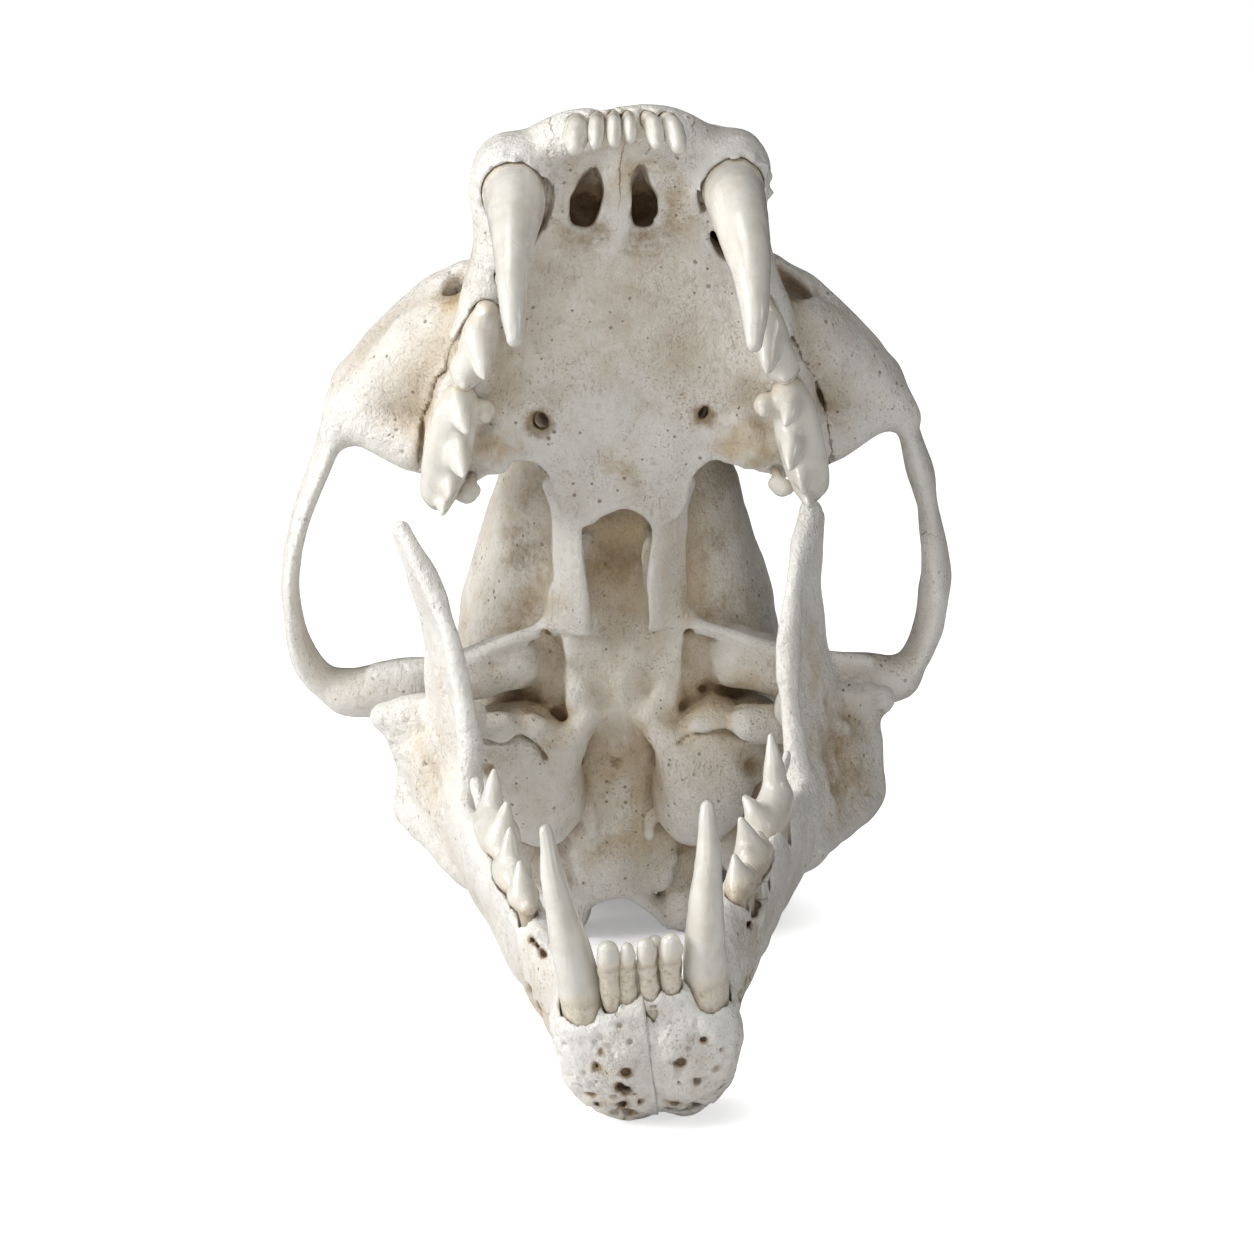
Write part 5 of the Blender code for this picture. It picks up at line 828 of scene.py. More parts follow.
        # Hollows for the neck muscles on the back of the skull, and the lip of the ear opening.
        C.ellipsoid((side * 13.0, -69.5, 36.0), (7.5, 3.4, 6.0), turn=(0, 0, -side * 18), mode="cut", k=2.5)
        C.sweep([(side * 38.6, -14.4, 15.2, 0.9, 0.9), (side * 39.4, -17.8, 13.6, 0.9, 0.9), (side * 38.2, -21.2, 15.6, 0.9, 0.9),
                 (side * 37.4, -20.6, 20.2, 0.8, 0.8)], up=(1, 0, 0), k=1.2)
    line(C, seat(C, [(0.1, 108.0), (-0.2, 92.0), (0.2, 76.0), (-0.1, 62.0), (0.2, 46.0), (0.0, 34.0)], 30, 76, down=True), 0.4, 0.45, k=0.5)
    # Edge of the foramen magnum below: an arch between the condyles, lower on the left.
    C.sweep([(-10.8, -56.8, 13.0, 1.8, 3.0), (-8.6, -53.8, 12.4, 1.7, 2.6), (-4.8, -51.8, 12.0, 1.6, 2.2), (0, -51.4, 11.9, 1.6, 2.0),
             (3.6, -53.4, 12.0, 1.7, 2.4), (6.6, -56.4, 12.6, 1.8, 2.8), (9.0, -59.5, 13.4, 2.0, 3.4)], k=1.8)


def roughen(F, seed, window_rows, broad=0.26, middle=0.16, fine=0.10):
    """Unevenness of the bone's surface: broad and middle everywhere, fine near the places named."""
    shell = np.abs(F.d) < 3.0
    bumps = broad * F.noise(9.0, seed) + middle * F.noise(3.6, seed + 1)
    F.d += np.where(shell, bumps, 0).astype(np.float32)
    small = F.noise(1.5, seed + 2)
    for x, a, s, r, strength in window_rows:
        found = F.window((x - 2 * r, a - 2 * r, s - 2 * r), (x + 2 * r, a + 2 * r, s + 2 * r))
        if found is None:
            continue
        cut, gx, ga, gs = found
        weight = np.exp(-((gx - x) ** 2 + (ga - a) ** 2 + (gs - s) ** 2) / (r * r) * 1.2)
        F.d[cut] += (strength * weight * small[cut]).astype(np.float32)


def pits(F, low, high, count, seed, size=(0.3, 0.6), test=None, mode="cut"):
    points = F.surface_points(low, high, count, seed, test)
    rng = np.random.default_rng(seed + 9)
    F.dots(points, rng.uniform(size[0], size[1], len(points)), k=0.25, mode=mode)


def seam_value(points, seams):
    """Signed distance to the nearest seam line. seams: (across, [points])."""
    best = np.full(len(points), 9.0)
    value = np.full(len(points), 9.0)
    for across, rows in seams:
        rows = catmull(np.asarray(rows, float), 6)
        across = np.asarray(across, float)
        for one, two in zip(rows[:-1], rows[1:]):
            d = two - one
            near = (np.abs(points - (one + two) / 2) < 8.0).all(axis=1)
            if not near.any():
                continue
            p = points[near]
            t = np.clip(((p - one) @ d) / (d @ d), 0, 1)
            gap = p - one - t[:, None] * d
            far = np.linalg.norm(gap, axis=1)
            better = far < best[near]
            index = np.nonzero(near)[0][better]
            best[index] = far[better]
            side = np.sign(gap[better] @ across)
            value[index] = far[better] * np.where(side == 0, 1, side)
    return np.clip(value, -6, 6)


def cavity_maps(F):
    """How enclosed each place is, at a small and at a large scale, on a half-resolution grid."""
    solid = np.clip(0.5 - F.d / F.step, 0, 1)[::2, ::2, ::2]
    step = F.step * 2
    small = box_blur(solid, max(1, int(round(1.6 / step))))
    large = box_blur(solid, max(2, int(round(5.5 / step))))
    return small, large, F.low, step


def stain_value(points, spots):
    """Sum of soft spots: x, a, s, radius, strength."""
    out = np.zeros(len(points))
    for x, a, s, r, strength in spots:
        gap = ((points[:, 0] - x) ** 2 + (points[:, 1] - a) ** 2 + (points[:, 2] - s) ** 2) / (r * r)
        out = np.maximum(out, strength * np.exp(-gap * 1.2))
    return out


def paint(obj, F, from_world, spots, warm_spots, shine_spots, seams):
    """Stores where the bone is enclosed (two scales, which the material turns into painted shade and painted light),
    stained or given painted shade in its holes, warm, shiny and seamed, for its material.
    """
    mesh = obj.data
    co = np.empty(len(mesh.vertices) * 3, np.float32)
    mesh.vertices.foreach_get("co", co)
    p = from_world(co.reshape(-1, 3).astype(float))
    small, large, low, step = cavity_maps(F)
    c0, c1 = F.sample(small, p, low, step), F.sample(large, p, low, step)
    rows = np.stack([c0, c1, stain_value(p, spots), stain_value(p, warm_spots)], 1).astype(np.float32)
    layer = mesh.attributes.new("shade_and_stain", "FLOAT_COLOR", "POINT")
    layer.data.foreach_set("color", rows.ravel())
    shine = mesh.attributes.new("shine", "FLOAT", "POINT")
    shine.data.foreach_set("value", stain_value(p, shine_spots).astype(np.float32))
    seam = mesh.attributes.new("seam", "FLOAT", "POINT")
    seam.data.foreach_set("value", seam_value(p, seams).astype(np.float32))
    rest = mesh.attributes.new("anatomy", "FLOAT_VECTOR", "POINT")
    rest.data.foreach_set("vector", p.astype(np.float32).ravel())


# ---------------------------------------------------------------- lower jaw
def dentary_field(side):
    low = (-1.2, -14.0, -52.0) if side > 0 else (-62.0, -14.0, -52.0)
    high = (62.0, 124.0, 48.0) if side > 0 else (1.2, 124.0, 48.0)
    F = Field(low, high, JAW_STEP)
    lean = -0.062 * side
    out = 0.9 * side - 0.6
    slim = 1.0 if side > 0 else 0.0
    S = lambda rows, **more: F.sweep(both(side, rows), **more)
    flip = lambda v: (v[0] * side, v[1], v[2])
    # The animal's left half is the slimmer one and stands a little nearer the midline at the front.
    S([(9.0 - 0.8 * slim, 111.5, -30.5, 5.6, 12.2), (11.0 - 1.4 * slim, 105, -29.5, 5.6, 12.4), (14.2 - 2.0 * slim, 97, -26.5, 5.4, 12.4),
       (17.6 - 2.3 * slim, 86, -24.0, 5.2, 12.2), (20.7 - 2.2 * slim, 73, -22.8, 4.9, 11.8), (23.9 - 1.8 * slim, 60, -21.8, 4.7, 11.8),
       (27.6 - 1.0 * slim, 46, -20.2, 4.5, 11.6), (31.8 - 0.4 * slim, 33, -17.6, 4.1, 11.0),
       (35.6, 21, -14.5, 3.5, 10.4), (39.0, 10, -12.0, 3.1, 9.6)], up=flip((0.20, 0, 1)), k=3)
    # Chin and symphysis, sloping back from the incisors to the underside.
    S([(4.4, 118.0, -21.5, 4.8, 3.2), (4.6, 117.0, -26, 5.6, 5.0), (5.2, 114.5, -32, 7.0, 6.2), (5.4, 110.6, -37.6, 7.6, 6.2),
       (5.6, 106.6, -41.2, 6.4, 5.2)], up=(0, 1, 0.3), k=3)
    S([(10.6, 113.6, -24.5, 6.4 - slim, 7.2), (10.8, 111.5, -30, 5.8 - slim, 7.4), (11.2, 106.5, -36, 5.0 - slim, 6.6)], up=(0, 1, 0), k=3)
    # Margin round the canine's neck, and the one round the necks of the incisors.
    rim = -20.9 if side < 0 else -22.2
    S([(11.2, 110.6, -31.0, 5.0 - 0.6 * slim, 6.4), (10.9, 113.8, -24.6, 4.9 - 0.5 * slim, 6.7), (10.9, 114.5, rim, 4.6 - 0.2 * slim, 6.4)],
      up=(0, 1, 0), k=1.6, ends=False)
    low_ = -20.9 if side < 0 else -19.4
    S([(-0.5, 119.4, low_ + 0.2, 3.0, 3.0), (3.0, 119.3, low_, 3.0, 3.0), (6.6, 118.2, low_ - 0.4, 3.0, 3.1)], k=1.6)
    # Thin inner wall of the incisors' sockets.
    S([(-0.6, 115.6, -17.6, 1.5, 4.2), (3.0, 115.2, -17.2, 1.4, 4.4), (6.4, 114.2, -17.8, 1.3, 3.8)], up=(0, 0, 1), k=1.4)
    # Low swellings over the roots at the front of the chin, and the raised seam between the halves.
    S([(7.6, 118.8, -22.6, 1.9, 1.7), (9.8, 117.6, -27.5, 2.3, 1.9), (11.2, 115.0, -33.0, 2.0, 1.7)], up=(0, 1, 0), k=2.0)
    S([(0.0, 119.2, -24.0, 1.4, 1.5), (-0.5, 117.9, -30.0, 1.6, 1.5), (-0.9, 114.8, -37.0, 1.3, 1.3), (-1.2, 110.6, -43.2, 1.0, 1.0)], up=(0, 1, 0), k=1.8)
    # Coronoid process: a thin blade, thicker along its front edge, turned outwards behind, more so on the animal's right.
    flare = 0.0 if side > 0 else 1.0
    S([(37.0, 17.0, -10, 2.8, 16.0), (36.4, 16.0, 2, 2.1, 15.0), (36.0 + 13 * lean, 16.5, 13, 1.7, 12.0), (36.8 + 24 * lean + 0.3 * flare, 16.0, 24, 1.5, 9.6),
       (38.6 + 34 * lean + 1.5 * flare, 13.6, 34, 1.4, 7.2), (40.2 + 42 * lean + 2.3 * flare, 10.8, 41.5, 1.3, 4.2)], up=flip((-0.36, 1, 0)), k=3)
    S([(32.6, 31.0, -8, 3.0, 3.2), (31.6, 30.5, 3, 2.5, 2.7), (31.8 + 14 * lean, 28.0, 14, 2.1, 2.3), (33.4 + 25 * lean, 24.0, 25, 1.9, 2.0),
       (36.0 + 35 * lean + 0.6 * flare, 18.5, 35, 1.7, 1.9), (39.2 + 42 * lean + 2.0 * flare, 13.0, 42.4, 1.4, 1.7)], up=(0, 1, 0), k=2)
    # Neck and condyle, the transverse rod of the jaw joint.
    S([(40.0, 6, -12, 4.0, 5.6), (39.5, 2.0, -6, 7.5, 4.0), (39.0, 0.2, -1.5, 10.0, 3.2)], up=(0, 1, 0), k=2.5)
    S([(32.4, 0, 0, 3.4, 3.4), (35.0, 0, 0, CONDYLE_R - 0.4, CONDYLE_R - 0.4), (39.0, 0, 0, CONDYLE_R, CONDYLE_R),
       (46.0, 0, 0, CONDYLE_R - 0.3, CONDYLE_R - 0.3), (50.2, 0, 0, 3.2, 3.2)], k=1.6)
    # Muscle plate behind the ramus: it flares outwards to the angular process.
    S([(36.8, 20, -14, 3.0, 10.0), (41.0 + 0.5 * out, 11, -12.5, 2.7, 10.2), (45.0 + out, 3.5, -12.0, 2.4, 9.6), (47.4 + out, -1.0, -12.0, 2.2, 8.2)], k=2.5)
    S([(33.6, 28, -22.5, 3.8, 3.8), (38.8, 15, -22.2, 3.7, 3.7), (43.8 + out, 5, -21.6, 3.6, 3.8), (47.4 + out, -3.0, -20.6, 3.2, 3.6),
       (48.4 + out, -7.0, -20.6, 2.3, 2.6)], k=2.5)
    S([(48.4, -0.5, -3.5, 2.2, 3.4), (47.8 + out, -2.2, -10, 2.0, 3.0), (48.2 + out, -4.0, -16.5, 2.2, 3.2)], up=(0, 1, 0), k=2.5)
    # Outer edge of the tooth sockets.
    if side > 0:
        S([(30.2, 41, 0.5, 1.0, 1.6), (27.8, 50, -4.2, 1.1, 1.7), (26.4, 60, -10.2, 1.2, 1.7), (24.3, 70, -12.8, 1.2, 1.7),
           (23.0, 78, -15.2, 1.1, 1.6), (21.6, 85, -18.0, 1.0, 1.3)], k=1.6)
    else:
        S([(30.2, 41, -1.5, 1.0, 1.6), (29.0, 50, -6.2, 1.1, 1.7), (28.2, 60, -9.6, 1.2, 1.7), (26.2, 70, -11.0, 1.2, 1.7),
           (24.2, 79, -12.4, 1.1, 1.6), (22.2, 87, -14.0, 1.0, 1.3)], k=1.6)
    F.blur()
    return F


# Spots of painted shade at the mouths of the bored holes, filled in by jaw_details.
HOLE_SHADE = {-1: [], 1: []}


def jaw_details(F, side):
    """Holes and cracks are cut along one direction, slanting back and down, from in front of the surface."""
    def bore(x, a, s, wide, high, deep=4.5, k=0.3):
        steps = np.arange(16.0, -8.0, -0.25)
        ahead = np.column_stack([np.full(len(steps), x), a + steps, s + 0.26 * steps])
        inside = F.sample(F.d, ahead) < 0
        front = steps[inside.argmax()] if inside.any() else 0.0
        # Each hole also gets a spot of painted shade at its mouth.
        HOLE_SHADE[side].append((x, a + front - 0.5, s + 0.26 * (front - 0.5), 1.5 * max(wide, high) + 0.2, 1.7))
        F.sweep([(x, a + front + 1.6, s + 0.26 * (front + 1.6), wide, high), (x, a + front - deep, s + 0.26 * (front - deep), wide * 0.8, high * 0.8)],
                mode="cut", k=k, per_span=2)

    if side < 0:
        # Holes beside the seam of the chin, the second and largest one angular, and the nerve holes on the side.
        bore(-4.6, 113.0, -34.1, 0.85, 0.8)
        bore(-5.9, 112.0, -37.0, 1.0, 1.0)
        bore(-5.0, 112.0, -37.6, 0.9, 0.8)
        bore(-5.5, 111.6, -36.3, 0.8, 0.6)
        bore(-5.9, 110.5, -40.9, 1.0, 0.6)
        bore(-5.1, 109.5, -43.2, 1.3, 0.5)
        for x, s, w, h in ((-9.6, -33.0, 0.5, 0.6), (-11.2, -38.4, 0.6, 0.5), (-8.4, -30.4, 0.5, 0.4), (-10.4, -40.6, 0.5, 0.6), (-7.6, -43.0, 0.6, 0.4),
                           (-12.6, -36.0, 0.4, 0.5), (-9.0, -36.6, 0.4, 0.4), (-3.0, -41.2, 0.5, 0.5), (-11.8, -42.4, 0.5, 0.4), (-7.2, -39.2, 0.5, 0.5)):
            bore(x, 110.0, s, w, h, deep=2.2)
        for x, a, s, r in ((-19.4, 95.0, -24.0, 0.9), (-18.3, 98.0, -26.0, 0.8), (-16.6, 103.0, -31.0, 0.8)):
            F.sweep([(x - 4, a + 2, s, r, r * 1.3), (x + 3.0, a - 2.0, s, r * 0.8, r)], mode="cut", k=0.5, per_span=2)
        # Cracks at the front of the cheek teeth.
        crack = catmull([(-24.3, 83, -8.9), (-22.9, 85, -11.2), (-21.8, 85, -12.6), (-20.9, 85, -14.2), (-20.2, 85, -14.9)], 5)
        crack = list(crack) + list(catmull([(-19.5, 88, -16.4), (-18.3, 88, -17.6), (-17.2, 88, -19.2)], 5))
        for i, (x, a, s) in enumerate(crack):
            bore(x, a, s, (0.36, 0.55, 0.42, 0.62)[i % 4], (0.5, 0.4, 0.6, 0.45)[i % 4], deep=2.2, k=0.2)
    else:
        # Socket of the third premolar broken open, with its root bare, and the nerve holes behind it.
        for x, a, s, w, h in ((25.0, 84.0, -10.9, 1.0, 1.0), (24.4, 84.0, -12.2, 1.3, 1.1), (23.5, 84.0, -13.4, 1.4, 1.1), (22.6, 84.0, -14.7, 1.7, 1.1),
                              (21.6, 84.0, -16.2, 1.7, 1.2), (20.7, 84.0, -17.7, 1.5, 1.1), (19.8, 84.0, -19.2, 1.2, 0.9)):
            bore(x, a, s, w, h, deep=4.0)
        bore(17.2, 96.0, -28.9, 0.9, 0.7)
        bore(19.4, 93.0, -27.0, 0.8, 0.7)
        bore(3.1, 110.0, -42.5, 1.3, 0.45)
        F.ellipsoid((5.2, 110.8, -42.6), (4.2, 4.0, 2.2), mode="cut", k=1.0)
        F.ellipsoid((4.6, 110.0, -42.4), (2.4, 3.6, 1.4), k=0.8)
        for x, s, w, h in ((5.0, -34.3, 0.8, 0.5), (9.6, -30.5, 0.5, 0.6), (7.6, -38.6, 0.5, 0.4), (10.8, -36.2, 0.5, 0.6), (12.2, -33.0, 0.4, 0.5), (8.8, -43.4, 0.6, 0.4),
                           (4.4, -38.0, 0.4, 0.4), (6.6, -31.6, 0.4, 0.4), (11.6, -40.0, 0.5, 0.5)):
            bore(x, 110.0, s, w, h, deep=2.2)
    # Hollow for the chewing muscle on the outside, and the nerve hole inside.
    F.ellipsoid((side * 46.5, 20.0, -7.0), (8.6, 10.0, 10.5), turn=(0, 0, side * 12), mode="cut", k=2.5)
    F.sweep([(side * 33.2, 24.0, -10.5, 1.0, 1.6), (side * 30.0, 22.0, -10.0, 1.2, 1.7), (side * 36.5, 18.0, -11.0, 0.9, 1.2)], mode="cut", k=0.6)


JAW_STEP = 0.5
TOOTH_STEP = 0.26


def tooth_box(name, side):
    rows = peg_rows(name, side)
    if rows is None:
        spec = blade_spec(name, side)
        rows = [row for part in spec["forms"] + spec["roots"] for row in part]
    rows = np.array(both(side, rows))
    reach = rows[:, 3:5].max() + 1.2
    return rows[:, :3].min(0) - reach, rows[:, :3].max(0) + reach


def grow_tooth(name, side):
    low, high = tooth_box(name, side)
    F = Field(low, high, 0.32 if "canine" in name else TOOTH_STEP)
    tooth_forms(F, name, side)
    F.blur()
    seed = sum(map(ord, name)) + (side > 0)
    F.d += (0.05 * F.noise(3.0, seed) + 0.025 * F.noise(1.2, seed + 1)).astype(np.float32)
    return F


# ---------------------------------------------------------------- build
def finish_piece(obj, node, material):
    obj.data.materials.clear()
    obj.data.materials.append(material)
    obj.data.shade_smooth()
    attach(obj, "root")
    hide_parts(node)


def outward(points, quads, to_world):
    p = to_world(points.astype(float))
    q = quads
    t = np.concatenate([q[:, [0, 1, 2]], q[:, [0, 2, 3]]])
    v = p[t]
    volume = np.einsum("ij,ij->i", v[:, 0], np.cross(v[:, 1], v[:, 2])).sum()
    return quads if volume > 0 else quads[:, ::-1]


def build(name, F, to_world, triangles):
    points, quads = mesh_points(F)
    quads = outward(points, quads, to_world)
    obj = to_object(name, points, quads, to_world)
    lighten(obj, triangles)
    return obj


# ---------------------------------------------------------------- materials
class Look:
    """A material built node by node from the values stored on the surface."""

    def __init__(self, name):
        self.material = bpy.data.materials.new(name)
        self.material.use_nodes = True
        self.tree = self.material.node_tree
        self.shader = self.tree.nodes["Principled BSDF"]
        self.column = 0

    def node(self, kind, **settings):
        made = self.tree.nodes.new(kind)
        self.column += 1
        made.location = (-180 * (self.column % 12) - 300, -200 * (self.column // 12))
        for key, value in settings.items():
            setattr(made, key, value)
        return made

    def put(self, socket, value):
        if isinstance(value, bpy.types.NodeSocket):
            self.tree.links.new(value, socket)
        else:
            socket.default_value = value

    def math(self, operation, *values, clamp=False):
        made = self.node("ShaderNodeMath", operation=operation, use_clamp=clamp)
        for socket, value in zip(made.inputs, values):
            self.put(socket, value)
        return made.outputs[0]

    def step(self, value, low, high):
        """0 below low, 1 above high, smooth between."""
        made = self.node("ShaderNodeMapRange", interpolation_type="SMOOTHSTEP", clamp=True)
        for socket, given in zip(made.inputs, (value, low, high, 0.0, 1.0)):
            self.put(socket, given)
        return made.outputs[0]

    def attribute(self, name, output="Fac"):
        return self.node("ShaderNodeAttribute", attribute_name=name).outputs[output]

    def place(self, stretch=(1, 1, 1), shift=(0, 0, 0), turn=(0, 0, 0)):
        made = self.node("ShaderNodeMapping")
        self.put(made.inputs["Vector"], self.attribute("anatomy", "Vector"))
        made.inputs["Scale"].default_value = stretch
        made.inputs["Location"].default_value = shift
        made.inputs["Rotation"].default_value = turn
        return made.outputs[0]

    def noise(self, per_mm, detail=2.0, rough=0.5, stretch=(1, 1, 1), shift=(0, 0, 0), warp=0.0, turn=(0, 0, 0)):
        made = self.node("ShaderNodeTexNoise")
        self.put(made.inputs["Vector"], self.place(stretch, shift, turn))
        made.inputs["Scale"].default_value = per_mm
        made.inputs["Detail"].default_value = detail
        made.inputs["Roughness"].default_value = rough
        made.inputs["Distortion"].default_value = warp
        return made.outputs["Fac"]

    def mix(self, amount, one, two, blend="MIX"):
        made = self.node("ShaderNodeMix", data_type="RGBA", blend_type=blend, clamp_factor=True)
        self.put(made.inputs[0], amount)
        self.put(made.inputs[6], (*one, 1.0) if isinstance(one, tuple) else one)
        self.put(made.inputs[7], (*two, 1.0) if isinstance(two, tuple) else two)
        return made.outputs[2]

    def parts(self, socket, kind="ShaderNodeSeparateColor"):
        made = self.node(kind)
        self.put(made.inputs[0], socket)
        return made.outputs


# BONE_SHADE, BONE_TAN and the near black cave colour are painted shade, BONE_WHITE is painted light, and BONE_BROWN is
# both real stain and painted shade.
BONE_LIGHT, BONE_MID, BONE_WARM = (0.875, 0.84, 0.765), (0.63, 0.55, 0.43), (0.60, 0.465, 0.275)
BONE_TAN, BONE_SHADE, BONE_WHITE = (0.55, 0.425, 0.27), (0.57, 0.47, 0.335), (0.885, 0.875, 0.85)
BONE_BROWN, BONE_CAVE_SHADE, BONE_PALE = (0.34, 0.24, 0.135), (0.12, 0.068, 0.028), (0.91, 0.895, 0.85)


def bone_look():
    L = Look("bone_look")
    # The enclosure values drive painted shade in hollows and painted light on open bone; the stain value is real stain
    # and painted shade inside holes.
    shade_and_stain = L.attribute("shade_and_stain", "Color")
    warm = L.attribute("shade_and_stain", "Alpha")
    near, wide, stain_and_shade = L.parts(shade_and_stain)[:3]
    shine, seam = L.attribute("shine"), L.attribute("seam")
    place = L.parts(L.attribute("anatomy", "Vector"), "ShaderNodeSeparateXYZ")
    broad = L.noise(0.035, 3.0, 0.6)
    patch = L.noise(0.16, 4.0, 0.6, shift=(7, 3, 1))
    fine = L.noise(0.9, 4.0, 0.65, shift=(3, 9, 2))
    # Body colour of the bone: pale, with broad and small darker, warmer clouds.
    colour = L.mix(L.step(broad, 0.38, 0.68), BONE_LIGHT, BONE_MID)
    colour = L.mix(L.math("MULTIPLY", L.step(patch, 0.48, 0.74), 0.55), colour, BONE_MID)
    colour = L.mix(L.math("MULTIPLY", L.step(fine, 0.52, 0.78), 0.30), colour, BONE_WARM)
    # Bone fibres: fine pale and dark strokes that run from front to back.
    fibres = L.noise(0.85, 4.0, 0.7, stretch=(1.0, 0.28, 0.7), shift=(4, 8, 1))
    colour = L.mix(L.math("MULTIPLY", L.step(fibres, 0.50, 0.70), 0.34), colour, BONE_MID)
    colour = L.mix(L.math("MULTIPLY", L.math("SUBTRACT", 1.0, L.step(fibres, 0.30, 0.46)), 0.35), colour, BONE_PALE)
    # Painted light and shade: whiter where it stands free, darker and warmer where it is sheltered.
    free = L.math("SUBTRACT", 1.0, L.step(L.math("MULTIPLY_ADD", L.math("SUBTRACT", patch, 0.5), 0.10, wide), 0.34, 0.46))
    colour = L.mix(L.math("MULTIPLY", free, 0.45), colour, BONE_WHITE)
    shelter = L.step(L.math("MULTIPLY_ADD", L.math("SUBTRACT", patch, 0.5), 0.14, wide), 0.44, 0.60)
    colour = L.mix(L.math("MULTIPLY", shelter, 0.56), colour, BONE_SHADE)
    # Yellow-brown ground where the bone is stained, broken up by the small noise.
    soak = L.math("MULTIPLY_ADD", L.math("SUBTRACT", patch, 0.5), 1.3, warm)
    colour = L.mix(L.math("MULTIPLY", L.step(L.math("MULTIPLY", soak, L.step(warm, 0.02, 0.25)), 0.15, 0.9), 0.85), colour, BONE_WARM)
    # Brown where the stain spots lie and near black where they are strongest: real stain, and painted shade inside the
    # holes and fissures.
    deep = L.math("MULTIPLY_ADD", L.math("SUBTRACT", fine, 0.5), 0.8, L.math("MULTIPLY_ADD", L.math("SUBTRACT", patch, 0.5), 0.9, stain_and_shade))
    colour = L.mix(L.math("MULTIPLY", L.step(L.math("MULTIPLY", deep, L.step(stain_and_shade, 0.02, 0.3)), 0.18, 1.0), 0.95), colour, BONE_BROWN)
    colour = L.mix(L.step(deep, 1.25, 1.7), colour, BONE_CAVE_SHADE)
    # Pores: dark brown grains, in patches, and streaks that run along the skull.
    grains = L.noise(1.7, 1.5, 0.5, shift=(1, 5, 8))
    grain_area = L.step(L.noise(0.11, 2.0, 0.6, shift=(2, 8, 5)), 0.42, 0.62)
    pores = L.math("MULTIPLY", L.step(grains, 0.615, 0.68), L.math("MULTIPLY_ADD", grain_area, 0.62, 0.06))
    streaks = L.noise(1.5, 2.5, 0.6, stretch=(1.0, 0.30, 0.6), shift=(5, 2, 7))
    streak_area = L.step(L.noise(0.09, 2.0, 0.6, shift=(9, 1, 4)), 0.44, 0.60)
    streaked = L.math("MULTIPLY", L.step(streaks, 0.58, 0.72), L.math("MULTIPLY_ADD", streak_area, 0.5, 0.12))
    tiny = L.math("MULTIPLY", L.step(L.noise(3.2, 1.0, 0.5, shift=(2, 6, 3)), 0.62, 0.72), L.math("MULTIPLY_ADD", streak_area, 0.40, 0.10))
    blots = L.math("MULTIPLY", L.step(L.noise(0.42, 3.0, 0.65, shift=(8, 2, 6)), 0.60, 0.72), 0.45)
    # Round pores of several sizes, crowded in some places and rare in others.
    hole_area = L.step(L.noise(0.075, 3.0, 0.6, shift=(3, 3, 9)), 0.44, 0.60)
    holes = 0.0
    for scale, shift, size, often in ((0.80, (6, 2, 2), 0.34, 1.04),):
        cells = L.node("ShaderNodeTexVoronoi")
        L.put(cells.inputs["Vector"], L.place((1.0, 1.0, 1.0), shift))
        cells.inputs["Scale"].default_value = scale
        chance = L.parts(cells.outputs["Color"])
        reach = L.math("MULTIPLY_ADD", L.math("MULTIPLY", chance[0], chance[0]), size, 0.07)
        dot = L.math("SUBTRACT", 1.0, L.step(L.math("DIVIDE", cells.outputs["Distance"], reach), 0.62, 0.95))
        keep = L.math("GREATER_THAN", L.math("MULTIPLY_ADD", hole_area, 0.44, chance[1]), often)
        holes = L.math("MAXIMUM", holes, L.math("MULTIPLY", dot, keep))
    specks = L.math("MAXIMUM", L.math("MAXIMUM", pores, streaked), L.math("MAXIMUM", tiny, blots))
    specks = L.math("MULTIPLY", specks, L.math("MULTIPLY_ADD", shine, -0.8, 1.0, clamp=True))
    colour = L.mix(L.math("MULTIPLY", specks, 0.62), colour, BONE_BROWN)
    holes = L.math("MULTIPLY", holes, L.math("MULTIPLY_ADD", shine, -0.6, 1.0, clamp=True))
    colour = L.mix(L.math("MULTIPLY", holes, 0.80), colour, BONE_BROWN)
    # Painted shade: tan in broad pockets, brown in small hollows, near black where both are deep; pale edges where the
    # bone stands open, worn and with painted light; dark lines along the seams.
    hollow_shade = L.step(L.math("MULTIPLY_ADD", L.math("SUBTRACT", fine, 0.5), 0.14, near), 0.57, 0.76)
    pocket_shade = L.step(L.math("MULTIPLY_ADD", L.math("SUBTRACT", patch, 0.5), 0.16, wide), 0.58, 0.80)
    colour = L.mix(L.math("MULTIPLY", pocket_shade, 0.80), colour, BONE_TAN)
    colour = L.mix(L.math("MULTIPLY", hollow_shade, 0.62), colour, BONE_BROWN)
    colour = L.mix(L.math("MULTIPLY", L.math("MULTIPLY", hollow_shade, L.step(wide, 0.58, 0.74)), 0.9), colour, BONE_CAVE_SHADE)
    edge = L.math("SUBTRACT", 1.0, L.step(near, 0.30, 0.44))
    colour = L.mix(L.math("MULTIPLY", edge, 0.6), colour, BONE_PALE)
    wobble = L.math("MULTIPLY_ADD", L.math("SUBTRACT", L.noise(0.8, 3.0, 0.7, shift=(4, 4, 4)), 0.5), 1.3, seam)
    crack = L.math("SUBTRACT", 1.0, L.step(L.math("ABSOLUTE", wobble), 0.05, 0.20))
    halo = L.math("SUBTRACT", 1.0, L.step(L.math("ABSOLUTE", wobble), 0.1, 1.0))
    colour = L.mix(L.math("MULTIPLY", halo, 0.12), colour, BONE_WARM)
    colour = L.mix(L.math("MULTIPLY", crack, 0.85), colour, BONE_BROWN)
    L.put(L.shader.inputs["Base Color"], colour)
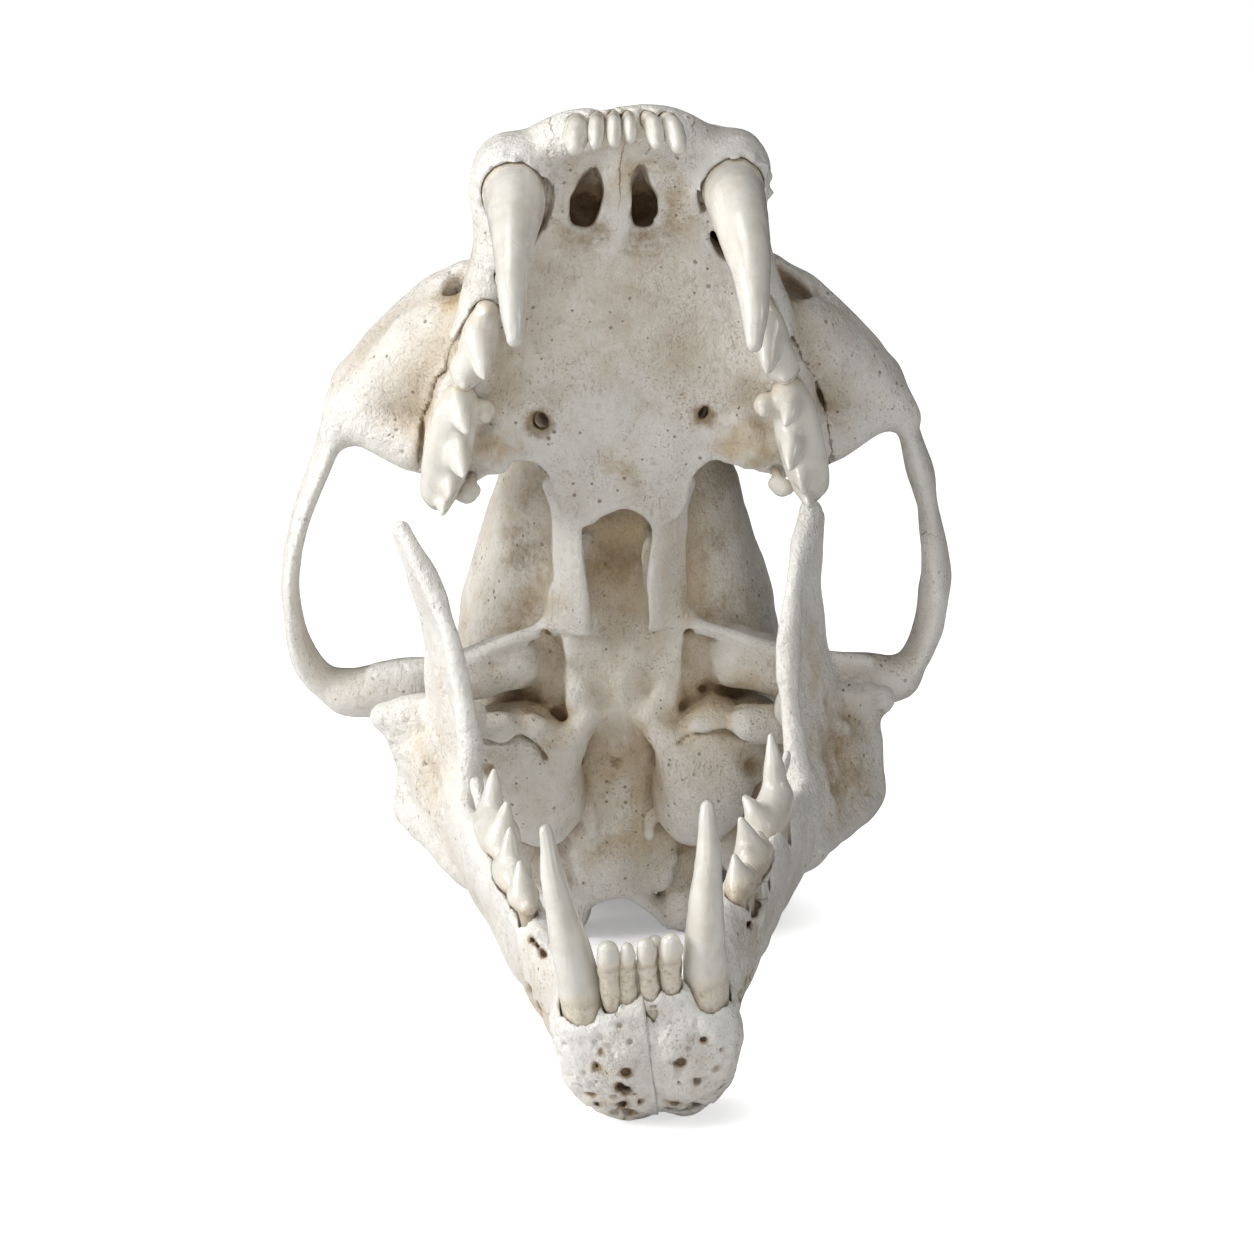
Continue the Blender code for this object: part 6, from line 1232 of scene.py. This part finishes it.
    # Sealed surface: duller in the hollows, glossy on rims and edges.
    rough = L.math("MULTIPLY_ADD", L.math("SUBTRACT", patch, 0.5), 0.30, 0.40)
    rough = L.math("ADD", rough, L.math("MULTIPLY", pocket_shade, 0.4))
    rough = L.math("SUBTRACT", rough, L.math("MULTIPLY", shine, 0.28), clamp=True)
    L.put(L.shader.inputs["Roughness"], rough)
    relief = L.noise(0.55, 5.0, 0.62, shift=(6, 6, 2))
    height = L.math("MULTIPLY_ADD", relief, 0.50, L.math("MULTIPLY_ADD", fine, 0.30, L.math("MULTIPLY", fibres, -0.22)))
    height = L.math("SUBTRACT", height, L.math("MULTIPLY_ADD", specks, 0.20, L.math("MULTIPLY", holes, 0.35)))
    height = L.math("SUBTRACT", height, L.math("MULTIPLY", crack, 0.22))
    bump = L.node("ShaderNodeBump")
    bump.inputs["Strength"].default_value = 0.95
    bump.inputs["Distance"].default_value = 0.0013
    L.put(bump.inputs["Height"], height)
    L.put(L.shader.inputs["Normal"], bump.outputs[0])
    L.shader.inputs["IOR"].default_value = 1.47
    L.shader.inputs["Specular IOR Level"].default_value = 0.5
    return L.material


def enamel_look():
    L = Look("enamel_look")
    crown = L.attribute("crown")
    tip = L.attribute("tip")
    patch = L.noise(0.22, 3.0, 0.55, shift=(2, 2, 9))
    fine = L.noise(1.1, 4.0, 0.6, shift=(8, 1, 3))
    bands = L.noise(1.4, 2.0, 0.5, stretch=(1.0, 1.0, 0.16), shift=(5, 5, 5))
    enamel = L.mix(L.step(patch, 0.4, 0.7), (0.775, 0.75, 0.685), (0.70, 0.665, 0.585))
    enamel = L.mix(L.math("MULTIPLY", L.step(bands, 0.52, 0.72), 0.22), enamel, (0.70, 0.665, 0.60))
    enamel = L.mix(L.math("MULTIPLY", tip, 0.45), enamel, (0.62, 0.60, 0.56))
    # Cream band by the neck, and the matte root below it.
    neck = L.math("SUBTRACT", 1.0, L.step(L.math("ABSOLUTE", crown), 0.2, 3.2))
    enamel = L.mix(L.math("MULTIPLY", neck, 0.55), enamel, (0.72, 0.64, 0.50))
    root = L.mix(L.step(fine, 0.4, 0.7), (0.74, 0.685, 0.575), (0.60, 0.52, 0.39))
    root = L.mix(L.math("MULTIPLY", L.step(fine, 0.60, 0.72), 0.5), root, (0.36, 0.26, 0.16))
    edge = L.math("MULTIPLY_ADD", L.math("SUBTRACT", fine, 0.5), 0.9, crown)
    is_root = L.math("SUBTRACT", 1.0, L.step(edge, -0.35, 0.35))
    colour = L.mix(is_root, enamel, root)
    # Darker brown band at the tooth's neck, where it goes into the bone.
    neck_darkening = L.attribute("neck_darkening")
    colour = L.mix(L.math("MULTIPLY", neck_darkening, 0.8), colour, (0.34, 0.25, 0.16))
    # Hair cracks that run along the crown.
    cracks = L.node("ShaderNodeTexVoronoi", feature="DISTANCE_TO_EDGE")
    L.put(cracks.inputs["Vector"], L.place((1.0, 1.0, 0.14), (3, 3, 3)))
    cracks.inputs["Scale"].default_value = 0.33
    hair = L.math("SUBTRACT", 1.0, L.step(cracks.outputs["Distance"], 0.008, 0.03))
    hair = L.math("MULTIPLY", hair, L.step(L.noise(0.2, 2.0, 0.5, shift=(1, 7, 7)), 0.5, 0.62))
    colour = L.mix(L.math("MULTIPLY", hair, 0.2), colour, (0.42, 0.36, 0.28))
    L.put(L.shader.inputs["Base Color"], colour)
    rough = L.math("MULTIPLY_ADD", is_root, 0.30, L.math("MULTIPLY_ADD", L.math("SUBTRACT", patch, 0.5), 0.12, 0.20), clamp=True)
    L.put(L.shader.inputs["Roughness"], rough)
    height = L.math("MULTIPLY_ADD", L.noise(0.7, 4.0, 0.55), 0.22, L.math("MULTIPLY", bands, 0.10))
    height = L.math("SUBTRACT", height, L.math("MULTIPLY", hair, 0.05))
    bump = L.node("ShaderNodeBump")
    bump.inputs["Strength"].default_value = 0.45
    bump.inputs["Distance"].default_value = 0.0007
    L.put(bump.inputs["Height"], height)
    L.put(L.shader.inputs["Normal"], bump.outputs[0])
    L.shader.inputs["IOR"].default_value = 1.55
    L.shader.inputs["Coat Weight"].default_value = 0.25
    L.shader.inputs["Coat Roughness"].default_value = 0.12
    L.shader.inputs["Subsurface Weight"].default_value = 0.16
    L.shader.inputs["Subsurface Radius"].default_value = (1.0, 0.8, 0.6)
    L.shader.inputs["Subsurface Scale"].default_value = 0.0018
    return L.material


# ---------------------------------------------------------------- where the bone is stained or given painted shade, warm, shiny, seamed
# Brown spots: real stains, and painted shade inside the palatine fissures, foramina, throat, nasal cavity and other
# holes.
C_STAIN_AND_SHADE = [
    (-16, 22, 26, 11, 0.75), (15, 22, 26, 11, 0.6), (-19, 34, 30, 9, 0.5), (18, 34, 30, 9, 0.5), (-20, 12, 20, 8, 0.6), (19, 12, 20, 8, 0.6),
    (-1, 26, 18, 8, 0.75), (-3, 38, 16, 7, 0.85), (2, 45, 17, 6, 0.9), (0, 14, 16, 7, 0.45), (-7.4, 102.5, 14.6, 7.6, 2.2), (4.2, 102.5, 14.6, 7.6, 2.2), (-7.0, 108, 9.5, 3.4, 1.0), (4.0, 108, 9.5, 3.4, 1.0),
    (33.5, 83, 21, 6.5, 2.0), (-33, 84, 20, 4.4, 1.1), (11, -11, 10, 4, 1.0), (21, -9, 11, 5, 0.85), (-19, -9.5, 11, 5, 1.0), (-26, -8.5, 11, 4, 0.7),
    (15.4, -2.6, 12, 2.2, 1.0), (25.8, -17.4, 5, 3, 1.0), (-28, -17, 5, 3, 0.9), (13.3, 10.6, 15, 2.6, 0.9), (-15.8, 11, 15, 2.6, 0.9),
    (-1.7, -19, 10, 1.8, 0.8), (-9.4, -18, 10, 1.6, 0.7), (12.8, -41.5, 12, 3, 0.9), (-15, -42, 12, 3, 0.9),
    (-12.5, 5, 13, 4.5, 0.55), (12.0, 4, 13, 4.5, 0.5), (0, -66, 20, 12, 0.6), (-16.6, 60.8, 9, 3.2, 1.9), (16.0, 62.4, 9, 3.2, 1.9), (-15.6, 58.3, 14.6, 3.8, 2.0), (15.0, 59.5, 14.6, 3.8, 2.0),
    (19, 99, 9, 2.6, 1.0), (-16.5, 102, 9, 1.8, 0.9), (-33.4, 77.8, 7, 2.0, 1.0), (-9.7, 49.2, 8, 1.1, 0.9), (-11.2, 50.9, 8, 0.9, 0.8),
    (-0.9, 45.2, 8.4, 1.2, 0.7), (-4.9, 45.3, 8.4, 0.9, 0.7), (2.1, 44.1, 8.4, 0.9, 0.7), (0, 108, 30, 12, 0.6), (0, 90, 30, 12, 0.75)]
C_WARM = [
    (0, 112, 6, 12, 0.55), (-12, 108, 5, 8, 0.55), (11, 107, 5, 8, 0.55), (25, 56, 6, 7, 0.9), (-24, 57, 6, 6, 0.7), (0, 30, 18, 16, 0.7),
    (14, 20, 16, 9, 0.6), (-16, 20, 16, 9, 0.6), (0, -20, 10, 12, 0.55), (0, -40, 10, 10, 0.5), (0, 124, 6, 8, 0.75), (-33, 86, 17, 6, 0.8),
    (33, 86, 17, 6, 0.8), (30, 0, 5, 10, 0.5), (-30, 0, 5, 10, 0.5), (14, -8, 10, 9, 0.6), (-15, -8, 10, 9, 0.6), (0, 52, 8, 9, 0.35),
    (39, 30, 20, 10, 0.4), (-39, 30, 20, 10, 0.4), (0, -70, 30, 14, 0.4), (20, -45, 14, 10, 0.4), (-22, -45, 14, 10, 0.4)]
C_SHINE = [
    (0, 108, 6, 6, 0.9), (0, 98, 6.5, 6, 0.7), (-20, 117, 5, 5, 0.9), (21, 117, 5, 5, 0.9), (-15, 110, 5, 4, 0.8), (15.5, 109, 5, 4, 0.8),
    (0, 125, 5, 7, 0.8), (-33, 80, 6, 4, 0.7), (33, 80, 6, 4, 0.7), (-38, 63, 6, 4, 0.7), (38, 63, 6, 4, 0.7), (-9, 30, 9, 6, 0.5),
    (9, 30, 9, 6, 0.5), (12, -22, 1, 8, 0.6), (-15, -22, 1, 8, 0.6), (0, 80, 7, 14, 0.35)]
ACROSS, ALONG, UPRIGHT = (1, 0, 0), (0, 1, 0), (0, 0, 1)


def cranium_seams(C):
    low = lambda rows: seat(C, rows, -4.0, 26.0)
    top = lambda rows: seat(C, rows, 24.0, 76.0, down=True)
    seams = [
        (ACROSS, [(-0.2, 125.0, 2.2), (-0.3, 126.9, 5.0), (-0.2, 127.6, 8.0), (-0.3, 127.2, 12.0)]),
        (ACROSS, low([(-0.15, 119.5), (-0.6, 115.0), (-0.7, 111.0)])),
        # Along the cheek lines the seam's dark line is painted shade in the gap between the teeth and the edge of the
        # jaw bone.
        (ACROSS, low(CHEEK_LINE_RIGHT)), (ACROSS, low(CHEEK_LINE_LEFT)),
        (ALONG, [(15.5, 11.5, 8.5), (23.7, 8.9, 6.4), (30.2, 6.6, 5.4), (36.0, 5.8, 5.0)]),
        (ALONG, [(-15.8, 12.3, 8.5), (-25.2, 11.1, 6.4), (-32.6, 8.5, 5.4), (-38.0, 7.0, 5.0)]),
        (ACROSS, top([(0.1, 108.0), (-0.2, 92.0), (0.2, 76.0), (-0.1, 62.0), (0.2, 46.0), (0.0, 34.0)])),
        (ALONG, top([(-30.0, 33.0), (-18.0, 27.0), (-8.0, 24.5), (0.0, 25.5), (8.0, 24.5), (18.0, 27.0), (30.0, 33.0)])),
        (ALONG, top([(-24.0, -44.0), (-14.0, -50.0), (-6.0, -52.0), (0.0, -51.0), (6.0, -52.0), (14.0, -50.0), (24.0, -44.0)]))]
    for side in (1, -1):
        seams += [
            (ACROSS, [(side * 13.4, 124.2, 7.5), (side * 14.2, 120.6, 14.0), (side * 13.8, 114.0, 24.0), (side * 13.4, 106.0, 33.0), (side * 11.6, 98.0, 39.0)]),
            (ACROSS, top([(side * 3.5, 104.0), (side * 4.5, 92.0), (side * 6.5, 78.0), (side * 6.0, 66.0), (side * 3.0, 60.0), (0.0, 58.0)])),
            (ACROSS, top([(side * 16.0, 104.0), (side * 12.5, 94.0), (side * 9.5, 82.0), (side * 10.5, 70.0), (side * 16.0, 62.0)])),
            (UPRIGHT, [(side * 34.6, 8.0, 26.0), (side * 36.0, -2.0, 38.0), (side * 36.4, -18.0, 40.0), (side * 35.4, -32.0, 32.0), (side * 33.0, -40.0, 22.0)]),
            (ALONG, [(side * 60.4, 33.0, 12.0), (side * 62.2, 28.0, 15.0), (side * 62.8, 21.0, 17.5), (side * 62.6, 15.0, 19.0)])]
    return seams


bone, enamel = bone_look(), enamel_look()

C = grow_cranium()
cranium_details(C)
roughen(C, 11, [(0, 108, 8, 12, 0.16), (-16, 106, 6, 9, 0.20), (16, 106, 6, 9, 0.20), (-22, 116, 6, 7, 0.22), (23, 116, 6, 7, 0.22), (25, 56, 6, 8, 0.22),
                (-25, 57, 6, 7, 0.16), (0, 125, 6, 8, 0.16), (34, 78, 6, 7, 0.16), (-34, 78, 6, 7, 0.16), (40, 56, 6, 8, 0.16), (-40, 56, 6, 8, 0.16),
                (14, -8, 9, 9, 0.22), (-15, -8, 9, 9, 0.22), (0, -16, 10, 10, 0.14), (0, 46, 8, 9, 0.16), (12, -40, 10, 9, 0.2), (-14, -40, 10, 9, 0.2),
                (0, -72, 38, 16, 0.18), (26, -58, 20, 12, 0.16), (-26, -58, 20, 12, 0.16)])
pits(C, (-13, 97, 0), (13, 120, 9), 130, 21, (0.18, 0.42), test=lambda x, a, s: (a > 96) & (s < 8) & (x > -50))
pits(C, (-30, 48, 0), (30, 96, 10), 170, 22, (0.15, 0.38))
pits(C, (-9, -50, 0), (9, -4, 14), 60, 23, (0.2, 0.4))
pits(C, (-62, 10, 4), (-40, 66, 30), 120, 24, (0.15, 0.34))
pits(C, (40, 10, 4), (62, 66, 30), 120, 25, (0.15, 0.34))
pits(C, (-14, 112, 4), (14, 129, 16), 70, 26, (0.18, 0.42))
for name in UPPER:
    for side in (1, -1):
        tooth_forms(C, name, side, grow=0.18 if "canine" in name or "incisor" in name else 0.3, mode="cut")
# Wider, dark crescent between each upper canine and the inner side of its socket.
C.sweep([(-15.4, 103.6, 6.0, 0.8, 4.0), (-14.2, 107.6, 6.0, 0.9, 4.0), (-14.0, 111.6, 5.6, 0.9, 4.0), (-15.2, 115.2, 5.2, 0.6, 3.4)], mode="cut", k=0.3)
C.sweep([(15.4, 106.0, 6.0, 0.5, 4.0), (14.7, 110.0, 5.8, 0.6, 4.0), (15.3, 114.0, 5.2, 0.5, 3.4)], mode="cut", k=0.3)
floor_clip(C, C_PITCH)
seams = cranium_seams(C)
obj = build("skull_cranium", C, cranium_to_world, 197000)
paint(obj, C, cranium_from_world, C_STAIN_AND_SHADE, C_WARM, C_SHINE, seams)
finish_piece(obj, "cranium", bone)

# Brown spots: real stains, and painted shade inside the chin and nerve holes, the cracks, the broken socket and the
# hollow for the chewing muscle.
J_STAIN_AND_SHADE = {-1: [(-5.6, 112, -38, 3.4, 0.8), (-5.9, 110, -41, 2.0, 0.8), (-5, 109, -43.4, 2.0, 0.8), (-4.6, 112, -34.2, 1.6, 0.8), (-21, 95, -24, 2.0, 0.8),
                (-20, 98, -27, 2.0, 0.8), (-19, 103, -32, 2.0, 0.8), (-23, 84, -11, 2.0, 0.7), (-20.8, 84, -14.4, 2.0, 0.8), (-18.3, 87, -17.8, 2.0, 0.8), (-44, 18, -8, 8, 0.35), (-10.4, 117, -16, 3.0, 0.4)],
           1: [(20.6, 86, -16.6, 3.2, 1.7), (19.6, 87, -18.6, 2.6, 1.7), (22.8, 83, -14, 2.6, 1.6), (19, 94, -27, 2.0, 0.9), (17.4, 97, -29, 2.0, 0.9), (3.2, 111, -42.2, 1.6, 0.9),
               (45, 18, -6, 13, 0.8), (42, 6, -14, 10, 0.5), (33, 24, -10, 3, 0.8), (10, 118, -20, 3.0, 0.35)]}
J_WARM = {-1: [(-8, 112, -36, 12, 0.45), (-20, 96, -28, 12, 0.4), (-44, 18, -6, 14, 0.5), (-38, 18, 16, 10, 0.3), (0, 119, -20, 6, 0.6)],
          1: [(8, 112, -36, 12, 0.45), (22, 90, -22, 14, 0.5), (45, 18, -6, 16, 0.75), (38, 18, 16, 12, 0.5), (0, 119, -20, 6, 0.6)]}
J_SHINE = {-1: [(-0.5, 117, -32, 5, 0.9), (-11, 118, -22, 6, 0.8), (-33, 24, 25, 8, 0.8), (-34, 28, 10, 8, 0.8), (-8.7, 113, -29, 3, 0.7), (-24, 86, -9, 5, 0.8)],
           1: [(0, 117, -32, 5, 0.9), (11, 118, -23, 6, 0.8), (33, 24, 25, 8, 0.9), (32, 28, 10, 8, 0.9), (26, 84, -9, 5, 0.8)]}


def jaw_floor_clip(F):
    x, a, s = F.axes[0][:, None, None], F.axes[1][None, :, None], F.axes[2][None, None, :]
    turn = np.radians(JAW_ROLL + JAW_TWIST * a / 100.0)
    height = a * math.sin(J_PITCH) + (x * np.sin(turn) + s * np.cos(turn)) * math.cos(J_PITCH) + JOINT_HEIGHT
    F.d = np.maximum(F.d, -height + 0.02).astype(np.float32)


for side, node in ((1, "dentary_left"), (-1, "dentary_right")):
    F = dentary_field(side)
    jaw_details(F, side)
    roughen(F, 31 + side, [(side * 6, 112, -38, 13, 0.20), (side * 9, 117, -28, 10, 0.18), (side * 20, 95, -28, 12, 0.14), (side * 45, 16, -8, 12, 0.2),
                           (side * 34, 24, -6, 6, 0.14), (side * 24, 87, -14, 6, 0.2)], broad=0.24, middle=0.16)
    spread = sorted((side * 1.0, side * 20.0))
    pits(F, (spread[0], 100, -48), (spread[1], 124, -20), 170, 41 + side, (0.35, 0.62), test=lambda x, a, s: (np.abs(x) > 1.2) & (a > 104) & (s < -20))
    spread = sorted((side * 36.0, side * 50.0))
    pits(F, (spread[0], -4, -24), (spread[1], 40, 20), 170, 43 + side, (0.35, 0.75))
    spread = sorted((side * 12.0, side * 34.0))
    pits(F, (spread[0], 40, -36), (spread[1], 106, -14), 150, 47 + side, (0.3, 0.6))
    for name in LOWER:
        if side_name(name, side) not in LOST:
            tooth_forms(F, name, side, grow=0.35, mode="cut")
    F.d = np.maximum(F.d, (-0.10 - side * F.axes[0])[:, None, None]).astype(np.float32)
    jaw_floor_clip(F)
    seams = [(ACROSS, [(-0.1, 121.0, -22.0), (-0.1, 119.6, -26.0), (-0.1, 117.6, -33.0), (-0.1, 113.0, -40.0), (-0.1, 108.5, -45.5)])]
    if side > 0:
        seams.append((ACROSS, [(24.4, 86.0, -17.0), (26.0, 80.0, -15.6), (28.2, 70.0, -14.6)]))
    obj = build("skull_" + node, F, jaw_to_world, 150000)
    paint(obj, F, jaw_from_world, J_STAIN_AND_SHADE[side] + HOLE_SHADE[side], J_WARM[side], J_SHINE[side], seams)
    finish_piece(obj, node, bone)


def paint_tooth(obj, name, from_world, upper):
    """Stores the place, the height above the crown's lower edge, the nearness of the tip, and a darker band by the
    neck.
    """
    mesh = obj.data
    co = np.empty(len(mesh.vertices) * 3, np.float32)
    mesh.vertices.foreach_get("co", co)
    p = from_world(co.reshape(-1, 3).astype(float))
    toward = -1.0 if upper else 1.0
    height = toward * (p[:, 2] - ENAMEL_TO[name])
    if "incisor" in name or "canine" in name:
        middle = p[:, 0].mean()
        height = height + 0.10 * ((p[:, 0] - middle) ** 2 if "incisor" in name else np.abs(p[:, 0] - middle))
    top = height.max()
    tip = np.clip((height - 0.70 * top) / (0.30 * top), 0, 1) if "canine" in name else np.clip((height - 0.85 * top) / (0.15 * top), 0, 1) * 0.6
    if "canine" in name or "incisor" in name:
        neck_darkening = np.clip(1.0 - np.abs(height + 0.3) / 0.8, 0, 1) * 0.45
    else:
        neck_darkening = np.clip(1.0 - (height + 1.2) / 1.6, 0, 1) * 0.6
    for label, values in (("crown", height), ("tip", tip), ("neck_darkening", neck_darkening)):
        layer = mesh.attributes.new(label, "FLOAT", "POINT")
        layer.data.foreach_set("value", values.astype(np.float32))
    rest = mesh.attributes.new("anatomy", "FLOAT_VECTOR", "POINT")
    rest.data.foreach_set("vector", p.astype(np.float32).ravel())


for names, to_world, from_world in ((UPPER, cranium_to_world, cranium_from_world), (LOWER, jaw_to_world, jaw_from_world)):
    for name in names:
        for side in (1, -1):
            node = side_name(name, side)
            if node in LOST:
                continue
            F = grow_tooth(name, side)
            obj = build("skull_" + node, F, to_world, 16000 if "canine" in name else 8000)
            paint_tooth(obj, name, from_world, names is UPPER)
            finish_piece(obj, node, enamel)

# ---------------------------------------------------------------- floor, light and camera
floor_mesh = bpy.data.meshes.new("floor")
floor_mesh.from_pydata([(-6, -6, 0), (6, -6, 0), (6, 6, 0), (-6, 6, 0)], [], [(0, 1, 2, 3)])
floor = bpy.data.objects.new("floor", floor_mesh)
floor.location.z = -0.0002
bpy.context.scene.collection.objects.link(floor)
L = Look("floor_look")
shader = L.shader
shader.inputs["Base Color"].default_value = (0.80, 0.80, 0.81, 1)
shader.inputs["Roughness"].default_value = 0.85
shader.inputs["Specular IOR Level"].default_value = 0.15
spot = L.node("ShaderNodeTexCoord").outputs["Object"]
xyz = L.parts(spot, "ShaderNodeSeparateXYZ")


def away(x, y):
    dx, dy = L.math("SUBTRACT", xyz[0], x), L.math("SUBTRACT", xyz[1], y)
    return L.math("SQRT", L.math("ADD", L.math("MULTIPLY", dx, dx), L.math("MULTIPLY", dy, dy)))


# Painted light and shadow: the floor glows for camera rays as bright as the backdrop, but less under the skull, where
# it is greyest, and a little less close to the chin.
glow = L.step(away(ORIGIN_X * MM, 0.046 + ORIGIN_Y * MM), 0.014, 0.060)
chin_glow = L.math("MULTIPLY_ADD", L.step(away(0.003, -0.079), 0.008, 0.027), 0.64, 0.36)
glow = L.math("MINIMUM", glow, chin_glow)
path = L.node("ShaderNodeLightPath").outputs["Is Camera Ray"]
shader.inputs["Emission Color"].default_value = (1, 1, 1, 1)
L.put(shader.inputs["Emission Strength"], L.math("MULTIPLY", path, L.math("MULTIPLY_ADD", glow, 0.76, 0.32)))
floor_mesh.materials.append(L.material)

world = bpy.data.worlds.new("studio")
bpy.context.scene.world = world
world.use_nodes = True
tree = world.node_tree
background = tree.nodes["Background"]
view = tree.nodes.new("ShaderNodeTexCoord")
dot = tree.nodes.new("ShaderNodeVectorMath")
dot.operation = "DOT_PRODUCT"
toward = Vector((-0.75, -0.35, 0.60)).normalized()
dot.inputs[1].default_value = toward
tree.links.new(view.outputs["Generated"], dot.inputs[0])
spread = tree.nodes.new("ShaderNodeMapRange")
spread.interpolation_type = "SMOOTHSTEP"
for socket, value in zip(spread.inputs, (0, -0.9, 1.0, 0.03, 0.10)):
    socket.default_value = value
tree.links.new(dot.outputs["Value"], spread.inputs[0])
rays = tree.nodes.new("ShaderNodeLightPath")
pick = tree.nodes.new("ShaderNodeMix")
pick.data_type = "FLOAT"
tree.links.new(rays.outputs["Is Camera Ray"], pick.inputs[0])
tree.links.new(spread.outputs[0], pick.inputs[2])
pick.inputs[3].default_value = 1.0
background.inputs["Color"].default_value = (1, 1, 1, 1)
tree.links.new(pick.outputs[0], background.inputs["Strength"])


def soft_light(name, at, aim, size, watts):
    data = bpy.data.lights.new(name, "AREA")
    data.shape = "DISK"
    data.size = size
    data.energy = watts
    light = bpy.data.objects.new(name, data)
    bpy.context.scene.collection.objects.link(light)
    light.location = at
    light.rotation_euler = (Vector(aim) - Vector(at)).to_track_quat("-Z", "Y").to_euler()


soft_light("key", (-1.2, -0.25, 0.55), (0, 0, 0.08), 0.6, 13.4)
soft_light("key_high", (-0.5, -0.35, 1.25), (0, 0, 0.08), 0.8, 5.5)
soft_light("key_front", (-0.85, -0.80, 0.85), (0, 0, 0.08), 0.75, 1.8)
soft_light("front", (0.0, -1.4, 0.45), (0, 0, 0.08), 0.8, 3.6)
soft_light("side", (0.95, -0.45, 0.5), (0, 0, 0.08), 0.4, 1.4)
bpy.context.scene.view_settings.view_transform = "Standard"

camera_data = bpy.data.cameras.new("camera")
camera_data.sensor_width = 36.0
camera_data.lens = 36.0 * 3961.1 / 1254.0
camera = bpy.data.objects.new("camera", camera_data)
bpy.context.scene.collection.objects.link(camera)
psi, rise, roll = math.radians(-2.0), math.radians(9.53), math.radians(-0.96)
target = Vector((0.0005 + ORIGIN_X * MM, ORIGIN_Y * MM, 0.0715))
back = Vector((math.sin(psi) * math.cos(rise), -math.cos(psi) * math.cos(rise), math.sin(rise)))
right = (-back).cross(Vector((0, 0, 1))).normalized()
up = right.cross(-back)
right_, up_ = math.cos(roll) * right + math.sin(roll) * up, -math.sin(roll) * right + math.cos(roll) * up
placed = Matrix((right_, up_, back)).transposed().to_4x4()
placed.translation = target + back * 0.8
camera.matrix_world = placed
bpy.context.scene.camera = camera
